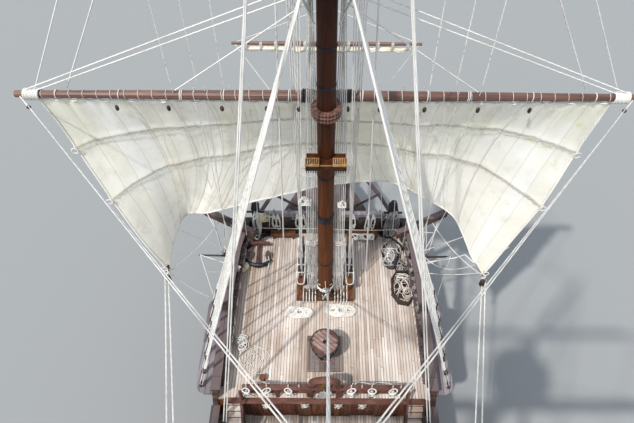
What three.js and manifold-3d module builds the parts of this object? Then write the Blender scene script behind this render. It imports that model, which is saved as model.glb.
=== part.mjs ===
import * as THREE from "three";
import { mergeVertices } from "three/addons/utils/BufferGeometryUtils.js";
import Module from "manifold-3d";

// A three-masted galleon afloat, as a 1:2 scale model.
// Every size here is the full-size ship's, in metres, and the ship's group brings it to the model's millimetres.
// +X points forward, +Y to port and +Z up, with the origin at the waterline amidships.
const MODEL_SCALE = 0.5;
const MM_PER_METRE = 1000 * MODEL_SCALE;
const FIT = 0.0008; // gap that touching pieces keep
const RUN = 0.012; // running clearance of a moving piece
const WALL = 0.22; // the ship's side, planks and frames
const PLANKS = 0.12; // a deck with its beams' edge
const PANEL = 0.15; // a bulkhead

// Heights above the waterline
const HEIGHT = {
  keel: -3.2,
  hold: 3.0,
  mainDeck: 3.1,
  beakDeck: 4.3,
  waistRail: 4.5,
  foreDeck: 5.5,
  foreRail: 6.4,
  quarterDeck: 5.6,
  quarterRail: 6.7,
  poopDeck: 8.0,
  poopRail: 8.9,
  taffrail: 9.7,
  top: 10.0,
};

// Places along the ship
const ALONG = {
  stem: 17.6,
  bowBulkhead: 14.6,
  foremast: 11.5,
  foreBreak: 6.8,
  mainmast: -1.0,
  quarterBreak: -5.5,
  mizzenmast: -10.4,
  poopBreak: -12.0,
  transom: -18.9,
};

// The hull's shape: each level's height and the place of the stem there
const LEVELS = { z: [-3.2, -2.9, -1.9, 0, 1.3, 4.3, 6.4, 10], stem: [13.2, 14.3, 15.9, 16.9, 17.2, 17.6, 17.9, 18.3] };
const BOW_SWEEP = 10; // forward of here the stations lean to the stem's curve
const STERN_SWEEP = -12; // aft of here they lean to the sternpost
const STERNPOST_RAKE = 0.3;
const STERNPOST_AT_WATER = -17.6;
const LEAST_HALF = 0.16;

// Stations: place, then the half-breadth at each level from the keel to the top
const STATIONS = [
  [-18.9, 0.16, 0.16, 0.16, 0.2, 2.0, 3.15, 2.95, 2.35],
  [-16.0, 0.16, 0.2, 0.5, 1.7, 3.4, 3.65, 3.35, 2.7],
  [-12.0, 0.18, 0.6, 2.0, 3.7, 4.4, 4.15, 3.75, 3.1],
  [-6.0, 0.2, 1.6, 3.8, 4.75, 4.95, 4.5, 4.1, 3.5],
  [0.0, 0.2, 2.2, 4.2, 4.95, 5.05, 4.58, 4.25, 3.7],
  [6.0, 0.2, 2.0, 4.05, 4.9, 5.05, 4.52, 4.2, 3.7],
  [11.5, 0.18, 1.1, 3.2, 4.5, 4.8, 4.42, 4.16, 3.7],
  [14.6, 0.16, 0.4, 1.9, 3.5, 4.1, 3.98, 3.8, 3.4],
  [16.2, 0.16, 0.16, 0.7, 2.1, 2.75, 2.9, 2.8, 2.5],
  [17.1, 0.16, 0.16, 0.25, 1.0, 1.5, 1.7, 1.6, 1.4],
  [17.6, 0.16, 0.16, 0.16, 0.16, 0.16, 0.16, 0.16, 0.16],
];

const wasm = await Module();
wasm.setup();

// A closed three.js geometry as a solid
function solid(geometry) {
  const bare = geometry.index ? geometry.toNonIndexed() : geometry;
  const points = new THREE.BufferGeometry().setAttribute("position", bare.getAttribute("position"));
  const merged = mergeVertices(points, 1e-5);
  const corners = merged.index.array;
  const faces = [];
  for (let i = 0; i < corners.length; i += 3) {
    const [a, b, c] = [corners[i], corners[i + 1], corners[i + 2]];
    if (a !== b && b !== c && c !== a) faces.push(a, b, c);
  }
  const build = (triVerts) =>
    new wasm.Manifold(
      new wasm.Mesh({ numProp: 3, vertProperties: merged.attributes.position.array, triVerts }),
    );
  const made = build(new Uint32Array(faces));
  return made.volume() < 0 ? build(new Uint32Array(faces.reverse())) : made;
}

const join = (...solids) => solids.reduce((whole, next) => whole.add(next));
const cut = (whole, ...tools) => tools.reduce((left, tool) => left.subtract(tool), whole);

function box(x0, x1, y0, y1, z0, z1) {
  const block = new THREE.BoxGeometry(x1 - x0, y1 - y0, z1 - z0);
  return solid(block.translate((x0 + x1) / 2, (y0 + y1) / 2, (z0 + z1) / 2));
}

// Lays a bar made along +Y from one point to another
function laid(bar, from, to) {
  const a = new THREE.Vector3(...from);
  const b = new THREE.Vector3(...to);
  const run = b.clone().sub(a).normalize();
  bar.applyQuaternion(new THREE.Quaternion().setFromUnitVectors(new THREE.Vector3(0, 1, 0), run));
  const middle = a.add(b).multiplyScalar(0.5);
  return solid(bar.translate(middle.x, middle.y, middle.z));
}

const distance = (from, to) => new THREE.Vector3(...from).distanceTo(new THREE.Vector3(...to));

// A round bar from one point to another, with a radius at each end
function rod(from, to, radiusFrom, radiusTo = radiusFrom, sides = 12) {
  return laid(new THREE.CylinderGeometry(radiusTo, radiusFrom, distance(from, to), sides), from, to);
}

// A round bar that swells between its ends, thickest at a share of its length
function spar(from, to, thick, thin, share = 0.5, sides = 12) {
  const length = distance(from, to);
  const bar = new THREE.CylinderGeometry(thin, thin, length, sides, 2);
  const points = bar.getAttribute("position");
  for (let i = 0; i < points.count; i += 1)
    if (Math.abs(points.getY(i)) < length / 4) {
      const swell = thick / thin;
      points.setXYZ(i, points.getX(i) * swell, (share - 0.5) * length, points.getZ(i) * swell);
    }
  return laid(bar, from, to);
}

// A flat outline in the ship's side view, as thick as y0 to y1
function sidePlate(outline, y0, y1) {
  const shape = new THREE.Shape(outline.map(([x, z]) => new THREE.Vector2(x, z)));
  const plate = new THREE.ExtrudeGeometry(shape, { depth: y1 - y0, bevelEnabled: false });
  return solid(plate.rotateX(Math.PI / 2).translate(0, y1, 0));
}

// A flat outline seen from above, from height z0 to z1
function levelPlate(outline, z0, z1) {
  const shape = new THREE.Shape(outline.map(([x, y]) => new THREE.Vector2(x, y)));
  const plate = new THREE.ExtrudeGeometry(shape, { depth: z1 - z0, bevelEnabled: false });
  return solid(plate.translate(0, 0, z0));
}

// A turned piece on an upright axis: its profile is pairs of radius and height
function turned(profile, x, y, sides = 16) {
  const outline = profile.map(([radius, height]) => new THREE.Vector2(radius, height));
  return solid(new THREE.LatheGeometry(outline, sides).rotateX(Math.PI / 2).translate(x, y, 0));
}

// A smooth curve through values given at knots
function smooth(knots, values, at) {
  let i = 0;
  while (i < knots.length - 2 && at > knots[i + 1]) i += 1;
  const span = knots[i + 1] - knots[i];
  const t = THREE.MathUtils.clamp((at - knots[i]) / span, 0, 1);
  const slope = (k) => {
    const before = Math.max(k - 1, 0);
    const after = Math.min(k + 1, knots.length - 1);
    return ((values[after] - values[before]) / (knots[after] - knots[before])) * span;
  };
  const t2 = t * t;
  const t3 = t2 * t;
  return (
    (2 * t3 - 3 * t2 + 1) * values[i] +
    (t3 - 2 * t2 + t) * slope(i) +
    (3 * t2 - 2 * t3) * values[i + 1] +
    (t3 - t2) * slope(i + 1)
  );
}

const STATION_PLACES = STATIONS.map(([x]) => x);

function halfBreadth(place, z) {
  const atLevels = LEVELS.z.map((_, level) =>
    smooth(
      STATION_PLACES,
      STATIONS.map((row) => row[level + 1]),
      place,
    ),
  );
  return Math.max(LEAST_HALF, smooth(LEVELS.z, atLevels, z));
}

const sternpostAt = (z) => STERNPOST_AT_WATER - STERNPOST_RAKE * z;
const stemAt = (z) => smooth(LEVELS.z, LEVELS.stem, z);

// A station's true place along the ship at a height: the ends lean, the middle is upright
function placeAt(place, z) {
  if (place > BOW_SWEEP)
    return BOW_SWEEP + ((place - BOW_SWEEP) * (stemAt(z) - BOW_SWEEP)) / (ALONG.stem - BOW_SWEEP);
  if (place < STERN_SWEEP)
    return STERN_SWEEP + ((place - STERN_SWEEP) * (sternpostAt(z) - STERN_SWEEP)) / (ALONG.transom - STERN_SWEEP);
  return place;
}

const withMiddles = (values) =>
  values.flatMap((value, i) => (i < values.length - 1 ? [value, (value + values[i + 1]) / 2] : [value]));

// The ship's whole form as a solid, made narrower on each side by an inset
function hullForm(inset, places = withMiddles(STATION_PLACES), [shiftX, shiftZ] = [0, 0]) {
  const heights = LEVELS.z;
  const points = [];
  const index = [];
  const at = (i, j, side) => 2 * (i * heights.length + j) + side;
  for (const place of places)
    for (const z of heights) {
      const half = Math.max(halfBreadth(place, z) - inset, 0.05);
      const x = placeAt(place, z) + shiftX;
      points.push(x, half, z + shiftZ, x, -half, z + shiftZ);
    }
  const quad = (a, b, c, d) => index.push(a, b, c, a, c, d);
  const last = places.length - 1;
  const highest = heights.length - 1;
  for (let i = 0; i < last; i += 1) {
    for (let j = 0; j < highest; j += 1) {
      quad(at(i, j, 0), at(i, j + 1, 0), at(i + 1, j + 1, 0), at(i + 1, j, 0));
      quad(at(i, j, 1), at(i + 1, j, 1), at(i + 1, j + 1, 1), at(i, j + 1, 1));
    }
    quad(at(i, highest, 1), at(i + 1, highest, 1), at(i + 1, highest, 0), at(i, highest, 0));
    quad(at(i, 0, 1), at(i, 0, 0), at(i + 1, 0, 0), at(i + 1, 0, 1));
  }
  for (let j = 0; j < highest; j += 1) {
    quad(at(0, j, 1), at(0, j + 1, 1), at(0, j + 1, 0), at(0, j, 0));
    quad(at(last, j, 1), at(last, j, 0), at(last, j + 1, 0), at(last, j + 1, 1));
  }
  const form = new THREE.BufferGeometry();
  form.setAttribute("position", new THREE.Float32BufferAttribute(points, 3));
  form.setIndex(index);
  return solid(form);
}

// A thin sheet, closed, over a point function of u from -1 to 1 across and v from 0 to 1 down
function sheet(pointAt, across, down, thickness) {
  const points = [];
  const index = [];
  const row = across + 1;
  const at = (i, j, back) => back * row * (down + 1) + j * row + i;
  for (const back of [0, 1])
    for (let j = 0; j <= down; j += 1)
      for (let i = 0; i <= across; i += 1) {
        const [x, y, z] = pointAt((2 * i) / across - 1, j / down);
        points.push(x - back * thickness, y, z);
      }
  const quad = (a, b, c, d) => index.push(a, b, c, a, c, d);
  for (let j = 0; j < down; j += 1)
    for (let i = 0; i < across; i += 1) {
      quad(at(i, j, 0), at(i, j + 1, 0), at(i + 1, j + 1, 0), at(i + 1, j, 0));
      quad(at(i, j, 1), at(i + 1, j, 1), at(i + 1, j + 1, 1), at(i, j + 1, 1));
    }
  for (let i = 0; i < across; i += 1) {
    quad(at(i, 0, 0), at(i + 1, 0, 0), at(i + 1, 0, 1), at(i, 0, 1));
    quad(at(i, down, 0), at(i, down, 1), at(i + 1, down, 1), at(i + 1, down, 0));
  }
  for (let j = 0; j < down; j += 1) {
    quad(at(0, j, 0), at(0, j, 1), at(0, j + 1, 1), at(0, j + 1, 0));
    quad(at(across, j, 0), at(across, j + 1, 0), at(across, j + 1, 1), at(across, j, 1));
  }
  const form = new THREE.BufferGeometry();
  form.setAttribute("position", new THREE.Float32BufferAttribute(points, 3));
  form.setIndex(index);
  return solid(form);
}

const COLOUR = {
  deck: 0xbfae9a,
  dark: 0x2e2825,
  side: 0x6e4a3c,
  mast: 0x6e3c19,
  spar: 0x78463a,
  canvas: 0xe9e0c8,
  rope: 0xd8d0c0,
  channel: 0x96918f,
  rail: 0x554b46,
  door: 0x8c4620,
  iron: 0x23262c,
};

const ship = new THREE.Group();
ship.scale.setScalar(MM_PER_METRE);

function add(name, shape, color, roughness = 0.8, metalness = 0) {
  const { numProp, vertProperties, triVerts } = shape.getMesh();
  const geometry = new THREE.BufferGeometry();
  const positions = new Float32Array((vertProperties.length / numProp) * 3);
  for (let i = 0; i < positions.length / 3; i += 1)
    positions.set(vertProperties.subarray(i * numProp, i * numProp + 3), i * 3);
  geometry.setAttribute("position", new THREE.BufferAttribute(positions, 3));
  geometry.setIndex(new THREE.BufferAttribute(triVerts, 1));
  geometry.computeVertexNormals();
  const mesh = new THREE.Mesh(geometry, new THREE.MeshStandardMaterial({ color, roughness, metalness }));
  mesh.name = name;
  ship.add(mesh);
}

const SIDES = [
  ["port", 1],
  ["starboard", -1],
];
const FAR = 40; // past the ship on every side
const outer = hullForm(0);
const SHIFTS = [
  [FIT, 0],
  [-FIT, 0],
  [0, -FIT],
];
const clearOfHull = join(...SHIFTS.map((shift) => hullForm(-FIT, withMiddles(STATION_PLACES), shift)));
const PAST_TRANSOM = [ALONG.transom - 0.5, ...withMiddles(STATION_PLACES)];
const inner = hullForm(WALL, PAST_TRANSOM);
const between = hullForm(WALL + 2 * FIT);
const halfSpace = (side, z0, z1, x0 = -FAR, x1 = FAR) =>
  side > 0 ? box(x0, x1, 0, FAR, z0, z1) : box(x0, x1, -FAR, 0, z0, z1);

// Hull below the main deck, with two wales that sweep up to the ends
function waleBand(zMiddle, depth, lift) {
  const steps = 8;
  const curve = (offset) =>
    Array.from({ length: steps + 1 }, (_, i) => {
      const x = -20 + (i * 38.5) / steps;
      return [x, zMiddle + offset + lift * ((x + 1) / 19) ** 2];
    });
  const band = sidePlate([...curve(0), ...curve(depth).reverse()], -6, 6);
  return hullForm(-0.08).intersect(band);
}
const belowDeck = box(-FAR, FAR, -FAR, FAR, -FAR, HEIGHT.hold);
const bowBelowBeak = box(ALONG.bowBulkhead, FAR, -FAR, FAR, -FAR, HEIGHT.beakDeck);
const lowerRegion = join(belowDeck, bowBelowBeak);
const wales = join(waleBand(0.75, 0.3, 0.75), waleBand(1.75, 0.24, 0.8));
add("hull_lower", outer.add(wales).intersect(lowerRegion), COLOUR.side);

// Keel, stem and sternpost, with the gudgeons that carry the rudder
const POST_DEPTH = 0.35;
const RUDDER_AXIS_AFT = 0.52;
const RUDDER_FOOT = -3.3;
const RUDDER_HEAD = 3.4;
const GUDGEONS = [-2.6, -0.9, 0.8, 2.4];
const GUDGEON_HEIGHT = 0.3;
const KEEL_FOOT = -3.5;
const KEEL_HALF = LEAST_HALF;
const onRudderAxis = (z) => [sternpostAt(z) - RUDDER_AXIS_AFT, 0, z];
const stemOutline = [-3.2, -2.9, -2.4, -1.9, -1, 0, 1.3, 2.8, 4.3, 4.9].map((z) => [stemAt(z) + 0.35, z]);
const backbone = [
  [sternpostAt(KEEL_FOOT) - POST_DEPTH, KEEL_FOOT],
  [12.6, KEEL_FOOT],
  ...stemOutline,
  [15.0, 4.9],
  [10.0, -1],
  [-14.0, -1],
  [sternpostAt(1.2) + 1, 1.2],
  [sternpostAt(1.2) - POST_DEPTH, 1.2],
];
const gudgeons = GUDGEONS.map((z) =>
  join(
    rod(onRudderAxis(z + FIT), onRudderAxis(z + GUDGEON_HEIGHT - FIT), 0.13, 0.13, 8),
    rod(
      onRudderAxis(z + GUDGEON_HEIGHT / 2),
      [sternpostAt(z + GUDGEON_HEIGHT / 2) - 0.2, 0, z + GUDGEON_HEIGHT / 2],
      0.1,
      0.1,
      6,
    ),
  ),
);
const upperPost = sidePlate(
  [1.1, 3.2, 3.2, 1.1].map((z, i) => [sternpostAt(z) - (i < 2 ? POST_DEPTH : 0.1), z]),
  -KEEL_HALF,
  KEEL_HALF,
);
const transomSlab = hullForm(-0.04, [ALONG.transom - 0.2, ALONG.transom - FIT]);
const transomClear = hullForm(-0.04 - FIT, [ALONG.transom - 0.2 - 2 * FIT, ALONG.transom + 0.2]);
const keelSolid = cut(
  join(sidePlate(backbone, -KEEL_HALF, KEEL_HALF), upperPost, ...gudgeons),
  clearOfHull,
  transomClear.intersect(box(-FAR, FAR, -FAR, FAR, 1.0 - FIT, FAR)),
);
add("keel_and_posts", keelSolid, COLOUR.side);

// Rudder on its raked axis, notched round each gudgeon
const rudderBlade = sidePlate(
  [
    [onRudderAxis(RUDDER_FOOT)[0], RUDDER_FOOT],
    [onRudderAxis(RUDDER_HEAD)[0], RUDDER_HEAD],
    [onRudderAxis(RUDDER_HEAD)[0] - 0.6, RUDDER_HEAD],
    [onRudderAxis(0.4)[0] - 0.85, 0.4],
    [onRudderAxis(RUDDER_FOOT)[0] - 1.5, RUDDER_FOOT],
  ],
  -0.12,
  0.12,
);
const rudderNotches = GUDGEONS.map((z) =>
  rod(onRudderAxis(z), onRudderAxis(z + GUDGEON_HEIGHT), 0.17, 0.17, 8),
);
const rudderEdge = rod(onRudderAxis(RUDDER_FOOT), onRudderAxis(RUDDER_HEAD), 0.13, 0.13, 8);
add("rudder", cut(join(rudderBlade, rudderEdge), ...rudderNotches), COLOUR.side);

// Transom, with an arched taffrail
const arch = [[-5, 1.0], ...[-3, -1.5, 0, 1.5, 3].map((y) => [y, HEIGHT.taffrail - 0.08 * y * y]), [5, 1.0]];
const archShape = new THREE.Shape(arch.map(([y, z]) => new THREE.Vector2(y, z)));
const archForm = new THREE.ExtrudeGeometry(archShape, { depth: 8, bevelEnabled: false });
archForm.rotateX(Math.PI / 2).rotateZ(Math.PI / 2).translate(-24, 0, 0);
add("transom", transomSlab.intersect(solid(archForm)), COLOUR.side);

// Decks lie between the ship's sides
const bowEdge = ALONG.bowBulkhead - FIT;
const deckSlab = (x0, x1, top, thickness = PLANKS) =>
  between.intersect(box(x0, x1, -FAR, FAR, top - thickness, top));
const SPAR = {
  foremast: { foot: HEIGHT.mainDeck, head: 22.8, thick: 0.31, thin: 0.24, top: 20.3, topRadius: 1.2 },
  mainmast: { foot: HEIGHT.mainDeck, head: 26.9, thick: 0.37, thin: 0.28, top: 24.0, topRadius: 1.4 },
  mizzenmast: { foot: HEIGHT.quarterDeck, head: 20.5, thick: 0.24, thin: 0.12 },
};
const mastHole = (name) => {
  const { thick } = SPAR[name];
  return rod([ALONG[name], 0, -FAR], [ALONG[name], 0, FAR], thick + FIT);
};
const mainDeck = deckSlab(-FAR, bowEdge, HEIGHT.mainDeck, HEIGHT.mainDeck - HEIGHT.hold - FIT);
add("main_deck", mainDeck, COLOUR.deck);
add("forecastle_deck", cut(deckSlab(ALONG.foreBreak, bowEdge, HEIGHT.foreDeck), mastHole("foremast")), COLOUR.deck);
add("quarterdeck", deckSlab(-FAR, ALONG.quarterBreak, HEIGHT.quarterDeck), COLOUR.deck);
add("poop_deck", deckSlab(-FAR, ALONG.poopBreak, HEIGHT.poopDeck), COLOUR.deck);

// The ship's sides, each with its cap rail
const frames = outer.subtract(inner);
const capBand = hullForm(-0.07).subtract(hullForm(WALL + 0.07, PAST_TRANSOM));
function sidePiece(side, x0, x1, top) {
  const wall = frames.intersect(halfSpace(side, HEIGHT.hold + FIT, top, x0, x1));
  const cap = capBand.intersect(halfSpace(side, top - 0.02, top + 0.1, x0, x1));
  return wall.add(cap);
}
// A cathead points outboard and forward over the bulwark
const CATHEAD = { inboard: [13.81, 3.2], outboard: [15.1, 5.66], half: 0.13 };
function catheadBeam(side) {
  const [[x0, y0], [x1, y1]] = [CATHEAD.inboard, CATHEAD.outboard];
  const share = CATHEAD.half / Math.hypot(x1 - x0, y1 - y0);
  const [acrossX, acrossY] = [(y1 - y0) * share, (x0 - x1) * share];
  const corners = [
    [x0 - acrossX, y0 - acrossY],
    [x0 + acrossX, y0 + acrossY],
    [x1 + acrossX, y1 + acrossY],
    [x1 - acrossX, y1 - acrossY],
  ];
  const top = HEIGHT.foreRail + 0.1 + 2 * CATHEAD.half;
  return levelPlate(
    corners.map(([x, y]) => [x, side * y]),
    HEIGHT.foreRail,
    top,
  );
}
const CHANNELS = {
  fore: { x0: 6.9, x1: 11.0, reach: 5.0, z: 5.62 },
  main: { x0: -6.2, x1: -1.4, reach: 5.4, z: 4.05 },
  mizzen: { x0: -13.4, x1: -10.8, reach: 4.55, z: 6.1 },
};
function channelBoard(side, { x0, x1, reach, z }) {
  const soft = 0.35;
  const outline = [
    [x0, 3.0],
    [x0, reach - soft],
    [x0 + 0.12, reach - 0.1],
    [x0 + soft, reach],
    [x1 - soft, reach],
    [x1 - 0.12, reach - 0.1],
    [x1, reach - soft],
    [x1, 3.0],
  ];
  return levelPlate(
    outline.map(([x, y]) => [x, side * y]),
    z,
    z + 0.12,
  );
}
for (const [name, side] of SIDES) {
  const forecastle = sidePiece(side, ALONG.foreBreak, bowEdge, HEIGHT.foreRail);
  add("forecastle_side_" + name, forecastle.add(catheadBeam(side)), COLOUR.side);
  add(
    "waist_side_" + name,
    sidePiece(side, ALONG.quarterBreak + FIT, ALONG.foreBreak - FIT, HEIGHT.waistRail),
    COLOUR.side,
  );
  const quarter = sidePiece(side, ALONG.poopBreak, ALONG.quarterBreak, HEIGHT.quarterRail);
  const poop = sidePiece(side, -FAR, ALONG.poopBreak + 0.3, HEIGHT.poopRail);
  const mizzenChannel = channelBoard(side, CHANNELS.mizzen).subtract(hullForm(0.1));
  add("quarter_side_" + name, join(quarter, poop, mizzenChannel), COLOUR.side);
  for (const mast of ["fore", "main"]) {
    const board = channelBoard(side, CHANNELS[mast]).subtract(clearOfHull);
    add(mast + "_channel_" + name, board, COLOUR.channel);
  }
}

// Bulkheads, each with its doorways, and the ladders that lean on them
const DOOR = { width: 0.85, height: 1.85, leaf: 0.06, sill: 0.04 };
const TREADS = 8;
// A steep flight: its steps as one zigzag outline, with the underside parallel to it
function ladder(x0, z0, x1, z1, yMiddle) {
  const half = 0.33;
  const run = (x1 - x0) / TREADS;
  const rise = (z1 - z0) / (TREADS + 1);
  const steps = Array.from({ length: TREADS }, (_, i) => [
    [x0 + i * run, z0 + (i + 1) * rise],
    [x0 + (i + 1) * run, z0 + (i + 1) * rise],
  ]).flat();
  const outline = [[x0, z0], ...steps, [x1, z1 - 2.1 * rise], [x0 + run, z0]];
  return sidePlate(outline, yMiddle - half, yMiddle + half);
}
const doorway = (x0, x1, yMiddle, floor) =>
  box(x0, x1, yMiddle - DOOR.width / 2, yMiddle + DOOR.width / 2, floor + DOOR.sill, floor + DOOR.height);

const BULKHEADS = {
  forecastle: { face: 6.85, facing: -1, floor: HEIGHT.mainDeck, ceiling: HEIGHT.foreDeck, doors: [1.6, -1.6] },
  quarterdeck: { face: -5.55, facing: 1, floor: HEIGHT.mainDeck, ceiling: HEIGHT.quarterDeck, doors: [0] },
  poop: { face: -12.05, facing: 1, floor: HEIGHT.quarterDeck, ceiling: HEIGHT.poopDeck, doors: [0] },
};
const LADDERS = {
  forecastle: { y: 3.55, foot: 5.55 },
  quarterdeck: { y: 3.2, foot: -4.2 },
  poop: { y: 2.6, foot: -10.9 },
};
for (const [name, { face, facing, floor, ceiling, doors }] of Object.entries(BULKHEADS)) {
  const [x0, x1] = facing < 0 ? [face, face + PANEL] : [face - PANEL, face];
  const wall = between.intersect(box(x0, x1, -FAR, FAR, floor + FIT, ceiling - PLANKS - FIT));
  const openings = doors.map((y) => doorway(x0 - 1, x1 + 1, y, floor));
  const { y, foot } = LADDERS[name];
  const steps = SIDES.map(([, side]) =>
    ladder(foot, floor + FIT, face - facing * 0.02, ceiling - PLANKS, side * y),
  );
  add(name + "_bulkhead", join(cut(wall, ...openings), ...steps), COLOUR.door);
  doors.forEach((middle, i) => {
    const hingeSide = middle < 0 ? -1 : 1;
    const hinged = middle + hingeSide * (DOOR.width / 2 - FIT);
    const free = middle - hingeSide * (DOOR.width / 2 - RUN);
    const [ya, yb] = [hinged, free].sort((a, b) => a - b);
    const [xa, xb] = facing < 0 ? [face, face + DOOR.leaf] : [face - DOOR.leaf, face];
    const leaf = box(xa, xb, ya, yb, floor + DOOR.sill + RUN, floor + DOOR.height - RUN);
    add(name + "_door" + (doors.length > 1 ? "_" + SIDES[i][0] : ""), leaf, COLOUR.door);
  });
}

// Bow bulkhead over the beakhead deck, with its heavy rail, and a notch for the bowsprit
const STEEVE = Math.tan((17 * Math.PI) / 180);
const BOWSPRIT = { heel: 12.35, tip: 27.5, thick: 0.28, thin: 0.13, overBulkhead: 6.35 };
const bowspritAt = (x, y = 0) => [x, y, BOWSPRIT.overBulkhead + (x - ALONG.bowBulkhead) * STEEVE];
const bowspritRadius = (x) =>
  THREE.MathUtils.mapLinear(x, BOWSPRIT.heel, BOWSPRIT.tip, BOWSPRIT.thick, BOWSPRIT.thin);
const bowspritBar = (extra, x0 = BOWSPRIT.heel, x1 = BOWSPRIT.tip) =>
  rod(bowspritAt(x0), bowspritAt(x1), bowspritRadius(x0) + extra, bowspritRadius(x1) + extra);
const [bulkheadAft, bulkheadFore] = [ALONG.bowBulkhead + FIT, ALONG.bowBulkhead + PANEL];
const bowWall = outer.intersect(box(bulkheadAft, bulkheadFore, -FAR, FAR, HEIGHT.beakDeck + FIT, 6.3));
const bowRail = box(bulkheadAft, bulkheadFore + 0.06, -3.95, 3.95, 6.28, 6.5);
add("bow_bulkhead", cut(join(bowWall, bowRail), bowspritBar(FIT, 11, 20)), COLOUR.dark);
const deckTopAbove = box(-FAR, FAR, -FAR, FAR, HEIGHT.foreDeck + FIT, FAR);
add("bowsprit", bowspritBar(0).intersect(deckTopAbove), COLOUR.spar);

// Beakhead: knee, grating floor and the two rails that meet at its tip
const BEAK_TIP = 22.0;
const knee = sidePlate(
  [
    [16.4, 1.6],
    [18.6, 2.6],
    [20.6, 4.2],
    [BEAK_TIP + 0.2, 5.7],
    [BEAK_TIP + 0.2, 6.5],
    [BEAK_TIP - 0.6, 6.2],
    [20.0, 5.2],
    [17.0, 4.62],
    [16.4, 4.62],
  ],
  -0.16,
  0.16,
);
const beakFloor = levelPlate(
  [
    [bulkheadFore + 0.07, -3.0],
    [17.2, -1.9],
    [20.2, -0.5],
    [20.2, 0.5],
    [17.2, 1.9],
    [bulkheadFore + 0.07, 3.0],
  ],
  HEIGHT.beakDeck + 0.22,
  HEIGHT.beakDeck + 0.34,
);
const beakCarlings = SIDES.map(([, side]) =>
  box(15.0, 16.2, ...[side * 1.2, side * 1.4].sort((a, b) => a - b), HEIGHT.beakDeck + FIT, HEIGHT.beakDeck + 0.3),
);
const beakRails = SIDES.flatMap(([, side]) => {
  const line = [
    [bulkheadFore + 0.075, 3.45 * side, 6.0],
    [16.8, 2.7 * side, 5.75],
    [19.2, 1.3 * side, 5.75],
    [BEAK_TIP, 0.12 * side, 6.2],
  ];
  const bars = line.slice(1).map((to, i) => rod(line[i], to, 0.1, 0.1, 6));
  const timbers = line
    .slice(1, 3)
    .map(([x, y, z]) => rod([x, y, z + 0.1], [x - 0.1, y * 0.4, HEIGHT.beakDeck + 0.28], 0.09, 0.09, 4));
  return [...bars, ...timbers];
});
const beak = cut(join(knee, beakFloor, ...beakCarlings, ...beakRails), bowspritBar(0.05, 14, 24));
const stemClear = sidePlate(
  [[10, -3], [12, -4], ...stemOutline.map(([x, z]) => [x + FIT, z]), [15, 4.9 + FIT]],
  -KEEL_HALF - FIT,
  KEEL_HALF + FIT,
);
const bowClear = clearOfHull.intersect(box(14, FAR, -FAR, FAR, -FAR, HEIGHT.beakDeck + FIT));
add("beakhead", cut(beak, bowClear, stemClear), COLOUR.rail);

// Masts: a lower mast with a cap, a top to stand on, and a topmast ahead of it
const TOPMASTS = {
  foremast: { head: 31.5, thick: 0.19, thin: 0.09 },
  mainmast: { head: 37.0, thick: 0.22, thin: 0.1 },
};
const TOPMAST_AHEAD = 0.62;
const CAP = { half: 0.34, height: 0.3 };
const mastRadius = (name, z) => {
  const { foot, head, thick, thin } = SPAR[name];
  return THREE.MathUtils.mapLinear(z, foot, head, thick, thin);
};
const mastBar = (name, extra = 0, from = SPAR[name].foot + FIT, to = SPAR[name].head) =>
  rod([ALONG[name], 0, from], [ALONG[name], 0, to], mastRadius(name, from) + extra, mastRadius(name, to) + extra);
const topmastRadius = (name, z) => {
  const { head, thick, thin } = TOPMASTS[name];
  return THREE.MathUtils.mapLinear(z, SPAR[name].top, head, thick, thin);
};
const topmastBar = (name, from, to, extra = 0) => {
  const x = ALONG[name] + TOPMAST_AHEAD;
  return rod([x, 0, from], [x, 0, to], topmastRadius(name, from) + extra, topmastRadius(name, to) + extra);
};
// Yards: each hangs ahead of its mast on a parrel and turns about the mast's axis
const YARDS = {
  fore_yard: { mast: "foremast", z: 16.0, half: 8.9, thick: 0.165, thin: 0.1, ahead: 0.6 },
  main_yard: { mast: "mainmast", z: 19.6, half: 10.4, thick: 0.19, thin: 0.11, ahead: 0.66 },
  fore_topsail_yard: { mast: "foremast", onTopmast: true, z: 23.3, half: 4.8, thick: 0.12, thin: 0.07, ahead: 0.4 },
  main_topsail_yard: { mast: "mainmast", onTopmast: true, z: 27.5, half: 5.8, thick: 0.13, thin: 0.08, ahead: 0.42 },
};
const yardAxis = ({ mast, onTopmast }) => ALONG[mast] + (onTopmast ? TOPMAST_AHEAD : 0);
const yardPlace = (yard) => yardAxis(yard) + yard.ahead;
const yardRadius = ({ half, thick, thin }, y) => thick + ((thin - thick) * Math.abs(y)) / half;
const PARREL = 0.16;
// The lateen yard crosses the mizzenmast where its slope puts it
const LATEEN = { low: [-5.6, 9.6], high: [-17.6, 20.2], thick: 0.15, thin: 0.07 };
const lateenShare = (ALONG.mizzenmast - LATEEN.low[0]) / (LATEEN.high[0] - LATEEN.low[0]);
const lateenZ = THREE.MathUtils.lerp(LATEEN.low[1], LATEEN.high[1], lateenShare);
const LATEEN_OFF = 0.1; // from the mast's face to the yard's
const lateenSide = mastRadius("mizzenmast", lateenZ) + LATEEN.thick + LATEEN_OFF;

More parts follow.
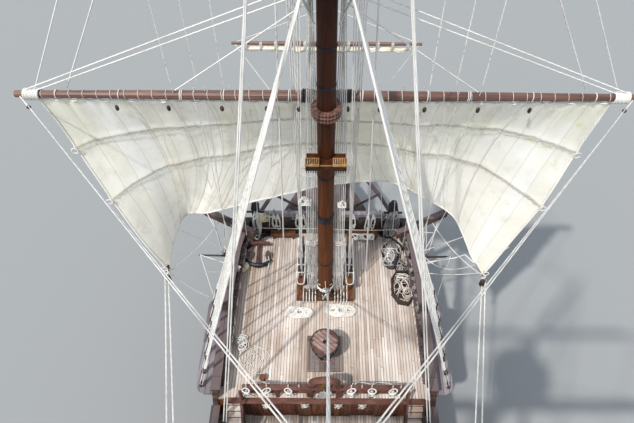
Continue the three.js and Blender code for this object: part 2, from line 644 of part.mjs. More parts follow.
// A hoop on a mast that a yard's collar rests on
const STOP_HEIGHT = 0.12;
function stopHoop(x, z, radius) {
  const top = z - PARREL - FIT;
  return rod([x, 0, top - STOP_HEIGHT], [x, 0, top], radius + 0.01, radius + 0.08);
}
const stopsOn = (mast, onTopmast) =>
  Object.values(YARDS)
    .filter((yard) => yard.mast === mast && Boolean(yard.onTopmast) === onTopmast)
    .map((yard) =>
      stopHoop(yardAxis(yard), yard.z, onTopmast ? topmastRadius(mast, yard.z) : mastRadius(mast, yard.z)),
    );
const FAIRLEAD = { z: 14.1, half: 0.6, aft: 0.42 };
function fairlead() {
  const x = ALONG.foremast - FAIRLEAD.aft;
  const beam = box(x - 0.1, ALONG.foremast, -FAIRLEAD.half, FAIRLEAD.half, FAIRLEAD.z, FAIRLEAD.z + 0.16);
  const cheeks = [-0.42, 0.42].map((y) => box(x - 0.16, x + 0.12, y - 0.2, y + 0.2, FAIRLEAD.z, FAIRLEAD.z + 0.26));
  return join(beam, ...cheeks);
}
for (const name of ["foremast", "mainmast"]) {
  const { head, top, topRadius } = SPAR[name];
  const x = ALONG[name];
  const cap = box(x - CAP.half, x + TOPMAST_AHEAD + CAP.half, -CAP.half, CAP.half, head - CAP.height, head);
  const cappedMast = cut(mastBar(name).add(cap), topmastBar(name, top, head + 1, FIT));
  const hooped = join(cappedMast, ...stopsOn(name, false));
  add(name, name === "foremast" ? hooped.add(fairlead()) : hooped, COLOUR.mast);
  const dish = turned(
    [
      [0, top - 0.1],
      [topRadius - 0.25, top - 0.1],
      [topRadius + 0.1, top + 0.85],
      [topRadius + 0.02, top + 0.85],
      [topRadius - 0.3, top],
      [0, top],
    ],
    x,
    0,
  );
  const trestles = SIDES.map(([, side]) => {
    const [a, b] = [side * 0.36, side * 0.56].sort((p, q) => p - q);
    return box(x - topRadius * 0.6, x + topRadius * 0.6, a, b, top - 0.4, top - 0.08);
  });
  const hounds = box(x - 0.12, x + 0.12, -0.5, 0.5, top - 0.38, top - 0.2);
  add(name + "_top", cut(join(dish, ...trestles, hounds), mastBar(name, FIT)), COLOUR.rail);
  const topmast = join(topmastBar(name, top + FIT, TOPMASTS[name].head), ...stopsOn(name, true));
  add(name + "_topmast", topmast, COLOUR.mast);
}
const lateenStop = stopHoop(ALONG.mizzenmast, lateenZ, mastRadius("mizzenmast", lateenZ));
add("mizzenmast", mastBar("mizzenmast").add(lateenStop), COLOUR.mast);

// Each yard with its collar and the chock between them
for (const [name, yard] of Object.entries(YARDS)) {
  const x = yardPlace(yard);
  const { z, half, thick, thin, mast, onTopmast } = yard;
  const arms = spar([x, -half, z], [x, half, z], thick, thin);
  const bore = onTopmast
    ? topmastBar(mast, z - 1, z + 1, RUN)
    : mastBar(mast, RUN, z - 1, z + 1);
  const axis = yardAxis(yard);
  const mastThick = onTopmast ? topmastRadius(mast, z - PARREL) : mastRadius(mast, z - PARREL);
  const collar = rod([axis, 0, z - PARREL], [axis, 0, z + PARREL], mastThick + 0.1);
  const chock = box(axis, x, -0.11, 0.11, z - 0.1, z + 0.1);
  add(name, cut(join(arms, collar, chock), bore), COLOUR.spar);
}

// Sails furled on top of their yards
const FURLED = {
  main_course: { yard: "main_yard", reach: 0.9, thick: 0.27, thin: 0.13 },
  fore_topsail: { yard: "fore_topsail_yard", reach: 0.86, thick: 0.18, thin: 0.09 },
  main_topsail: { yard: "main_topsail_yard", reach: 0.86, thick: 0.2, thin: 0.1 },
};
for (const [name, { yard, reach, thick, thin }] of Object.entries(FURLED)) {
  const held = YARDS[yard];
  const x = yardPlace(held);
  const end = held.half * reach;
  const rollZ = held.z + held.thick * 0.8 + thick;
  const roll = spar([x + 0.02, -end, rollZ], [x + 0.02, end, rollZ], thick, thin);
  const mastSpace = box(yardAxis(held) - 2, yardAxis(held) + 0.36, -0.5, 0.5, held.z - 1, held.z + 2);
  const sparSpace = spar([x, -held.half, held.z], [x, held.half, held.z], held.thick + FIT, held.thin + FIT);
  add(name, cut(roll, sparSpace, mastSpace), COLOUR.canvas, 0.95);
}

// Fore course, set and drawing: its leech, its middle and the curve between them
const COURSE = {
  v: [0, 0.33, 0.62, 1],
  leech: { x: [12.1, 11.9, 11.1, 10.3], y: [8.26, 7.87, 7.06, 5.86], z: [15.9, 13.7, 11.7, 9.18] },
  middle: { x: [12.1, 12.9, 13.5, 13.7], z: [15.83, 14.26, 12.5, 10.3] },
  thickness: 0.04,
};
function foreCoursePoint(u, v) {
  const { leech, middle } = COURSE;
  const side = Math.abs(u);
  const along = (values) => smooth(COURSE.v, values, v);
  const y = u * along(leech.y);
  const x = THREE.MathUtils.lerp(along(middle.x), along(leech.x), side ** 2.3);
  const underYard = YARDS.fore_yard.z - yardRadius(YARDS.fore_yard, y) - FIT;
  const z = THREE.MathUtils.lerp(along(middle.z), along(leech.z), side ** 5);
  return [x + COURSE.thickness / 2, y, v === 0 ? underYard : Math.min(z, underYard - 0.05)];
}
add("fore_course", sheet(foreCoursePoint, 14, 6, COURSE.thickness), COLOUR.canvas, 0.95);

// Spritsail yard slung under the bowsprit, its sail furled below it
const SPRIT_YARD = { x: 24.7, half: 5.2, thick: 0.13, thin: 0.08 };
const SLING = { radius: 0.08, tip: 0.0015, height: 0.035 }; // a cone whose tip bears on the bowsprit
const bowspritHalfDepth = (bowspritRadius(SPRIT_YARD.x) * Math.cos(Math.PI / 12)) / Math.cos(Math.atan(STEEVE));
const underBowsprit = bowspritAt(SPRIT_YARD.x)[2] - bowspritHalfDepth - FIT;
const spritZ = underBowsprit - SLING.height - SPRIT_YARD.thick;
const acrossSprit = (reach, z) => [-1, 1].map((side) => [SPRIT_YARD.x, side * reach * SPRIT_YARD.half, z]);
const spritArms = (extra) => spar(...acrossSprit(1, spritZ), SPRIT_YARD.thick + extra, SPRIT_YARD.thin + extra);
const aboveSprit = (z) => [SPRIT_YARD.x, 0, z];
const spritSling = join(
  rod(aboveSprit(spritZ), aboveSprit(underBowsprit - SLING.height), SLING.radius),
  rod(aboveSprit(underBowsprit - SLING.height), aboveSprit(underBowsprit), SLING.radius, SLING.tip),
);
add("spritsail_yard", cut(join(spritArms(0), spritSling), bowspritBar(FIT)), COLOUR.spar);
const SPRIT_ROLL = { reach: 0.9, thick: 0.2, thin: 0.12 };
const spritRollZ = spritZ - SPRIT_YARD.thick * 0.8 - SPRIT_ROLL.thick;
const spritRoll = spar(...acrossSprit(SPRIT_ROLL.reach, spritRollZ), SPRIT_ROLL.thick, SPRIT_ROLL.thin);
add("spritsail", cut(spritRoll, spritArms(FIT)), COLOUR.canvas, 0.95);

// Lateen yard on the port side of the mizzenmast, with its sail furled under it
const onLateen = (share, drop = 0) => [
  THREE.MathUtils.lerp(LATEEN.low[0], LATEEN.high[0], share),
  lateenSide,
  THREE.MathUtils.lerp(LATEEN.low[1], LATEEN.high[1], share) - drop,
];
const lateenSpar = (extra) =>
  spar(onLateen(0), onLateen(1), LATEEN.thick + extra, LATEEN.thin + extra, lateenShare);
const lateenCollar = rod(
  [ALONG.mizzenmast, 0, lateenZ - PARREL],
  [ALONG.mizzenmast, 0, lateenZ + PARREL],
  mastRadius("mizzenmast", lateenZ) + LATEEN_OFF + 0.05,
);
const lateenBore = mastBar("mizzenmast", RUN, lateenZ - 1, lateenZ + 1);
add("lateen_yard", cut(join(lateenSpar(0), lateenCollar), lateenBore), COLOUR.spar);
const mizzenRoll = spar(onLateen(0.06, 0.36), onLateen(0.94, 0.24), 0.17, 0.09, lateenShare);
const mizzenSpace = box(ALONG.mizzenmast - 0.6, ALONG.mizzenmast + 0.6, -1, 0.4, lateenZ - 1.5, lateenZ + 1);
add("mizzen_sail", cut(mizzenRoll, lateenSpar(FIT), mizzenSpace), COLOUR.canvas, 0.95);

// The main stays, taut from masthead to what holds their feet
const STAYS = {
  fore_stay: { from: [11.6, 0, 19.95], to: [21.5, 0, bowspritAt(21.5)[2]], radius: 0.06 },
  main_stay: { from: [-0.95, -0.03, 23.1], to: [11.45, -0.12, 5.95], radius: 0.065 },
  mizzen_stay: { from: [-10.35, 0, 18.2], to: [-1.1, 0, 4.6], radius: 0.045 },
};
const stayClear = [
  mastBar("foremast", FIT),
  mastBar("mainmast", FIT),
  mastBar("mizzenmast", FIT),
  bowspritBar(FIT),
];
const foremastSeat = box(10.95, 12.0, -1.3, 1.3, HEIGHT.foreDeck, HEIGHT.foreDeck + 0.27 + FIT);
for (const [name, { from, to, radius }] of Object.entries(STAYS))
  add(name, cut(rod(from, to, radius, radius, 8), ...stayClear, foremastSeat), COLOUR.rope, 0.9);

// Foremast partners and the fife rails that run forward from them
const FIFE = { y: 1.05, x0: 11.35, x1: 13.75, height: 1.0 };
const partners = box(11.0, 11.95, -1.25, 1.25, HEIGHT.foreDeck + FIT, HEIGHT.foreDeck + 0.27);
const fifeRails = SIDES.flatMap(([, side]) => {
  const y = side * FIFE.y;
  const top = HEIGHT.foreDeck + FIFE.height;
  const board = box(FIFE.x0, FIFE.x1, y - 0.09, y + 0.09, top - 0.08, top);
  const posts = [FIFE.x0 + 0.12, 12.5, FIFE.x1 - 0.12].map((x) =>
    box(x - 0.07, x + 0.07, y - 0.07, y + 0.07, HEIGHT.foreDeck + FIT, top - 0.02),
  );
  return [board, ...posts];
});
add("foremast_bitts", cut(join(partners, ...fifeRails), mastBar("foremast", FIT)), COLOUR.mast);

// Capstan on the forecastle: barrel with whelps and a flat head
const CAPSTAN = { x: 8.6, radius: 0.53, height: 1.25 };
const capstanFoot = HEIGHT.foreDeck + 0.1;
const capstanTop = HEIGHT.foreDeck + CAPSTAN.height;
const barrel = turned(
  [
    [0, capstanFoot + FIT],
    [0.42, capstanFoot + FIT],
    [0.42, capstanFoot + 0.12],
    [0.28, capstanFoot + 0.2],
    [0.26, capstanTop - 0.32],
    [CAPSTAN.radius, capstanTop - 0.28],
    [CAPSTAN.radius, capstanTop],
    [0, capstanTop],
  ],
  CAPSTAN.x,
  0,
);
const whelps = Array.from({ length: 6 }, (_, i) => {
  const angle = (i * Math.PI) / 3;
  const place = (radius, z) => [CAPSTAN.x + radius * Math.cos(angle), radius * Math.sin(angle), z];
  return rod(place(0.32, capstanFoot + 0.1), place(0.29, capstanTop - 0.29), 0.08, 0.08, 4);
});
add("capstan", join(barrel, ...whelps), COLOUR.mast);
const bed = box(
  CAPSTAN.x - 0.65,
  CAPSTAN.x + 0.65,
  -0.65,
  0.65,
  HEIGHT.foreDeck + FIT,
  capstanFoot - FIT,
);
add("capstan_bed", bed, COLOUR.dark);

// Rails across the breaks of the decks
function breakRail(x, half, floor, height, posts) {
  const beam = box(x - 0.09, x + 0.09, -half, half, floor + height - 0.16, floor + height);
  const lower = box(x - 0.06, x + 0.06, -half, half, floor + 0.4, floor + 0.5);
  const uprights = Array.from({ length: posts }, (_, i) => {
    const y = -half + 0.07 + (i * (2 * half - 0.14)) / (posts - 1);
    return box(x - 0.07, x + 0.07, y - 0.07, y + 0.07, floor + FIT, floor + height - 0.02);
  });
  return join(beam, lower, ...uprights);
}
const BELFRY = { half: 0.5, height: 1.75 };
const belfryX = ALONG.foreBreak + 0.12;
const belfryTop = HEIGHT.foreDeck + BELFRY.height;
const belfryPosts = SIDES.map(([, side]) =>
  box(belfryX - 0.09, belfryX + 0.09, side * BELFRY.half - 0.07, side * BELFRY.half + 0.07, HEIGHT.foreDeck + FIT, belfryTop),
);
const belfryRoof = sidePlate(
  [
    [belfryX - 0.3, belfryTop - 0.06],
    [belfryX + 0.3, belfryTop - 0.06],
    [belfryX, belfryTop + 0.2],
  ],
  -BELFRY.half - 0.15,
  BELFRY.half + 0.15,
);
const bell = turned(
  [
    [0, belfryTop - 0.45],
    [0.2, belfryTop - 0.45],
    [0.12, belfryTop - 0.15],
    [0.04, belfryTop - 0.02],
    [0, belfryTop - 0.02],
  ],
  belfryX,
  0,
  12,
);
add(
  "forecastle_rail",
  join(breakRail(belfryX, 3.1, HEIGHT.foreDeck, 1.0, 6), ...belfryPosts, belfryRoof, bell),
  COLOUR.rail,
);
add("quarterdeck_rail", breakRail(ALONG.quarterBreak - 0.15, 2.75, HEIGHT.quarterDeck, 1.0, 6), COLOUR.rail);
add("poop_rail", breakRail(ALONG.poopBreak - 0.15, 2.15, HEIGHT.poopDeck, 0.95, 5), COLOUR.rail);

// Main hatch with its grating, and the stern lantern
const hatchTop = HEIGHT.mainDeck + 0.35;
add("main_hatch", box(1.2, 3.6, -1.15, 1.15, HEIGHT.mainDeck + FIT, hatchTop), COLOUR.rail);
const lanternX = sternpostAt(HEIGHT.taffrail) - 0.1;
const lantern = turned(
  [
    [0, HEIGHT.taffrail + FIT],
    [0.12, HEIGHT.taffrail + FIT],
    [0.12, HEIGHT.taffrail + 0.2],
    [0.32, HEIGHT.taffrail + 0.4],
    [0.4, HEIGHT.taffrail + 1.1],
    [0.2, HEIGHT.taffrail + 1.35],
    [0.05, HEIGHT.taffrail + 1.7],
    [0, HEIGHT.taffrail + 1.7],
  ],
  lanternX,
  0,
  8,
);
add("stern_lantern", lantern, COLOUR.iron, 0.4, 0.8);

// Anchor lying on the forecastle deck
const ANCHOR = { x0: 12.55, x1: 14.3, y: 3.15, thick: 0.07 };
const anchorZ = HEIGHT.foreDeck + ANCHOR.thick + FIT;
const anchorShank = rod([ANCHOR.x0, ANCHOR.y, anchorZ], [ANCHOR.x1, ANCHOR.y, anchorZ], ANCHOR.thick, ANCHOR.thick, 8);
const anchorArms = [-0.42, 0.42].map((reach) =>
  rod([ANCHOR.x0 + 0.05, ANCHOR.y, anchorZ], [ANCHOR.x0 + 0.4, ANCHOR.y + reach, anchorZ], ANCHOR.thick, 0.05, 8),
);
const anchorStock = rod(
  [ANCHOR.x1 - 0.15, ANCHOR.y - 0.42, anchorZ],
  [ANCHOR.x1 - 0.15, ANCHOR.y + 0.42, anchorZ],
  0.06,
  0.06,
  8,
);
add("deck_anchor", join(anchorShank, ...anchorArms, anchorStock), COLOUR.iron, 0.6, 0.6);

export default ship;
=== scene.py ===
# %% [markdown]
# # A tall ship, dressed round its solids
# The solids of a galleon are loaded as a fixed frame, and every step below adds what a rigger, a sailmaker
# or a painter adds to the real one. Sizes are written in the full-size ship's metres and halved at the end
# of each piece, because the model is a 1:2 scale model. +X points to the bow, +Y to port, and z = 0 is the
# waterline.

# %% Load the frame
import math
import random
import bmesh
import bpy
from mathutils import Matrix, Vector, noise


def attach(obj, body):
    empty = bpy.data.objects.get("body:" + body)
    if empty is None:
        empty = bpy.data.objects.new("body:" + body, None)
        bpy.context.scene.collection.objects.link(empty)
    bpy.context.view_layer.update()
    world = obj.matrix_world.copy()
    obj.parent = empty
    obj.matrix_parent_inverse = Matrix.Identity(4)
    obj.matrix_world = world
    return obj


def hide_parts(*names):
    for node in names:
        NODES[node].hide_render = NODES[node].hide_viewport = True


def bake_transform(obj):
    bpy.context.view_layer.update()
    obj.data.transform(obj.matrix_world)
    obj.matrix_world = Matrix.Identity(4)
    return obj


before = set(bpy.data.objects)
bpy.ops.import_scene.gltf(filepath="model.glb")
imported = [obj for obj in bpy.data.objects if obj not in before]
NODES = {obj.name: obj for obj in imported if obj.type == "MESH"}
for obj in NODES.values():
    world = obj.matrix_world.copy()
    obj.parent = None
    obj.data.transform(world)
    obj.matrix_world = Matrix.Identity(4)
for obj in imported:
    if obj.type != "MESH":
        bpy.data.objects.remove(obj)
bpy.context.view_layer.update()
MODEL = 0.5

# %% [markdown]
# ## The camera
# The picture is taken from the main top, looking forward and steeply down on the forecastle. The capstan, the
# deck's planks and the foremast's taper gave its place, so it stands there, at half size, with a wide lens.

# %% Camera
EYE = Vector((0.7, 0.0, 25.5))
LOOK_DOWN = 52.7
ROLL = 0.37
LENS = 28.7
CENTRE_SHIFT = -0.0137

camera_data = bpy.data.cameras.new("main_top_view")
camera_data.lens = LENS
camera_data.shift_x = CENTRE_SHIFT
camera_data.clip_end = 500
camera = bpy.data.objects.new("main_top_view", camera_data)
turn = Matrix.Rotation(math.radians(-90), 4, "Z") @ Matrix.Rotation(math.radians(90 - LOOK_DOWN), 4, "X")
camera.matrix_world = Matrix.Translation(EYE * MODEL) @ turn @ Matrix.Rotation(math.radians(ROLL), 4, "Z")
bpy.context.collection.objects.link(camera)
bpy.context.scene.camera = camera
print("camera at", tuple(camera.location))

# %% [markdown]
# ## Floor and light
# A pale floor lies at the waterline, so only what is above it shows, as on a ship afloat. One broad sun from
# the port side gives the soft shadows of an afternoon, and a pale sky fills them.

# %% Floor and light
FLOOR = 120.0
FLOOR_TONE = (0.27, 0.28, 0.285, 1)
SKY_TONE = (0.82, 0.90, 1.0, 1)
SKY_STRENGTH = 0.92
SUN_STRENGTH = 3.2
SUN_SPREAD = 1.8
SUN_WAY = Vector((0.43, -0.40, -1.0))

floor_shape = bmesh.new()
bmesh.ops.create_grid(floor_shape, x_segments=2, y_segments=2, size=FLOOR)
floor_mesh = bpy.data.meshes.new("floor")
floor_shape.to_mesh(floor_mesh)
floor_shape.free()
floor = bpy.data.objects.new("floor", floor_mesh)
bpy.context.collection.objects.link(floor)
floor_paint = bpy.data.materials.new("pale_floor")
floor_paint.use_nodes = True
floor_paint.node_tree.nodes["Principled BSDF"].inputs["Base Color"].default_value = FLOOR_TONE
floor_paint.node_tree.nodes["Principled BSDF"].inputs["Roughness"].default_value = 0.9
floor_mesh.materials.append(floor_paint)

sky = bpy.data.worlds.new("pale_sky")
sky.use_nodes = True
sky.node_tree.nodes["Background"].inputs["Color"].default_value = SKY_TONE
sky.node_tree.nodes["Background"].inputs["Strength"].default_value = SKY_STRENGTH
bpy.context.scene.world = sky

sun_data = bpy.data.lights.new("sun", "SUN")
sun_data.energy = SUN_STRENGTH
sun_data.angle = math.radians(SUN_SPREAD)
sun_data.color = (1.0, 0.96, 0.9)
sun = bpy.data.objects.new("sun", sun_data)
sun.rotation_euler = SUN_WAY.to_track_quat("-Z", "Y").to_euler()
bpy.context.collection.objects.link(sun)
bpy.context.scene.view_settings.view_transform = "Standard"
print("floor and light ready")

# %% [markdown]
# ## Finishes
# Every finish is a small graph of nodes. `Finish` keeps the writing short: it reads the place on the
# object in full-size metres, and offers noise, ramps, mixes and sums. Planks need a number for each plank,
# so that seams, butts and tones differ from plank to plank as on a real deck.

# %% A helper for finishes
AXES = {"X": 0, "Y": 1, "Z": 2}


class Finish:
    def __init__(self, name, roughness=0.7, metal=0.0, specular=0.4):
        self.material = bpy.data.materials.new(name)
        self.material.use_nodes = True
        self.tree = self.material.node_tree
        self.shader = self.tree.nodes["Principled BSDF"]
        self.shader.inputs["Roughness"].default_value = roughness
        self.shader.inputs["Metallic"].default_value = metal
        self.shader.inputs["Specular IOR Level"].default_value = specular

    def add(self, kind, inputs=(), output=0, **settings):
        made = self.tree.nodes.new("ShaderNode" + kind)
        for key, value in settings.items():
            setattr(made, key, value)
        for key, value in dict(inputs).items():
            if isinstance(value, bpy.types.NodeSocket):
                self.tree.links.new(value, made.inputs[key])
            else:
                made.inputs[key].default_value = value
        return made.outputs[output]

    def place(self, stretch=(1, 1, 1)):
        """The place on the object in full-size metres, stretched for a grain."""
        source = self.add("TexCoord", output=3)
        scale = [value / MODEL for value in stretch]
        return self.add("VectorMath", {0: source, 1: scale}, operation="MULTIPLY")

    def split(self, vector):
        made = self.add("SeparateXYZ", {0: vector}).node
        return [made.outputs[i] for i in range(3)]

    def math(self, operation, a, b=0.0):
        return self.add("Math", {0: a, 1: b}, operation=operation)

    def times(self, a, b):
        return self.math("MULTIPLY", a, b)

    def plus(self, a, b):
        return self.math("ADD", a, b)

    def minus(self, a, b):
        return self.math("SUBTRACT", a, b)

    def noise(self, vector, scale, detail=3.0, rough=0.55):
        return self.add("TexNoise", {"Vector": vector, "Scale": scale, "Detail": detail, "Roughness": rough})

    def random(self, *values):
        vector = self.add("CombineXYZ", dict(enumerate(values)))
        return self.add("TexWhiteNoise", {"Vector": vector}, noise_dimensions="3D")

    def ramp(self, value, stops):
        made = self.add("ValToRGB", {0: value}).node
        bands = made.color_ramp.elements
        while len(bands) < len(stops):
            bands.new(0.5)
        for band, (at, tone) in zip(bands, stops):
            band.position = at
            band.color = (*tone, 1) if len(tone) == 3 else tone
        return made.outputs[0]

    def step(self, value, low, high, start=0.0, end=1.0):
        """A smooth step from start to end as the value goes from low to high."""
        sizes = {0: value, 1: low, 2: high, 3: start, 4: end}
        return self.add("MapRange", sizes, interpolation_type="SMOOTHSTEP")

    def mix(self, share, a, b, blend="MIX"):
        a, b = ((*tone, 1) if isinstance(tone, tuple) and len(tone) == 3 else tone for tone in (a, b))
        return self.add("Mix", {0: share, 6: a, 7: b}, output=2, data_type="RGBA", blend_type=blend)

    def end(self, colour, roughness=None, height=None, depth=0.004, strength=0.7):
        self.tree.links.new(colour, self.shader.inputs["Base Color"])
        if roughness is not None:
            self.tree.links.new(roughness, self.shader.inputs["Roughness"])
        if height is not None:
            sizes = {"Height": height, "Distance": depth, "Strength": strength}
            self.tree.links.new(self.add("Bump", sizes), self.shader.inputs["Normal"])
        return self.material


# %% [markdown]
# ## Planked surfaces
# A deck is laid in planks about 12 cm wide, caulked with pitch. Here each plank gets its own number, and
# from that its tone and the places of its butts; a stretched noise gives grain, a wide one the weather.

# %% Planked finish
def planked(name, along, across, width, length, tones, seam, seam_wide=0.012, sheer=0.0, dirt=None, wear=0.5,
            below=None, grain_depth=0.35, blotch=0.45, cap=None):
    finish = Finish(name)
    place = finish.place()
    axes = finish.split(place)
    run, side = axes[AXES[along]], axes[AXES[across]]
    if sheer:
        curve = finish.times(finish.times(axes[0], axes[0]), sheer)
        side = finish.minus(side, curve)
    row = finish.math("DIVIDE", side, width)
    number = finish.math("FLOOR", row)
    within = finish.math("FRACT", row)
    edge = finish.times(finish.math("MINIMUM", within, finish.minus(1.0, within)), width)
    shift = finish.random(number, 3.1, 0.0)
    butts = finish.plus(finish.math("DIVIDE", run, length), shift)
    butt_number = finish.math("FLOOR", butts)
    butt = finish.math("FRACT", butts)
    end = finish.times(finish.math("MINIMUM", butt, finish.minus(1.0, butt)), length * 1.5)
    near = finish.math("MINIMUM", edge, end)
    gap = finish.step(near, seam_wide * 0.35, seam_wide, 1.0, 0.0)
    tone = finish.ramp(finish.random(number, butt_number, 7.7), tones)
    stretch = [9.0, 9.0, 9.0]
    stretch[AXES[along]] = 0.55
    own_shift = finish.add("CombineXYZ", {0: finish.times(number, 3.7), 1: finish.times(number, 1.3)})
    shifted = finish.add("VectorMath", {0: finish.place(stretch), 1: own_shift})
    grain = finish.noise(shifted, 1.6, 6.0, 0.65)
    weather = finish.noise(place, 0.42, 4.0, 0.6)
    streak = finish.noise(finish.place([value * 0.16 for value in stretch]), 1.0, 5.0, 0.7)
    colour = finish.mix(finish.step(grain, 0.34, 0.72, 0.0, grain_depth), tone, seam, "MIX")
    dark = tuple(value * 0.5 for value in tones[0][1])
    colour = finish.mix(finish.step(streak, 0.5, 0.68, 0.0, wear), colour, dirt or dark)
    pale = tuple(min(1.0, value * 1.28) for value in tones[-1][1])
    colour = finish.mix(finish.step(weather, 0.42, 0.7, 0.0, blotch), colour, pale)
    if below:
        level, tone_below = below
        wobble = finish.times(finish.noise(place, 1.5), 0.25)
        wet = finish.step(finish.plus(axes[2], wobble), level - 0.05, level + 0.35, 1.0, 0.0)
        colour = finish.mix(wet, colour, tone_below)
    if cap:
        # Faces that point up take the paler cap tone, more along the grain's lighter streaks.
        facing = finish.split(finish.add("NewGeometry", output=1))[2]
        paler_upward_faces = finish.times(finish.step(facing, 0.55, 0.9), finish.step(grain, 0.3, 0.62, 0.55, 1.0))
        colour = finish.mix(paler_upward_faces, colour, cap)
    colour = finish.mix(finish.times(gap, 0.88), colour, seam)
    height = finish.minus(finish.times(grain, 0.25), gap)
    rough = finish.step(grain, 0.2, 0.8, 0.55, 0.85)
    return finish.end(colour, rough, height, 0.006, 0.8)


# %% [markdown]
# ## Round timber
# Masts and yards are varnished spars. Their grain runs along them, with dark drying cracks, and the sun
# has bleached some lengths: a noise that is long in one direction does all three.

# %% Varnished finish
def spar_wood(name, along, tones, crack=(0.03, 0.015, 0.01), gloss=0.45, height_tones=None, specular=0.2):
    finish = Finish(name, specular=specular)
    stretch = [7.0, 7.0, 7.0]
    stretch[AXES[along]] = 0.35
    grain = finish.noise(finish.place(stretch), 1.5, 7.0, 0.65)
    patches = finish.noise(finish.place([value * 0.12 for value in stretch]), 1.2, 4.0, 0.6)
    colour = finish.ramp(finish.plus(finish.times(grain, 0.6), finish.times(patches, 0.4)), tones)
    if height_tones:
        low, high, tone = height_tones
        up = finish.split(finish.place())[2]
        wobble = finish.times(patches, 3.0)
        darker = finish.step(finish.plus(up, wobble), low, high)
        colour = finish.mix(finish.times(darker, 0.8), colour, tone)
    stretch[AXES[along]] = 0.12
    cracks = finish.noise(finish.place([value * 1.3 for value in stretch]), 2.2, 2.0, 0.4)
    split = finish.step(cracks, 0.66, 0.7)
    colour = finish.mix(finish.times(split, 0.75), colour, crack)
    rough = finish.step(grain, 0.25, 0.75, gloss, gloss + 0.22)
    height = finish.minus(finish.times(grain, 0.3), split)
    return finish.end(colour, rough, height, 0.004, 0.6)


# %% [markdown]
# ## Plain finishes
# Iron fittings, gear and painted rails are one tone broken up by dirt and by wear, so one short helper
# with two noises serves them all. Rope has its own: thin strands wound round, read along the rope's own map,
# with painted shade in the grooves between the strands.

# %% Worn, iron and rope finishes
def worn(name, tones, scale=3.0, roughness=(0.5, 0.8), metal=0.0, depth=0.003, speck=None, stretch=(1, 1, 1)):
    finish = Finish(name, metal=metal)
    place = finish.place(stretch)
    coarse = finish.noise(place, scale, 5.0, 0.6)
    fine = finish.noise(place, scale * 9.0, 4.0, 0.6)
    blend = finish.plus(finish.times(coarse, 0.72), finish.times(fine, 0.28))
    colour = finish.ramp(blend, tones)
    if speck:
        spots = finish.step(finish.noise(place, scale * 3.0, 3.0, 0.7), 0.58, 0.68, 0.0, 0.85)
        colour = finish.mix(spots, colour, speck)
    return finish.end(colour, finish.step(fine, 0.3, 0.7, *roughness), blend, depth, 0.6)


def rope_finish(name, tones, lay=38.0):
    finish = Finish(name)
    strand = finish.add("TexCoord", output=2)
    along, round_it, _ = finish.split(strand)
    twist = finish.plus(finish.times(along, lay), finish.times(round_it, 3.0))
    wave = finish.math("SINE", finish.times(twist, 2 * math.pi))
    # Painted shade: the grooves between the strands are darkened in the colour.
    groove_shade = finish.step(wave, -1.0, -0.2, 1.0, 0.0)
    grime = finish.noise(finish.place(), 1.1, 5.0, 0.65)
    colour = finish.ramp(grime, tones)
    dark = tuple(value * 0.45 for value in tones[0][1])
    colour = finish.mix(finish.times(groove_shade, 0.4), colour, dark)
    return finish.end(colour, None, wave, 0.003, 0.5)


# %% [markdown]
# ## The ship's colours
# The weather decks are pale and pinkish, the rails and channels have gone a purple grey, the masts are
# orange below and dark red above, and the sides are tarred planks over a dark bottom.

# %% Colours of the ship
def shades(dark, middle, pale, at=(0.3, 0.5, 0.7)):
    """Three tones with their places on a ramp."""
    return list(zip(at, (dark, middle, pale)))


DECK_TONES = [(0.0, (0.43, 0.325, 0.26)), (0.3, (0.54, 0.435, 0.365)), (0.7, (0.62, 0.53, 0.47)),
              (1.0, (0.74, 0.66, 0.61))]
SIDE_TONES = shades((0.055, 0.022, 0.014), (0.09, 0.04, 0.026), (0.14, 0.072, 0.052), at=(0.0, 0.5, 1.0))
GREY_TONES = shades((0.15, 0.13, 0.145), (0.22, 0.195, 0.215), (0.30, 0.27, 0.29), at=(0.0, 0.5, 1.0))
RAIL_TONES = shades((0.045, 0.028, 0.03), (0.085, 0.056, 0.058), (0.16, 0.115, 0.118))
DOOR_TONES = shades((0.10, 0.022, 0.006), (0.17, 0.045, 0.012), (0.27, 0.09, 0.022), at=(0.0, 0.5, 1.0))
DARK_TONES = shades((0.016, 0.010, 0.009), (0.032, 0.02, 0.016), (0.07, 0.044, 0.034))
MAST_TONES = shades((0.04, 0.009, 0.002), (0.10, 0.028, 0.006), (0.20, 0.066, 0.018))
YARD_TONES = shades((0.055, 0.02, 0.013), (0.14, 0.065, 0.045), (0.29, 0.165, 0.125))
ROPE_TONES = shades((0.66, 0.63, 0.57), (0.82, 0.80, 0.76), (0.90, 0.89, 0.87), at=(0.3, 0.5, 0.72))
GREY_ROPE_TONES = shades((0.17, 0.16, 0.16), (0.34, 0.32, 0.32), (0.58, 0.56, 0.55), at=(0.3, 0.5, 0.72))
TAR_TONES = shades((0.012, 0.010, 0.009), (0.03, 0.026, 0.022), (0.06, 0.05, 0.045))
IRON_TONES = shades((0.012, 0.014, 0.02), (0.03, 0.034, 0.045), (0.07, 0.075, 0.09))
PITCH = (0.035, 0.028, 0.024)
BOTTOM = (0.035, 0.05, 0.045)

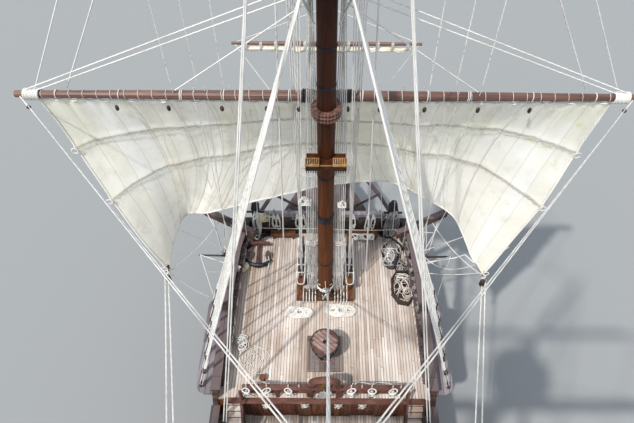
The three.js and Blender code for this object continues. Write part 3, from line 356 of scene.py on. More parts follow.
FINISH = {
    "deck": planked("deck_planks", "X", "Y", 0.118, 6.4, DECK_TONES, PITCH, 0.0095, dirt=(0.2, 0.145, 0.11),
                    wear=0.62),
    "side": planked("side_planks", "X", "Z", 0.26, 6.5, SIDE_TONES, (0.01, 0.008, 0.007), 0.016, sheer=0.0025,
                    dirt=(0.24, 0.19, 0.19), wear=0.4, below=(0.15, BOTTOM), blotch=0.2,
                    cap=(0.12, 0.09, 0.095)),
    "boards_x": planked("grey_boards", "X", "Y", 0.22, 4.0, GREY_TONES, (0.05, 0.045, 0.05), 0.012),
    "door": planked("door_wood", "Z", "Y", 0.17, 4.0, DOOR_TONES, (0.03, 0.01, 0.005), 0.012, blotch=0.15),
    "rail": worn("rail_timber", RAIL_TONES, 2.6, (0.55, 0.85), stretch=(1, 1, 1), speck=(0.28, 0.24, 0.24)),
    "dark": worn("dark_timber", DARK_TONES, 2.2, (0.5, 0.8), speck=(0.13, 0.09, 0.07)),
    "mast": spar_wood("mast_varnish", "Z", MAST_TONES, height_tones=(12.0, 18.5, (0.022, 0.005, 0.003))),
    "yard": spar_wood("yard_varnish", "Y", YARD_TONES, gloss=0.26, specular=0.6),
    "bowsprit": spar_wood("bowsprit_varnish", "X", YARD_TONES, gloss=0.3, specular=0.5),
    "rope": rope_finish("rope", ROPE_TONES),
    "grey_rope": rope_finish("grey_rope", GREY_ROPE_TONES),
    "tarred": rope_finish("tarred_rope", TAR_TONES),
    "iron": worn("iron", IRON_TONES, 6.0, (0.4, 0.7), 0.75, speck=(0.09, 0.04, 0.02)),
    "brass": worn("lantern_metal", shades((0.10, 0.06, 0.015), (0.32, 0.2, 0.06), (0.5, 0.34, 0.13),
                                          at=(0.3, 0.55, 0.8)),
                  5.0, (0.3, 0.55), 0.9),
    "ochre": worn("ochre_paint", shades((0.22, 0.12, 0.03), (0.42, 0.26, 0.08), (0.55, 0.38, 0.15)),
                  4.0, (0.5, 0.75)),
    "block": worn("block_wood", shades((0.012, 0.008, 0.007), (0.03, 0.018, 0.013), (0.085, 0.05, 0.032)),
                  6.0, (0.35, 0.6)),
    "orange": worn("oiled_wood", shades((0.05, 0.016, 0.006), (0.13, 0.045, 0.015), (0.27, 0.115, 0.04)),
                   4.0, (0.45, 0.7), stretch=(0.4, 3, 3)),
    "pale_paint": worn("pale_paint", shades((0.45, 0.33, 0.33), (0.66, 0.54, 0.54), (0.78, 0.7, 0.69)),
                       4.0, (0.5, 0.75)),
    "tread": planked("pale_treads", "Y", "Z", 0.9, 3.0, DECK_TONES, PITCH, 0.01),
    "pink_rope": rope_finish("pink_rope", shades((0.30, 0.19, 0.17), (0.52, 0.38, 0.35), (0.75, 0.66, 0.62),
                                                 at=(0.3, 0.5, 0.72))),
    "yellow_rope": rope_finish("yellow_rope", shades((0.42, 0.36, 0.20), (0.62, 0.56, 0.36),
                                                     (0.8, 0.76, 0.58), at=(0.3, 0.5, 0.72))),
    "anchor_iron": worn("rusty_iron", shades((0.03, 0.016, 0.016), (0.075, 0.042, 0.042),
                                             (0.15, 0.09, 0.085)),
                        5.0, (0.55, 0.8), 0.3, speck=(0.16, 0.06, 0.03)),
    # Black: blackened wood, and also the black pieces that stand as painted shade in holes, slots and gaps.
    "black": worn("blackened_wood_and_painted_shade", shades((0.006, 0.006, 0.007), (0.014, 0.013, 0.014),
                                           (0.04, 0.036, 0.036)),
                  3.0, (0.45, 0.8)),
    "lilac": worn("weathered_grey", shades((0.12, 0.105, 0.12), (0.24, 0.215, 0.24), (0.42, 0.39, 0.42)),
                  2.5, (0.6, 0.85), stretch=(0.5, 2, 2)),
    "pane": worn("window_pane", shades((0.02, 0.03, 0.035), (0.05, 0.065, 0.07), (0.11, 0.13, 0.13)),
                 1.5, (0.08, 0.2), 0.0, 0.001),
}
print("finishes:", len(FINISH))

# %% [markdown]
# ## Sailcloth
# A sail is sewn from vertical cloths about 60 cm wide, with a doubled hem. Rain and the yard's varnish have
# stained its head green and yellow, and dust has settled along the laced seams; the band along each laced
# seam is also painted shade of the crease there. The finish reads the sail's own map, in metres across and
# down from the head, so it follows the cloth wherever the cloth goes.

# %% Canvas finish
SEAM_ROWS = (1.95, 3.72)


def canvas_finish(name, tones, seam_rows=(), stain=0.7, cloth_wide=0.61, dust_and_seam_shade=(0.20, 0.165, 0.14)):
    finish = Finish(name, roughness=0.86)
    finish.shader.inputs["Sheen Weight"].default_value = 0.15
    finish.shader.inputs["Subsurface Weight"].default_value = 0.6
    finish.shader.inputs["Subsurface Radius"].default_value = (1.0, 0.95, 0.85)
    finish.shader.inputs["Subsurface Scale"].default_value = 0.06
    mapped = finish.add("TexCoord", output=2)
    across, down, _ = finish.split(mapped)
    place = finish.place()
    row = finish.math("DIVIDE", across, cloth_wide)
    within = finish.math("FRACT", row)
    sewn = finish.step(finish.math("ABSOLUTE", finish.minus(within, 0.5)), 0.455, 0.485)
    cloth_tone = finish.random(finish.math("FLOOR", row), 2.0, 5.0)
    large = finish.noise(place, 0.55, 5.0, 0.6)
    colour = finish.ramp(finish.plus(finish.times(large, 0.75), finish.times(cloth_tone, 0.25)), tones)
    drawn = finish.add("CombineXYZ", {0: finish.times(across, 2.4), 1: finish.times(down, 0.5)})
    streaky = finish.noise(drawn, 1.0, 5.0, 0.65)
    head = finish.step(down, 0.0, 2.6, 1.0, 0.0)
    green = finish.times(finish.times(head, finish.step(streaky, 0.45, 0.7, 0.0, 0.75)), stain)
    colour = finish.mix(green, colour, (0.42, 0.41, 0.22))
    spread = finish.add("CombineXYZ", {0: finish.times(across, 0.55), 1: finish.times(down, 1.5)})
    spots = finish.noise(spread, 1.0, 6.0, 0.72)
    mould = finish.times(finish.step(spots, 0.61, 0.7, 0.0, 1.0), finish.step(down, 3.6, 4.6, stain, 0.0))
    colour = finish.mix(mould, colour, (0.50, 0.50, 0.13))
    cloudy = finish.step(finish.noise(place, 0.42, 3.0, 0.5), 0.46, 0.62)
    bloom = finish.times(cloudy, finish.step(down, 3.0, 5.0, 0.4, 0.0))
    colour = finish.mix(finish.times(bloom, stain), colour, (0.66, 0.66, 0.40))
    grey = finish.times(finish.step(finish.noise(place, 1.7, 6.0, 0.7), 0.5, 0.72), 0.35 * stain)
    colour = finish.mix(grey, colour, dust_and_seam_shade)
    # Along each laced seam a darker band: dust, and painted shade of the crease the lacing pulls into the
    # cloth.
    for seam_row in seam_rows:
        far = finish.math("ABSOLUTE", finish.minus(down, seam_row))
        ragged = finish.plus(far, finish.times(finish.noise(place, 5.0, 4.0, 0.7), 0.08))
        colour = finish.mix(finish.step(ragged, 0.04, 0.11, 0.62, 0.0), colour, dust_and_seam_shade)
    colour = finish.mix(finish.times(sewn, 0.3), colour, (0.33, 0.30, 0.25))
    weave = finish.add("TexNoise", {"Vector": place, "Scale": 60.0, "Detail": 2.0})
    height = finish.plus(finish.times(weave, 0.3), finish.times(sewn, 0.9))
    return finish.end(colour, None, height, 0.004, 0.5)


CANVAS_TONES = shades((0.72, 0.66, 0.52), (0.84, 0.79, 0.67), (0.90, 0.87, 0.78), at=(0.25, 0.5, 0.75))
FINISH["canvas"] = canvas_finish("canvas", CANVAS_TONES, SEAM_ROWS)
FINISH["furled"] = canvas_finish("furled_canvas", CANVAS_TONES, (), 0.45)
print("canvas finishes ready")

# %% [markdown]
# ## Finishes on the solids
# A solid whose shape is right stays as it is and only gets its finish. The record's slot says which timber
# a node is, and a few nodes take a more exact finish than their slot.

# %% Dress the solids
SLOT_FINISH = {"side_planks": "side", "deck_planks": "deck", "grey_board": "boards_x", "door_wood": "door",
               "dark_timber": "dark", "rail_timber": "rail", "mast_varnish": "mast", "yard_varnish": "yard",
               "canvas": "furled", "rope": "rope", "lantern_metal": "brass", "iron": "iron"}
NODE_FINISH = {"bowsprit": "bowsprit", "capstan": "capstan", "capstan_bed": "bed", "foremast_bitts": "orange",
               "transom": "stern", "main_hatch": "rail", "beakhead": "rail"}
BED_TONES = shades((0.10, 0.075, 0.065), (0.17, 0.13, 0.115), (0.26, 0.21, 0.19), at=(0.0, 0.5, 1.0))
FINISH["bed"] = planked("capstan_bed_wood", "X", "Y", 0.2, 3.0, BED_TONES, (0.03, 0.022, 0.02), 0.01,
                        dirt=(0.07, 0.04, 0.035))
FINISH["red_brown"] = worn("red_brown_timber",
                           shades((0.055, 0.017, 0.012), (0.11, 0.042, 0.03), (0.2, 0.095, 0.075)),
                           4.0, (0.45, 0.7), stretch=(1.0, 0.35, 1.0))
FINISH["ochre_wood"] = worn("ochre_wood", shades((0.22, 0.11, 0.04), (0.36, 0.2, 0.08), (0.5, 0.32, 0.15)),
                            6.0, (0.5, 0.7))
FINISH["stern"] = planked("stern_planks", "Y", "Z", 0.22, 4.0, SIDE_TONES, (0.01, 0.008, 0.007), 0.014)
FINISH["capstan"] = worn("capstan_wood", shades((0.11, 0.065, 0.055), (0.25, 0.165, 0.145),
                                                (0.40, 0.29, 0.26)),
                         3.2, (0.6, 0.85), stretch=(2.5, 0.6, 1))

slots = {}
for name, node in NODES.items():
    found = [s for s in SLOT_FINISH if any(m and m.name.startswith(s) for m in node.data.materials)]
    slots[name] = found[0] if found else None
    finish = FINISH[NODE_FINISH.get(name) or SLOT_FINISH[found[0]]] if found else FINISH["dark"]
    if not node.data.materials:
        node.data.materials.append(finish)
    for place in range(len(node.material_slots)):
        node.material_slots[place].material = finish
print("nodes without a slot:", [name for name, found in slots.items() if not found])

# %% [markdown]
# ## Helpers for shapes
# Most fittings are blocks with broken edges, round bars, balls and rings. Each helper adds one of them to
# an open bmesh with the create_ operators, in the full-size ship's metres, and `piece` turns the whole into
# an object at half size that rides on a body.

# %% Shape helpers
def piece(bm, name, body, finish, nodes=(), smooth=38, recalculate=False):
    if recalculate:
        bmesh.ops.recalc_face_normals(bm, faces=bm.faces)
    bmesh.ops.scale(bm, vec=(MODEL, MODEL, MODEL), verts=bm.verts)
    mesh = bpy.data.meshes.new(name)
    bm.to_mesh(mesh)
    bm.free()
    return place_mesh(mesh, name, body, finish, nodes, smooth)


def place_mesh(mesh, name, body, finish, nodes=(), smooth=38, blend=None):
    mesh.shade_smooth()
    mesh.set_sharp_from_angle(angle=math.radians(smooth))
    mesh.materials.clear()
    mesh.materials.append(FINISH[finish])
    made = bpy.data.objects.new(name, mesh)
    bpy.context.collection.objects.link(made)
    if blend:
        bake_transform(made)
    else:
        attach(made, body)
    if nodes:
        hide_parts(*nodes)
    return made


def break_edges(bm, made, edge):
    """A narrow bevel on the edges of a timber that was just made."""
    if edge:
        edges = list({e for v in made for e in v.link_edges})
        bmesh.ops.bevel(bm, geom=edges, offset=edge, segments=1, profile=0.5, affect="EDGES", material=-1)


def block(bm, low, high, edge=0.02):
    """A squared timber between two corners, with its edges broken."""
    made = bmesh.ops.create_cube(bm, size=1.0)["verts"]
    low, high = Vector(low), Vector(high)
    bmesh.ops.scale(bm, vec=high - low, verts=made)
    bmesh.ops.translate(bm, vec=(low + high) / 2, verts=made)
    break_edges(bm, made, edge)


def aim(direction):
    """The turn that takes +Z to a direction."""
    return Vector(direction).to_track_quat("Z", "Y").to_matrix().to_4x4()


def bar(bm, start, end, thick, thin=None, sides=10):
    """A round bar or a taper from one point to another; thick and thin are radii."""
    start, end = Vector(start), Vector(end)
    thin = thick if thin is None else thin
    length = (end - start).length
    place = Matrix.Translation((start + end) / 2) @ aim(end - start)
    return bmesh.ops.create_cone(bm, cap_ends=True, segments=sides, radius1=thick, radius2=thin, depth=length,
                                 matrix=place)["verts"]


def plank(bm, start, end, wide, deep, up=(0, 0, 1), edge=0.01):
    """A squared timber laid from one point to another."""
    start, end, up = Vector(start), Vector(end), Vector(up)
    along = (end - start).normalized()
    side = up.cross(along).normalized()
    top = along.cross(side)
    turned = Matrix((along, side, top)).transposed().to_4x4()
    made = bmesh.ops.create_cube(bm, size=1.0)["verts"]
    bmesh.ops.scale(bm, vec=((end - start).length, wide, deep), verts=made)
    bmesh.ops.transform(bm, matrix=Matrix.Translation((start + end) / 2) @ turned, verts=made)
    break_edges(bm, made, edge)


def ball(bm, centre, radius, stretch=(1, 1, 1), direction=(0, 0, 1), sides=8):
    place = Matrix.Translation(centre) @ aim(direction) @ Matrix.Diagonal((*stretch, 1))
    return bmesh.ops.create_uvsphere(bm, u_segments=sides, v_segments=max(4, sides - 2), radius=radius,
                                     matrix=place)["verts"]


def ring(bm, centre, radius, thick, direction=(0, 0, 1), sides=20, around=6):
    """A ring: a small circle spun round an axis."""
    place = Matrix.Translation((radius, 0, 0)) @ Matrix.Rotation(math.pi / 2, 4, "X")
    made = bmesh.ops.create_circle(bm, segments=around, radius=thick, matrix=place)["verts"]
    edges = list({e for v in made for e in v.link_edges})
    earlier = set(bm.verts)
    bmesh.ops.spin(bm, geom=made + edges, cent=(0, 0, 0), axis=(0, 0, 1), angle=2 * math.pi, steps=sides,
                   use_merge=True)
    whole = made + [v for v in bm.verts if v not in earlier]
    bmesh.ops.transform(bm, matrix=Matrix.Translation(centre) @ aim(direction), verts=whole)
    bmesh.ops.recalc_face_normals(bm, faces=list({f for v in whole for f in v.link_faces}))


def angles(sides, count):
    """Angles in even steps round a circle of so many sides."""
    return [2 * math.pi * k / sides for k in range(count)]


def both():
    """Port and starboard, with the ending that a piece's name gets."""
    return [(1, "port"), (-1, "starboard")]


print("helpers ready")

# %% [markdown]
# ## Rope
# A rope is a curve with a round bevel: the curve gives each rope a map along its length, on which the
# strands of its lay are drawn. Many ropes of one kind are one curve object, made a mesh at the end.

# %% Rope helper
def ropes(name, paths, radius, body="hull", finish="rope", sides=1, blend=None, nodes=()):
    """Ropes along lists of points, as one piece. sides 0 gives four-sided ropes, 1 six-sided."""
    data = bpy.data.curves.new(name, "CURVE")
    data.dimensions = "3D"
    data.bevel_depth = radius * MODEL
    data.bevel_resolution = sides
    data.use_fill_caps = True
    for path in paths:
        line = data.splines.new("POLY")
        line.points.add(len(path) - 1)
        for point, at in zip(line.points, path):
            point.co = (*(Vector(at) * MODEL), 1)
    holder = bpy.data.objects.new(name + "_line", data)
    bpy.context.collection.objects.link(holder)
    bpy.context.view_layer.update()
    mesh = bpy.data.meshes.new_from_object(holder.evaluated_get(bpy.context.evaluated_depsgraph_get()))
    bpy.data.objects.remove(holder)
    mesh.name = name
    return place_mesh(mesh, name, body, finish, nodes=nodes, smooth=80, blend=blend)


def sagging(start, end, sag=0.03, steps=8):
    """Points from start to end that hang down by a share of the length."""
    start, end = Vector(start), Vector(end)
    drop = (end - start).length * sag
    return [start.lerp(end, i / steps) + Vector((0, 0, -1)) * drop * 4 * (i / steps) * (1 - i / steps)
            for i in range(steps + 1)]


print("rope helper ready")

# %% [markdown]
# ## The fore course
# The fore course is the big square sail in the picture: set, with its two laced bonnets below it, and held
# aft at its clews. A grid is the natural start for cloth. Its points are moved to the curves of the leeches,
# the middle and the foot, and then gathers and creases are pressed in where the robbands and clews pull.

# %% Cloth with its own map
def cloth(columns, rows, wide, tall):
    """A grid with a map in metres: across from the left, and down from the head."""
    bm = bmesh.new()
    mapped = bm.loops.layers.uv.new("map")
    bmesh.ops.create_grid(bm, x_segments=columns, y_segments=rows, size=0.5)
    for face in bm.faces:
        for loop in face.loops:
            loop[mapped].uv = ((loop.vert.co.x + 0.5) * wide, (0.5 - loop.vert.co.y) * tall)
    return bm


def curve_at(knots, values, at):
    """A smooth curve through a few values, as a sailmaker's batten gives it."""
    last = len(knots) - 2
    i = max(0, min(last, sum(at >= knot for knot in knots[1:])))
    wide = knots[i + 1] - knots[i]

    def slope(k):
        if k == 0 or k == len(knots) - 1:
            k0 = min(max(k - 1, 0), last)
            return (values[k0 + 1] - values[k0]) / (knots[k0 + 1] - knots[k0])
        return (values[k + 1] - values[k - 1]) / (knots[k + 1] - knots[k - 1])
    t = (at - knots[i]) / wide
    return ((2 * t**3 - 3 * t**2 + 1) * values[i] + (t**3 - 2 * t**2 + t) * wide * slope(i)
            + (3 * t**2 - 2 * t**3) * values[i + 1] + (t**3 - t**2) * wide * slope(i + 1))


# %% The fore course's curves
DOWN = (0.0, 0.33, 0.62, 1.0)
LEECH_X = (12.1, 11.9, 11.1, 10.3)
LEECH_Y = (8.26, 7.87, 7.06, 5.86)
LEECH_Z = (15.9, 13.7, 11.7, 9.18)
MIDDLE_X = (12.1, 12.9, 13.5, 13.7)
MIDDLE_Z = (15.83, 14.26, 12.5, 10.3)
FOOT_Y = (-5.86, -5.45, -5.14, -4.88, -4.42, -3.82, -2.67, -0.73, 1.07, 2.82, 4.34, 5.02, 5.5, 5.76, 5.87,
          5.88)
FOOT_X = (10.3, 10.89, 11.93, 12.43, 12.69, 13.03, 13.71, 13.65, 13.24, 12.71, 12.39, 12.52, 12.62, 12.2,
          11.3, 10.3)
FOOT_Z = (9.18, 9.5, 9.78, 9.94, 10.11, 10.25, 10.34, 10.35, 10.35, 10.33, 10.12, 9.88, 9.6, 9.4, 9.26, 9.18)
SAIL_WIDE, SAIL_TALL = 16.5, 6.6
COLUMNS, ROWS = 150, 54
CANVAS_THICK = 0.016


def course_row(u, v):
    """The plain form of the sail: u from -1 starboard to 1 port, v from 0 at the head to 1 at the foot."""
    side = abs(u)
    x = curve_at(DOWN, MIDDLE_X, v) * (1 - side**2.3) + curve_at(DOWN, LEECH_X, v) * side**2.3
    z = curve_at(DOWN, MIDDLE_Z, v) * (1 - side**5) + curve_at(DOWN, LEECH_Z, v) * side**5
    return Vector((x, u * curve_at(DOWN, LEECH_Y, v), z))


def course_foot(u):
    """The foot as it hangs between the clews, from the measured places along it."""
    knots = [i / (len(FOOT_Y) - 1) * 2 - 1 for i in range(len(FOOT_Y))]
    return Vector(tuple(curve_at(knots, values, u) for values in (FOOT_X, FOOT_Y, FOOT_Z)))


def course_at(u, v):
    """A point of the finished sail: its plain form with belly, folds, gathers and creases."""
    plain = course_row(u, v)
    pull = course_foot(u) - course_row(u, 1.0)
    at = plain + pull * v**2.4
    side = 1 - abs(u)
    gathers = 0.045 * math.sin(u * 118) * math.exp(-v * 9) + 0.02 * math.sin(u * 61 + 1.3) * math.exp(-v * 4)
    folds = 0.06 * noise.noise((u * 9, v * 1.6, 2.0)) + 0.035 * noise.noise((u * 24, v * 2.2, 5.0))
    corner = math.exp(-((side / 0.16) ** 2)) * v
    creases = 0.05 * corner * math.sin((side * 46 - (1 - v) * 13) + u)
    laced = 0.0
    for row in SEAM_ROWS:
        laced += 0.05 * math.exp(-(((v - row / SAIL_TALL) / 0.018) ** 2))
    belly = 0.10 * math.sin(math.pi * u * 2.5 + 0.8) * math.sin(math.pi * v)
    head = min(1.0, v * 7)
    at.x += (folds + belly) * head + gathers + creases - laced
    at.z += 0.02 * noise.noise((u * 14, v * 4, 8.0)) * head - 0.06 * (1 - head) * abs(math.sin(u * 59))
    return at


# %% Cut, hang and crease the fore course
course = cloth(COLUMNS, ROWS, SAIL_WIDE, SAIL_TALL)
for vert in course.verts:
    vert.co = course_at(-2 * vert.co.x, 0.5 - vert.co.y) + Vector((0.02, 0, 0))
bmesh.ops.recalc_face_normals(course, faces=course.faces)
course_area = sum(face.calc_area() for face in course.faces) * MODEL**2
bmesh.ops.solidify(course, geom=course.faces[:], thickness=CANVAS_THICK)
fore_course = piece(course, "fore_course_sail", "fore_yard", "canvas", nodes=["fore_course"], smooth=60)
print("fore course area:", round(course_area, 2))

# %% [markdown]
# ## Bolt ropes, lacings and cringles of the sail
# A bolt rope is sewn all round a sail and takes the strain. The bonnets are laced on with short loops, and
# cringles stand on the leeches where the bowlines pull. They follow the same curves as the cloth.

# %% Bolt rope, lacings and cringles
def course_line(points, off=0.03):
    return [course_at(u, v) - Vector((off, 0, 0)) for u, v in points]


LEECH_STEPS, FOOT_STEPS, LACINGS = 48, 70, 150
edge_lines = [course_line([(side * 0.999, i / LEECH_STEPS) for i in range(LEECH_STEPS + 1)], 0.0)
              for side, _ in both()]
for v in (1.0, 0.004):
    edge_lines.append(course_line([(i / FOOT_STEPS * 2 - 1, v) for i in range(FOOT_STEPS + 1)], 0.0))
ropes("fore_course_bolt_rope", edge_lines, 0.035, "fore_yard")
lacings = []
for row in SEAM_ROWS:
    v = row / SAIL_TALL
    zigzag = [(i / LACINGS * 1.96 - 0.98, v + (0.004 if i % 2 else -0.004)) for i in range(LACINGS + 1)]
    lacings.append(course_line(zigzag, 0.05))
ropes("bonnet_lacings", lacings, 0.011, "fore_yard", "grey_rope", sides=0)

CRINGLE = 0.11
cringles = []
for side, _ in both():
    for v in (0.30, 0.56, 0.985):
        cringles.append([course_at(side, v) + Vector((-0.06, side * (0.02 + CRINGLE * math.sin(a)),
                                                      CRINGLE * math.cos(a)))
                         for a in [k * math.pi / 5 for k in range(11)]])
ropes("cringles", cringles, 0.022, "fore_yard")

# %% [markdown]
# ## Robbands and gaskets on the fore yard
# The head of the sail is tied to the yard with robbands, a turn of line in every eyelet. The white gaskets
# for furling hang in short coils on the yard, and the earings wrap its arms. All are rope, wound by circles.

# %% Robbands, gaskets and earings
# Each yard: its x, its height, half its length, its radius in the middle and at its ends.
YARD = {"fore_yard": (12.1, 16.0, 8.9, 0.165, 0.1), "main_yard": (-0.34, 19.6, 10.4, 0.19, 0.11),
        "fore_topsail_yard": (12.52, 23.3, 4.8, 0.12, 0.07),
        "main_topsail_yard": (0.04, 27.5, 5.8, 0.13, 0.08)}


def yard_radius(name, y):
    _, _, half, thick, thin = YARD[name]
    return thick + (thin - thick) * abs(y) / half


def wrap(name, y, extra=0.0, turns=1, pitch=0.05, tail=0.0, lean=0.0, steps=9):
    """Turns of line round a yard at y, with a short tail below."""
    x, z, *_ = YARD[name]
    radius = yard_radius(name, y) + extra
    points = []
    for i in range(turns * steps + 1):
        a = 2 * math.pi * i / steps
        sideways = y + pitch * i / steps + lean * math.sin(a)
        points.append(Vector((x + radius * math.cos(a), sideways, z + radius * math.sin(a))))
    if tail:
        points.append(points[-1] + Vector((0.03, 0.01, -tail)))
    return points


ROBBANDS, ROBBAND_REACH, COLLAR_GAP = 42, 8.1, 0.55
chance = random.Random(11)
bands, passes = [], []
for i in range(ROBBANDS):
    y = -ROBBAND_REACH + i * 2 * ROBBAND_REACH / (ROBBANDS - 1)
    if abs(y) >= COLLAR_GAP:
        bands.append(wrap("fore_yard", y, 0.014, 1, 0.03, tail=0.14 + 0.1 * chance.random(), lean=0.02))
ropes("robbands", bands, 0.009, "fore_yard", sides=0)
for side, _ in both():
    for at, turns in ((7.7, 1), (5.9, 1), (4.1, 2), (2.9, 1), (1.05, 1)):
        passes.append(wrap("fore_yard", side * at, 0.02, turns, 0.05))
ropes("yard_lashings", passes, 0.016, "fore_yard")
arms = [wrap("fore_yard", side * 8.42 - 0.22, 0.045, 8, 0.055) for side, _ in both()]
ropes("yardarm_lashings", arms, 0.034, "fore_yard")

# %% [markdown]
# ## Furled sails
# The other sails are furled: gathered into long rolls on their yards and lashed with gaskets. Each starts
# as a cloth grid that is wrapped round its own length; ridges along it make the folds, each gasket pinches
# it, and it sags a little between them.

# %% Roll a sail up
def roll_axes(start, end):
    """The ends of a roll as vectors, with the ways along it, up and across."""
    start, end = Vector(start), Vector(end)
    along = (end - start).normalized()
    up = Vector((0, 0, 1)) - along * along.z
    up.normalize()
    return start, end, along, up, along.cross(up)


def furled_roll(name, node, body, start, end, thick, thin, gaskets, seed, share=0.5, sag=0.12, flat=0.8,
                gap=None):
    """A sail rolled up between two points; thick and thin are its radii, share says where it is thickest."""
    start, end, along, up, side = roll_axes(start, end)
    length = (end - start).length
    roll = cloth(int(length * 9), 22, length, 1.8)
    for vert in roll.verts:
        t, w = vert.co.x + 0.5, vert.co.y + 0.5
        a = 2 * math.pi * w
        middle = 1 - abs(t - share) / max(share, 1 - share)
        radius = thin + (thick - thin) * middle
        near = min(abs(t - at) * length for at in gaskets)
        pinch = 0.74 + 0.26 * min(1.0, near / 0.32) ** 0.7
        close = min(1.0, min(t, 1 - t) * length / 0.35) ** 0.5
        ridge = (0.13 * math.sin(a * 5 + 7 * noise.noise((t * length * 0.35, seed, 0)))
                 + 0.10 * noise.noise((math.cos(a) * 2.2, math.sin(a) * 2.2, t * length * 0.9 + seed))
                 + 0.06 * noise.noise((math.cos(a) * 5, math.sin(a) * 5, t * length * 2.6 + seed)))
        r = radius * pinch * close * (1 + ridge)
        hang = sag * radius * min(1.0, near / 0.45) * noise.noise((t * length * 0.7, seed, 9.0))
        height = r * math.sin(a) * (flat if math.sin(a) < 0 else 1.0) - abs(hang)
        vert.co = start.lerp(end, t) + side * (r * math.cos(a)) + up * height
    bmesh.ops.remove_doubles(roll, verts=roll.verts, dist=0.0004)
    if gap:
        centre = start.lerp(end, share)
        for sign in (1, -1):
            whole = roll.verts[:] + roll.edges[:] + roll.faces[:]
            bmesh.ops.bisect_plane(roll, geom=whole, plane_co=centre + along * gap * sign, plane_no=along)
        inside = [f for f in roll.faces if abs((f.calc_center_median() - centre).dot(along)) < gap]
        bmesh.ops.delete(roll, geom=inside, context="FACES")
        bmesh.ops.holes_fill(roll, edges=[e for e in roll.edges if e.is_boundary], sides=80)
    made = piece(roll, name, body, "furled", nodes=[node], smooth=70, recalculate=True)
    return made


GASKET_TURNS = 3


def roll_gaskets(name, body, start, end, gaskets, thick, thin, below):
    """Turns of line that hold a roll to its yard, which lies the given drop below or above it."""
    start, end, along, up, side = roll_axes(start, end)
    paths = []
    for at in gaskets:
        middle = 1 - abs(at - 0.5) / 0.5
        radius = (thin + (thick - thin) * middle) * 0.84
        centre = start.lerp(end, at)
        turns = []
        for i in range(GASKET_TURNS * 14 + 1):
            a = 2 * math.pi * i / 14
            high = math.sin(a) * radius * 1.05 + (below if math.sin(a) * below > 0 else 0)
            turns.append(centre + along * (0.05 * i / 14 - 0.07) + side * math.cos(a) * radius * 1.08
                         + up * high)
        paths.append(turns)
    return ropes(name, paths, 0.018, body)


def spaced(count, low=0.03, high=0.97):
    """Even places along a roll, as shares of its length."""
    return [low + (high - low) * i / (count - 1) for i in range(count)]


FURLED = (("main_course", "main_yard", 0.9, 0.27, 0.13, 22, 3.0),
          ("fore_topsail", "fore_topsail_yard", 0.86, 0.18, 0.09, 13, 5.0),
          ("main_topsail", "main_topsail_yard", 0.86, 0.2, 0.1, 15, 8.0))
for sail, yard, reach, thick, thin, count, seed in FURLED:
    x, z, half, yard_thick, _ = YARD[yard]
    end = half * reach
    roll_z = z + yard_thick * 0.8 + thick
    places = spaced(count)
    ends = (x + 0.02, -end, roll_z), (x + 0.02, end, roll_z)
    furled_roll(sail + "_furled", sail, yard, *ends, thick, thin, places, seed, sag=0.3, flat=0.55, gap=0.5)
    off_mast = [p for p in places if abs(p - 0.5) * 2 * end > 0.6]
    roll_gaskets(sail + "_gaskets", yard, *ends, off_mast, thick * 1.12, thin * 1.12, -yard_thick * 1.6)
    print(sail, "furled")

# %% [markdown]
# ## The spritsail, brailed up under its yard
# The spritsail hangs under its yard in cream festoons between the gaskets, fuller on one side, where a
# bunch of it has slipped down. It is rolled like the others, with a longer sag.

# %% Spritsail
SPRIT_X, SPRIT_HALF, SPRIT_THICK = 24.7, 5.2, 0.13
BOWSPRIT_RISE = math.radians(17)
BOWSPRIT_SLOPE = math.tan(BOWSPRIT_RISE)
BULKHEAD_X, BOWSPRIT_OVER_BULKHEAD = 14.6, 6.35
BOWSPRIT_HEEL_X, BOWSPRIT_TIP_X = 12.35, 27.5


def bowsprit_at(x):
    return Vector((x, 0, BOWSPRIT_OVER_BULKHEAD + (x - BULKHEAD_X) * BOWSPRIT_SLOPE))


def bowsprit_radius(x):
    return 0.28 + (0.13 - 0.28) * (x - BOWSPRIT_HEEL_X) / (BOWSPRIT_TIP_X - BOWSPRIT_HEEL_X)


under_bowsprit = bowsprit_at(SPRIT_X).z - bowsprit_radius(SPRIT_X) / math.cos(BOWSPRIT_RISE)
SPRIT_Z = under_bowsprit - 0.0008 - 0.035 - SPRIT_THICK
sprit_roll_z = SPRIT_Z - SPRIT_THICK * 0.8 - 0.2
sprit_end = SPRIT_HALF * 0.9
sprit_places = spaced(12)
sprit_ends = (SPRIT_X, -sprit_end, sprit_roll_z), (SPRIT_X, sprit_end, sprit_roll_z)
furled_roll("spritsail_brailed", "spritsail", "spritsail_yard", *sprit_ends, 0.2, 0.13, sprit_places, 13.0,
            sag=1.6, flat=1.1)
roll_gaskets("spritsail_gaskets", "spritsail_yard", *sprit_ends, sprit_places, 0.2, 0.13, 0.26)

# %% [markdown]
# ## The lateen on the mizzen
# The mizzen sail is furled under its slanting yard on the port side of the mast, lashed every metre or so.

# %% Lateen sail
LATEEN_LOW, LATEEN_HIGH = (-5.6, 9.6), (-17.6, 20.2)
FOREMAST_X, MAINMAST_X, MIZZEN_X = 11.5, -1.0, -10.4
lateen_share = (MIZZEN_X + 5.6) / (-17.6 + 5.6)
lateen_z = LATEEN_LOW[1] + (LATEEN_HIGH[1] - LATEEN_LOW[1]) * lateen_share
# Each mast: its foot, its head, and its radius at the foot and at the head.
FOREMAST, MAINMAST = (3.1, 22.8, 0.31, 0.24), (3.1, 26.9, 0.37, 0.28)
MIZZEN = (5.6, 20.5, 0.24, 0.12)


def mast_radius(mast, z):
    foot, head, thick, thin = mast
    return thick + (thin - thick) * (z - foot) / (head - foot)


lateen_y = mast_radius(MIZZEN, lateen_z) + 0.15 + 0.1


def on_lateen(share, drop=0.0):
    return Vector((LATEEN_LOW[0] + (LATEEN_HIGH[0] - LATEEN_LOW[0]) * share, lateen_y,
                   LATEEN_LOW[1] + (LATEEN_HIGH[1] - LATEEN_LOW[1]) * share - drop))


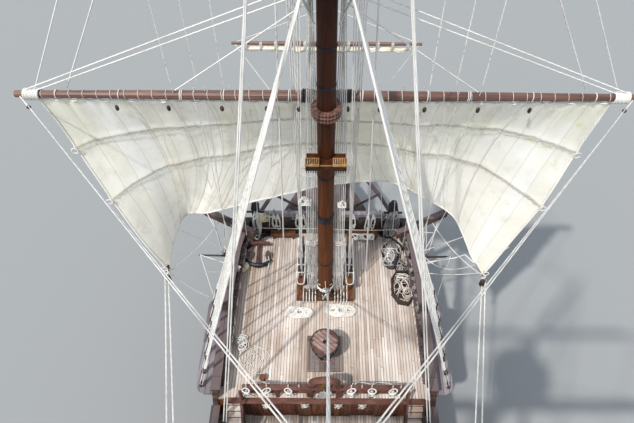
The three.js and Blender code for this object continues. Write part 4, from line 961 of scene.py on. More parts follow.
lateen_places = spaced(16)
lateen_ends = on_lateen(0.06, 0.36), on_lateen(0.94, 0.24)
furled_roll("mizzen_furled", "mizzen_sail", "lateen_yard", *lateen_ends, 0.17, 0.09, lateen_places, 21.0,
            share=0.4, sag=0.25, flat=1.0)
off_mast = [p for p in lateen_places if abs(p - 0.39) > 0.05]
roll_gaskets("mizzen_gaskets", "lateen_yard", *lateen_ends, off_mast, 0.18, 0.11, 0.3)
print("sails done")

# %% [markdown]
# ## The hull's form
# Planks, wales, chainplates and ports have to lie on the ship's side, so its lines are written here again:
# half-breadths at a few stations and levels, with smooth curves through them. `side_at` gives a point of
# the outside at a place and a height.

# %% The hull's lines
STATION_X = (-18.9, -16.0, -12.0, -6.0, 0.0, 6.0, 11.5, 14.6, 16.2, 17.1, 17.6)
LEVEL_Z = (-3.2, -2.9, -1.9, 0, 1.3, 4.3, 6.4, 10)
STEM_X = (13.2, 14.3, 15.9, 16.9, 17.2, 17.6, 17.9, 18.3)
HALF_BREADTHS = (
    (0.16, 0.16, 0.16, 0.2, 2.0, 3.15, 2.95, 2.35), (0.16, 0.2, 0.5, 1.7, 3.4, 3.65, 3.35, 2.7),
    (0.18, 0.6, 2.0, 3.7, 4.4, 4.15, 3.75, 3.1), (0.2, 1.6, 3.8, 4.75, 4.95, 4.5, 4.1, 3.5),
    (0.2, 2.2, 4.2, 4.95, 5.05, 4.58, 4.25, 3.7), (0.2, 2.0, 4.05, 4.9, 5.05, 4.52, 4.2, 3.7),
    (0.18, 1.1, 3.2, 4.5, 4.8, 4.42, 4.16, 3.7), (0.16, 0.4, 1.9, 3.5, 4.1, 3.98, 3.8, 3.4),
    (0.16, 0.16, 0.7, 2.1, 2.75, 2.9, 2.8, 2.5), (0.16, 0.16, 0.25, 1.0, 1.5, 1.7, 1.6, 1.4), (0.16,) * 8)
BOW_SWEEP, STERN_SWEEP, STEM_PLACE, TRANSOM_PLACE = 10.0, -12.0, 17.6, -18.9
STERN_FOOT, RAKE = -17.6, 0.3
WALL = 0.22


def half_breadth(place, z):
    levels = [curve_at(STATION_X, [row[i] for row in HALF_BREADTHS], place) for i in range(len(LEVEL_Z))]
    return max(0.16, curve_at(LEVEL_Z, levels, z))


def station_of(x, z):
    """The station whose leaning line passes x at the height z."""
    if x > BOW_SWEEP:
        stem = curve_at(LEVEL_Z, STEM_X, z)
        return BOW_SWEEP + (x - BOW_SWEEP) * (STEM_PLACE - BOW_SWEEP) / (stem - BOW_SWEEP)
    if x < STERN_SWEEP:
        stern = STERN_FOOT - RAKE * z
        return STERN_SWEEP + (x - STERN_SWEEP) * (TRANSOM_PLACE - STERN_SWEEP) / (stern - STERN_SWEEP)
    return x


def side_at(x, z, side=1, out=0.0):
    return Vector((x, side * (half_breadth(station_of(x, z), z) + out), z))


print("half-breadth at the foremast's deck:", round(side_at(11.5, 5.5).y, 2))

# %% [markdown]
# ## Shrouds, deadeyes and lanyards
# The masts are held by shrouds: thick ropes from the masthead down to the channels outside the hull. Each
# ends in a deadeye, a round block with three holes, and is drawn tight with a lanyard to a lower deadeye
# that an iron chain holds to the side. Ratlines tied across them make the ladder aloft.

# %% Shrouds
SHROUDS = {
    # head is the x and height of the masthead, out the half-spread there, feet the places of the deadeyes,
    # y and z the edge of the channel that carries them
    "fore": {"head": (11.35, 20.25), "out": 0.36, "feet": (10.75, 10.0, 9.25, 8.5, 7.75, 7.2), "y": 4.78,
             "z": 5.74},
    "main": {"head": (-1.15, 23.95), "out": 0.42, "feet": (-1.75, -2.6, -3.45, -4.3, -5.1, -5.9), "y": 5.2,
             "z": 4.17},
    "mizzen": {"head": (-10.5, 18.6), "out": 0.2, "feet": (-11.1, -11.75, -12.4, -13.1), "y": 4.32,
               "z": 6.22},
}
EYE_GAP = 0.95
EYE_RADIUS = 0.13
RATLINE_STEP = 0.42
LANYARD_OFF = 0.05


def shroud_ends(mast, i, side):
    facts = SHROUDS[mast]
    x, z = facts["head"]
    head = Vector((x - 0.1 * i, side * facts["out"], z + 0.035 * i))
    foot = Vector((facts["feet"][i], side * facts["y"], facts["z"] + 0.16))
    return head, foot


shroud_count = 0
for mast, facts in SHROUDS.items():
    for side, word in both():
        lines, ratlines, eyes, lanyards, straps = [], [], bmesh.new(), [], bmesh.new()
        feet = len(facts["feet"])
        for i in range(feet):
            head, foot = shroud_ends(mast, i, side)
            way = (head - foot).normalized()
            upper = foot + way * EYE_GAP
            face = Vector((0, 1, 0.12 * side))
            lines.append([head + Vector((0.12, 0, 0.06)), head, upper + way * EYE_RADIUS])
            for centre in (foot + way * 0.02, upper):
                turned = Matrix.Translation(centre) @ aim(face)
                bmesh.ops.create_cone(eyes, cap_ends=True, segments=10, radius1=EYE_RADIUS,
                                      radius2=EYE_RADIUS * 0.86, depth=0.09, matrix=turned)
            for k in (-1, 0, 1):
                across = Vector((1, 0, 0)) * k * LANYARD_OFF
                off = Vector((0, side * 0.05, 0))
                lanyards.append([foot + way * 0.05 + across + off, upper - way * 0.02 + across * 1.1 + off])
                lanyards.append([foot + way * 0.05 + across * 1.2 - off, upper - way * 0.02 + across - off])
            turns = [upper + way * (0.16 + 0.016 * k)
                     + Vector((math.cos(k * 0.9) * 0.055, math.sin(k * 0.9) * 0.055, 0)) for k in range(30)]
            lanyards.append(turns)
            hull_point = side_at(foot.x, facts["z"] - 1.25, side, 0.03)
            plank(straps, foot + Vector((0, 0, -0.16)), hull_point, 0.06, 0.025, up=(1, 0, 0), edge=0)
            ball(straps, hull_point, 0.07, (1, 1, 0.6), (0, side, 0), 6)
            shroud_count += 1
        low, high = facts["z"] + 1.55, facts["head"][1] - 0.9
        count = int((high - low) / RATLINE_STEP)
        for k in range(count):
            z = low + k * RATLINE_STEP
            points = []
            for i in range(feet):
                head, foot = shroud_ends(mast, i, side)
                points.append(foot.lerp(head, (z - foot.z) / (head.z - foot.z)) + Vector((0, side * 0.02, 0)))
            dipped = []
            for a, b in zip(points, points[1:]):
                dipped += [a, (a + b) / 2 - Vector((0, 0, 0.025))]
            ratlines.append(dipped + [points[-1]])
        ropes(f"{mast}_shrouds_{word}", lines, 0.034, sides=1)
        ropes(f"{mast}_ratlines_{word}", ratlines, 0.011, sides=0)
        ropes(f"{mast}_lanyards_{word}", lanyards, 0.014, sides=0)
        piece(eyes, f"{mast}_deadeyes_{word}", "hull", "block")
        piece(straps, f"{mast}_chainplates_{word}", "hull", "iron")
print("shrouds:", shroud_count)

# %% [markdown]
# ## Blocks
# A block is a wooden shell with a wheel in it. A squashed ball with a small disc across it is enough at this
# size, and it is repeated often, so it has only a few dozen faces.

# %% Block helper
def pulley(bm, at, size=0.13, direction=(0, 0, 1)):
    ball(bm, at, size, (0.62, 0.42, 1.0), direction, 8)
    turned = Matrix.Translation(at) @ aim(direction) @ Matrix.Rotation(math.pi / 2, 4, "Y")
    bmesh.ops.create_cone(bm, cap_ends=True, segments=8, radius1=size * 0.7, radius2=size * 0.7,
                          depth=size * 0.3, matrix=turned)


def hank(at, drop=0.75, wide=0.22, turns=5, normal=(1, 0, 0), seed=1, thick=0.03):
    """A coil of rope hung on a pin: long loops, each a little different, with a turn across the top."""
    chance = random.Random(seed)
    at, normal = Vector(at), Vector(normal).normalized()
    across = normal.cross(Vector((0, 0, 1))).normalized()
    points = []
    for k in range(turns):
        w = wide * (0.75 + 0.5 * chance.random())
        d = drop * (0.8 + 0.35 * chance.random())
        off = normal * thick * (k - turns / 2) * 1.1
        for j in range(10):
            a = 2 * math.pi * j / 10
            reach = 0.5 - 0.5 * math.cos(a)
            swing = math.sin(a) * w * (0.35 + 0.65 * reach) + 0.02 * (chance.random() - 0.5)
            points.append(at + off + across * swing - Vector((0, 0, 1)) * d * reach)
    for j in range(7):
        a = 2 * math.pi * j / 6
        points.append(at + normal * (0.03 + thick * turns * 0.6) * math.cos(a)
                      + across * wide * 0.45 * math.sin(a) - Vector((0, 0, drop * 0.16)))
    return points


def flat_coil(at, radius, turns=5, stretch=(1, 1), thick=0.03, seed=1, step=1.05):
    """A coil laid down flat on the deck, from the outside in."""
    chance = random.Random(seed)
    points = []
    for k in range(int(turns * 14)):
        a = 2 * math.pi * k / 14
        r = radius - thick * 2 * step * k / 14 * 0.5
        wobble = 1 + 0.05 * (chance.random() - 0.5)
        points.append(Vector(at) + Vector((math.cos(a) * r * stretch[0] * wobble,
                                           math.sin(a) * r * stretch[1] * wobble,
                                           thick * (1 + 0.5 * (k // 14 % 2)))))
    return points


def mat(at, long, wide, thick=0.026):
    """A long rope laid down in close ovals round three small coils, ready to run."""
    chance = random.Random(int(at[1] * 100))
    lines = []
    for layer in range(2):
        oval = []
        for k in range(16 * 5):
            a = 2 * math.pi * k / 16
            shrink = 2 * thick * 0.9 * k / 16
            oval.append(Vector(at) + Vector(((wide - shrink) * math.cos(a), (long - shrink) * math.sin(a),
                                             thick * (1 + 1.7 * layer) + 0.012 * chance.random())))
        lines.append(oval)
    for k in (-1, 0, 1):
        lines.append(flat_coil((at[0] + 0.03 * k, at[1] + k * long * 0.56, at[2] + 0.09), wide * 0.86, 4,
                               (1, 0.9), thick, 60 + k, 1.1))
    return lines


def tangle(at, reach, height, count, seed, loop=0.3):
    """Loops of slack rope thrown over a low heap; reach is the half-size of the heap along and across."""
    chance = random.Random(seed)
    lines = []
    for _ in range(count):
        r, turn = math.sqrt(chance.random()), 2 * math.pi * chance.random()
        cx, cy = r * reach[0] * math.cos(turn), r * reach[1] * math.sin(turn)
        wide, tall = loop * (0.5 + chance.random()), loop * (0.35 + 0.7 * chance.random())
        lean = math.pi * chance.random()
        line = []
        for j in range(13):
            a = 2 * math.pi * j / 13 * 1.12
            u, v = wide * math.cos(a), tall * math.sin(a)
            x, y = cx + u * math.cos(lean) - v * math.sin(lean), cy + u * math.sin(lean) + v * math.cos(lean)
            out = min(1.0, (x / reach[0]) ** 2 + (y / reach[1]) ** 2)
            x, y = (max(-reach[0], min(reach[0], x)), max(-reach[1], min(reach[1], y)))
            line.append(Vector(at) + Vector((x, y, 0.03 + height * (1 - out) + 0.05 * chance.random())))
        lines.append(line)
    return lines


print("coil helpers ready")

# %% [markdown]
# ## Coils on the forecastle deck
# Two neat figures of eight lie before the capstan, loose loops lie near the port rail, and a grey pile, a
# tub of line and a bundle fill the starboard bow. These ropes lie still, so they are modelled as rigging.

# %% Coils on deck
DECK = 5.505
ropes("deck_coils", mat((10.42, 1.08, DECK), 0.62, 0.27) + mat((10.52, -0.70, DECK), 0.68, 0.3), 0.027)
# A black mound under the grey pile: painted shade in the gaps between the coils.
heap = bmesh.new()
ball(heap, (13.35, -3.05, DECK - 0.05), 0.5, (1.5, 0.95, 0.62), sides=16)
ball(heap, (12.75, -3.45, DECK - 0.05), 0.32, (1.2, 0.9, 0.5), sides=12)
for vert in heap.verts:
    vert.co.z = max(DECK, vert.co.z + 0.12 * noise.noise(vert.co * 3.1))
piece(heap, "tarred_net_heap", "hull", "black", smooth=60)
ropes("grey_coil_pile", tangle((13.5, -3.0, DECK + 0.05), (0.72, 0.42), 0.26, 22, 5, 0.26), 0.024,
      finish="grey_rope")
ropes("white_coil_pile", tangle((13.3, -3.05, DECK + 0.08), (0.75, 0.45), 0.27, 5, 6, 0.24), 0.018)
ropes("small_coil_pile", tangle((12.7, -3.5, DECK + 0.03), (0.42, 0.3), 0.14, 10, 7, 0.2), 0.018,
      finish="grey_rope")

tub = bmesh.new()
TUB = (11.6, -3.4)
rim = [(0.75, 0.2), (0.75, -0.3), (0.35, -0.52), (-0.4, -0.5), (-0.8, -0.2), (-0.72, 0.2), (-0.3, 0.45),
       (0.4, 0.42)]
rim = [Vector((TUB[0] + x, TUB[1] + y, 0)) for x, y in rim]
for a, b in zip(rim, rim[1:] + rim[:1]):
    plank(tub, a + Vector((0, 0, DECK + 0.17)), b + Vector((0, 0, DECK + 0.17)), 0.06, 0.34, edge=0.012)
    bar(tub, a + Vector((0, 0, DECK)), a + Vector((0, 0, DECK + 0.37)), 0.045, None, 8)
bmesh.ops.create_circle(tub, cap_ends=True, segments=8, radius=0.5,
                        matrix=Matrix.Translation((TUB[0], TUB[1], DECK + 0.04)))
piece(tub, "rope_crate", "hull", "dark")
pink = tangle((TUB[0] + 0.02, TUB[1] - 0.03, DECK + 0.1), (0.6, 0.4), 0.26, 15, 41, 0.24)
ropes("crate_coils_pink", pink, 0.018, finish="pink_rope")
white = tangle((TUB[0] + 0.1, TUB[1] - 0.03, DECK + 0.14), (0.58, 0.38), 0.25, 7, 42, 0.24)
ropes("crate_coils_white", white, 0.018)
print("deck coils laid")

# %% [markdown]
# ## Fife rails and the falls at the foremast
# The running rigging comes down the foremast through the fairlead and is made fast on pins in the fife
# rails and round the partners. In the picture these falls are two white bundles beside the mast, each many
# thin lines, with their coils hung below.

# %% Fife rail pins, falls and coils
FIFE_Y = 1.05
pins = bmesh.new()
fife_x = [11.6 + 0.3 * i for i in range(7)]
for side, _ in both():
    for x in fife_x:
        bar(pins, (x, side * FIFE_Y, 6.30), (x, side * FIFE_Y, 6.66), 0.025, 0.035, 8)
piece(pins, "fife_pins", "hull", "block")
hanks = []
for side, _ in both():
    for k, x in enumerate(fife_x):
        hanks.append(hank((x, side * (FIFE_Y - 0.06), 6.42), 0.72, 0.14, 4, (0, -side, 0), 60 + k, 0.022))
ropes("fife_rail_coils", hanks, 0.018, sides=0)

partners = bmesh.new()
for side, _ in both():
    block(partners, (10.98, side * 0.86 - 0.22, 5.74), (11.97, side * 0.86 + 0.22, 5.83), 0.05)
block(partners, (11.85, -1.2, 5.70), (12.15, 1.2, 5.80), 0.04)
for y in (-0.85, -0.5, 0.5, 0.85):
    bar(partners, (11.25, y, 5.76), (11.25, y, 6.0), 0.05, 0.06, 8)
    ball(partners, (11.25, y, 6.03), 0.065, (1, 1, 0.8), sides=8)
piece(partners, "partner_timbers", "hull", "orange")

pale = bmesh.new()
block(pale, (11.4, 0.32, 5.83), (11.56, 0.95, 5.97), 0.02)
piece(pale, "belaying_bar", "hull", "pale_paint")
# Black plates on the fife rails: painted shade in the sheave slots.
slot_shade_plates = bmesh.new()
for side, _ in both():
    for x in (12.02, 12.42, 13.05):
        block(slot_shade_plates, (x - 0.14, side * FIFE_Y - 0.13, 6.48), (x + 0.14, side * FIFE_Y + 0.13, 6.56), 0.0)
piece(slot_shade_plates, "fife_rail_slot_shade", "hull", "black")
loops = []
for side, _ in both():
    edge = [Vector((x, side * (FIFE_Y - 0.17), 6.56)) for x in (13.6, 12.9, 12.2, 11.6)]
    edge += [Vector((11.42 - 0.09 * math.sin(a), side * (FIFE_Y - 0.17 * math.cos(a)),
                     6.5 - 0.1 * math.sin(a)))
             for a in [math.pi * k / 6 for k in range(1, 6)]]
    edge += [Vector((x, side * (FIFE_Y + 0.17), 6.56)) for x in (11.6, 12.2, 12.9, 13.6)]
    loops.append(edge)
    for x in (12.22, 11.82):
        loops.append([Vector((x, side * (FIFE_Y + dy), 6.56)) for dy in (-0.16, 0, 0.16)])
    for k in range(5):
        y = side * (0.42 + 0.13 * k)
        loops.append([Vector((11.5, y, 6.0)), Vector((11.2, y, 5.9)), Vector((10.97, y, 5.86)),
                      Vector((10.9, y, 5.6))])
ropes("fife_rail_loops", loops, 0.026)
legs = [[Vector((FOREMAST_X + 0.3 * math.cos(a), 0.31 * math.sin(a), 6.15))
         for a in [1.2 + 0.25 * k for k in range(16)]]]
for side, _ in both():
    legs.append([Vector((11.45, side * 0.34, 6.18)), Vector((11.2, side * 0.26, 6.05)),
                 Vector((10.98, side * 0.08 - 0.08, 5.98))])
    legs.append([Vector((11.3, side * 0.6, 5.86)), Vector((11.1, side * 0.42, 5.88)),
                 Vector((10.96, side * 0.2 - 0.08, 5.94))])
ropes("collar_legs", legs, 0.034, finish="tarred")
cross = [[Vector((11.35, side * 0.3, 6.42)), Vector((11.12, -side * 0.22, 6.2))] for side, _ in both()]
cross += [[Vector((11.18, 0.0, 6.9)), Vector((11.15, -0.02, 6.5)), Vector((11.1, -0.04, 6.0))]]
ropes("collar_lashing", cross, 0.02)
chance = random.Random(8)
slack_loops = []
for k, (x, y, r) in enumerate(((8.5, 2.85, 0.38), (8.3, 2.6, 0.42), (8.15, 2.9, 0.33), (8.45, 3.15, 0.3),
                               (8.9, 3.35, 0.22))):
    slack_loops.append([Vector((x + r * math.cos(a) * (1.15 + 0.2 * math.sin(2 * a + k)), y + r * math.sin(a),
                                DECK + 0.02 + 0.012 * k))
                        for a in [0.5 * j + k for j in range(14)]])
ropes("slack_loops", slack_loops, 0.014)
ropes("port_rope_heap", tangle((9.05, 3.45, DECK + 0.02), (0.32, 0.22), 0.12, 12, 33, 0.18), 0.02)
bucket = bmesh.new()
BUCKET = Vector((7.55, 2.45, DECK))
bar(bucket, BUCKET, BUCKET + Vector((0, 0, 0.26)), 0.1, 0.13, 12)
for up, radius in ((0.08, 0.112), (0.2, 0.125)):
    ring(bucket, BUCKET + Vector((0, 0, up)), radius, 0.008, sides=14, around=4)
piece(bucket, "deck_bucket", "hull", "orange")
print("fife rails rigged")

# %% [markdown]
# ## Bands and hoops on the foremast
# The mast is built up from several trees and held together by iron bands and by wooldings, tight turns of
# rope nailed under thin hoops. A black band stands at eye height above the deck, and more follow upwards.

# %% Mast bands and wooldings
def mast_band(x, mast, z, proud=0.012, deep=0.09):
    radius = mast_radius(mast, z) + proud
    bmesh.ops.create_cone(bands, cap_ends=True, segments=20, radius1=radius, radius2=radius, depth=deep,
                          matrix=Matrix.Translation((x, 0, z)))


bands = bmesh.new()
for x, mast, heights in ((FOREMAST_X, FOREMAST, (8.1, 13.3, 16.9, 18.1)),
                         (MAINMAST_X, MAINMAST, (7.2, 10.2, 13.3, 16.2, 21.0)),
                         (MIZZEN_X, MIZZEN, (9.0, 12.4))):
    for z in heights:
        mast_band(x, mast, z)
mast_band(FOREMAST_X, FOREMAST, 11.1, 0.018, 0.34)
piece(bands, "mast_bands", "hull", "iron")
wooldings = []
for z in (8.7, 11.8, 14.8, 17.6):
    radius = mast_radius(MAINMAST, z) + 0.018
    wooldings.append([Vector((MAINMAST_X + radius * math.cos(a), radius * math.sin(a),
                              z + 0.04 * a / (2 * math.pi) - 0.14))
                      for a in angles(12, 12 * 7)])
ropes("mast_wooldings", wooldings, 0.02)

# %% [markdown]
# ## The parrel and slings of the fore yard
# A parrel holds the yard to the mast and lets it turn: wooden beads threaded on rope, three rows of them
# round the mast. The tie that carries the yard's weight comes down to it from the masthead.

# %% Parrel beads
BEAD_ROWS, BEADS, BEAD_RADIUS = 3, 20, 0.058


def parrel(name, yard, centre_x, mast):
    z = YARD[yard][1]
    made = bmesh.new()
    radius = mast_radius(mast, z) + 0.115
    for row in range(BEAD_ROWS):
        height = z + (row - (BEAD_ROWS - 1) / 2) * 0.125
        for k in range(BEADS):
            a = math.pi * (0.28 + 1.44 * k / (BEADS - 1))
            at = Vector((centre_x + radius * math.cos(a), radius * math.sin(a), height))
            ball(made, at, BEAD_RADIUS, (1, 1, 0.95), sides=6)
    for k in range(4):
        a = math.pi * (0.35 + 1.3 * k / 3)
        at = Vector((centre_x + radius * math.cos(a), radius * math.sin(a), z))
        block(made, at - Vector((0.03, 0.03, 0.2)), at + Vector((0.03, 0.03, 0.2)), 0.015)
    piece(made, name, yard, "yard")


parrel("fore_parrel", "fore_yard", FOREMAST_X, FOREMAST)
parrel("main_parrel", "main_yard", MAINMAST_X, MAINMAST)
for yard in ("fore_yard", "main_yard"):
    x, z, _, thick, _ = YARD[yard]
    slings = bmesh.new()
    for y in (-0.42, 0.42):
        bar(slings, (x, y - 0.09, z), (x, y + 0.09, z), thick + 0.012, None, 16)
    piece(slings, yard + "_slings", yard, "iron")
    bound = [wrap(yard, side * 0.56 - 0.15, 0.024, 5, 0.06) for side, _ in both()]
    ropes(yard + "_tarred_turns", bound, 0.028, yard, finish="tarred", sides=0)
print("parrels made")

# %% [markdown]
# ## Stays
# A stay is the thickest rope of a mast and holds it from ahead. The main stay runs down through the middle
# of the picture to a collar at the foremast's foot. Each is laid up as a rope on its solid's own line.

# %% Stays
def bowsprit_top(x, up=0.0):
    point = bowsprit_at(x)
    return point + Vector((0, 0, bowsprit_radius(x) / math.cos(BOWSPRIT_RISE) + up))


MAIN_STAY = (Vector((-0.95, -0.03, 23.1)), Vector((11.45, -0.12, 5.95)))
FORE_STAY = (Vector((11.6, 0, 19.95)), bowsprit_top(21.5, -0.05))
MIZZEN_STAY = (Vector((-10.35, 0, 18.2)), Vector((-1.1, 0, 4.6)))
for name, (top, low), radius, steps in (("main_stay", MAIN_STAY, 0.031, 12),
                                        ("fore_stay", FORE_STAY, 0.05, 12),
                                        ("mizzen_stay", MIZZEN_STAY, 0.034, 8)):
    ropes(name + "_rope", [[top.lerp(low, i / steps) for i in range(steps + 1)]], radius, nodes=[name])
COLLAR_PITCH = 0.06


def collar(x, z, radius, turns):
    return [Vector((x + radius * math.cos(a), radius * math.sin(a), z + COLLAR_PITCH * a / (2 * math.pi)))
            for a in angles(12, 12 * turns + 1)]


collars = [collar(*place) for place in (
    (FOREMAST_X, 6.05, 0.36, 3), (MAINMAST_X, 22.9, 0.36, 4), (FOREMAST_X, 19.75, 0.3, 4),
    (MIZZEN_X, 18.0, 0.2, 4), (MAINMAST_X, 4.45, 0.42, 3), (FOREMAST_X, 20.35, 0.4, 5),
    (MAINMAST_X, 24.1, 0.44, 5), (MIZZEN_X, 18.8, 0.24, 4))]
for side, _ in both():
    collars.append([Vector((11.45, side * 0.12, 5.98)), Vector((10.9, side * 0.1, 5.86)),
                    Vector((10.2, -0.02, 7.6))])
ropes("stay_collars", collars, 0.034)
seizings = []
for start, end in (MAIN_STAY, FORE_STAY, MIZZEN_STAY):
    for share in (0.05, 0.08, 0.9, 0.94):
        centre, way = start.lerp(end, share), (end - start).normalized()
        side, across = way.cross(Vector((0, 1, 0))).normalized(), Vector((0, 1, 0))
        seizings.append([centre + way * 0.03 * k / 4
                         + (side * math.cos(k * 1.6) + across * math.sin(k * 1.6)) * 0.062
                         for k in range(24)])
ropes("stay_seizings", seizings, 0.013, finish="grey_rope", sides=0)

# %% [markdown]
# ## Running rigging of the fore yard
# Lifts hold the yardarms up to the masthead, braces swing the yard from the main stay, sheets and tacks
# pull the clews aft and forward, and buntlines gather the sail.

# %% Lifts and braces of the square yards
def blended(name, path, radius, body, near=0.0, far=1.0, steps=14, sag=0.0, finish="rope"):
    """A rope from the hull at its first point to a yard at its last, following the yard from near to far."""
    start, end = Vector(path[0]), Vector(path[-1])
    points = sagging(start, end, sag, steps) if len(path) == 2 else [Vector(p) for p in path]
    return ropes(name, [points], radius, body, finish, sides=0,
                 blend=(start.lerp(end, near), start.lerp(end, far)))


rigged = 0
blocks = {body: bmesh.new() for body in ("hull", *YARD)}
# Each yard: where its lifts come down from the mast, and how far out on the arms they end.
LIFTS = {"fore_yard": ((11.9, 0.34, 19.5), (8.62, 8.25, 4.3)),
         "main_yard": ((-0.6, 0.4, 23.2), (10.1, 9.4)),
         "fore_topsail_yard": ((12.2, 0.16, 27.0), (4.65,)),
         "main_topsail_yard": ((-0.3, 0.18, 31.6), (5.6,))}
for yard, (head, arms_out) in LIFTS.items():
    x, z, *_ = YARD[yard]
    for side, word in both():
        top = Vector((head[0], side * head[1], head[2]))
        for k, y in enumerate(arms_out):
            arm = Vector((x, side * y, z + yard_radius(yard, y) + 0.03))
            lift = [top - Vector((0, 0, 0.22 * k)), arm]
            blended(f"{yard}_lift_{word}_{k + 1}", lift, 0.02, yard, 0.0, 0.2)
            rigged += 1
        pulley(blocks["hull"], top + Vector((0, side * 0.05, 0)), 0.14, (0, side, -0.5))
        if yard != "fore_yard":
            out = arms_out[0]
            pulley(blocks[yard], (x, side * out, z + yard_radius(yard, out) + 0.12), 0.12, (0, -side, 0.6))

# Each yard: where its braces lead to, how far off the middle, and how far out on the arms they begin, then
# the size of their blocks and the radius of the rope.
BRACES = {"fore_yard": ((1.8, 0.07, 19.35), 0.1, 8.72, 0.1, 0.011),
          "main_yard": ((-12.4, 3.2, 9.1), 0.0, 10.2, 0.15, 0.018),
          "fore_topsail_yard": ((1.3, 0.16, 33.6), 0.0, 4.7, 0.15, 0.018),
          "main_topsail_yard": ((-10.0, 0.25, 18.9), 0.0, 5.7, 0.15, 0.018)}
for yard, (foot, off_middle, y, block_size, thick) in BRACES.items():
    x, z, *_ = YARD[yard]
    for side, word in both():
        low = Vector((foot[0], side * foot[1] - off_middle, foot[2]))
        arm = Vector((x - 0.12, side * y, z))
        pendant = arm.lerp(low, 0.07)
        ropes(f"{yard}_brace_pendant_{word}", [[arm, pendant]], 0.026, yard)
        pulley(blocks[yard], pendant, block_size, low - arm)
        blended(f"{yard}_brace_{word}_1", [low, pendant], thick, yard)
        beside = [low + Vector((0.02, side * 0.09, 0)), pendant + Vector((0, 0, 0.06))]
        blended(f"{yard}_brace_{word}_2", beside, thick, yard)
        pulley(blocks["hull"], low, 0.13, arm - low)
        rigged += 2
print("lifts and braces:", rigged)

# %% [markdown]
# ## Sheets, tacks and clew gear of the fore course
# The clews are held by a heavy sheet leading aft and a tack leading forward. Their blocks hang at the
# corners of the sail; slack lines loop beside them, as in the picture.

# %% Clew gear
for side, word in both():
    clew = course_at(side, 1.0) + Vector((-0.05, 0, -0.05))
    low = Vector((0.4, side * 4.75, 4.55))
    for k in range(2):
        off = Vector((0, side * 0.11 * k, 0.05 * k))
        sheet = [low + off * 3, clew + Vector((-0.15, 0, -0.25)) + off]
        blended(f"fore_sheet_{word}_{k + 1}", sheet, 0.024, "fore_yard", 0.0, 0.9, 16, 0.012)
    tack = [Vector((14.6, side * 5.0, 6.4)), clew + Vector((0.1, 0, -0.1))]
    blended(f"fore_tack_{word}", tack, 0.026, "fore_yard", 0.0, 0.8, 16, 0.06)
    pulley(blocks["fore_yard"], clew + Vector((-0.15, 0, -0.25)), 0.19, (0.3, 0, 1))
    pulley(blocks["fore_yard"], clew + Vector((0.12, side * 0.02, 0.05)), 0.15, (1, 0, 0.4))
    knot = [clew + Vector((0.09 * math.cos(a), 0.06 * math.sin(a * 2), 0.1 * math.sin(a)))
            for a in [k * 0.55 for k in range(36)]]
    ropes(f"clew_knot_{word}", [knot], 0.024, "fore_yard")
    leech_line = [Vector((12.9, side * 4.15, 6.5)), course_at(side, 0.56) + Vector((-0.06, 0, 0))]
    blended(f"leech_line_{word}", leech_line, 0.019, "fore_yard", 0.0, 1.0, 12)
    clew_line = [Vector((11.9, side * 4.2, 6.5)), course_at(side, 0.985)]
    blended(f"clew_line_{word}", clew_line, 0.019, "fore_yard", 0.0, 1.0, 14, 0.05)
for side, word, low, v, sag, steps in ((-1, "starboard", (12.2, -4.2, 7.3), 0.8, 0.30, 20),
                                       (1, "port", (10.4, 4.75, 7.0), 0.97, 0.10, 16)):
    slack = sagging(low, course_at(side, v) + Vector((-0.1, 0, 0)), sag, steps)
    blended(f"slack_bowline_{word}", slack, 0.016, "fore_yard")

# %% [markdown]
# ## Buntlines and other lines down the sail
# Thin lines hang from blocks under the yard down the face of the sail, and others pass from the topsail to
# the pin rails at the bulwarks. They are what makes the picture so full of fine white lines.

# %% Buntlines and pin-rail lines
face_lines, crossing = [], []
for side, word in both():
    for k, u in enumerate((0.075, 0.12, 0.19, 0.30, 0.42, 0.55, 0.68)):
        face_lines.append([course_at(side * (u - 0.02 * v * (k % 3)), v)
                           - Vector((0.09 + 0.05 * math.sin(math.pi * v), 0, 0))
                           for v in [0.02 + 0.96 * i / 18 for i in range(19)]])
    # Each line: how far out it leaves the yard, and the x and the distance off the middle of its pin.
    for k, (y, foot_x, foot_y) in enumerate(((4.35, 13.3, 4.12), (3.75, 12.7, 4.12), (3.45, 12.1, 4.12),
                                             (2.75, 13.8, 3.6), (2.2, 14.2, 3.1), (1.5, 14.3, 2.6))):
        low = Vector((foot_x, side * foot_y, 6.45))
        high = Vector((12.0 + 0.05 * k, side * y, 16.3))
        blended(f"pin_rail_line_{word}_{k + 1}", [low, high], 0.013, "fore_yard", 0.0, 1.0, 12)
    for k, y in enumerate((4.45, 3.7, 2.95)):
        crossing.append([Vector((12.3, side * y, 16.25)), Vector((12.5, side * (y - 0.12), 23.15))])
    for y, at in ((8.3, 3.75), (7.4, 2.9)):
        crossing.append([Vector((12.2, side * y, 16.15)), Vector((12.5, side * at, 23.2))])
ropes("fore_buntlines", face_lines, 0.012, "fore_yard", sides=0)
ropes("topsail_sheets", crossing, 0.02, "fore_yard", sides=0)
for side, _ in both():
    for y in (0.62, 1.55, 2.85, 4.4, 5.9):
        y += 0.18 if side > 0 else 0
        pulley(blocks["fore_yard"], (11.96, side * y, 15.62), 0.1, (0.1, 0, 1))

# %% [markdown]
# ## Falls, halyards and backstays
# From the tops, the topsail gear and the ties come down beside the masts to the fairlead and the pin rails;
# the backstays run from the topmast heads to the channels on each side.

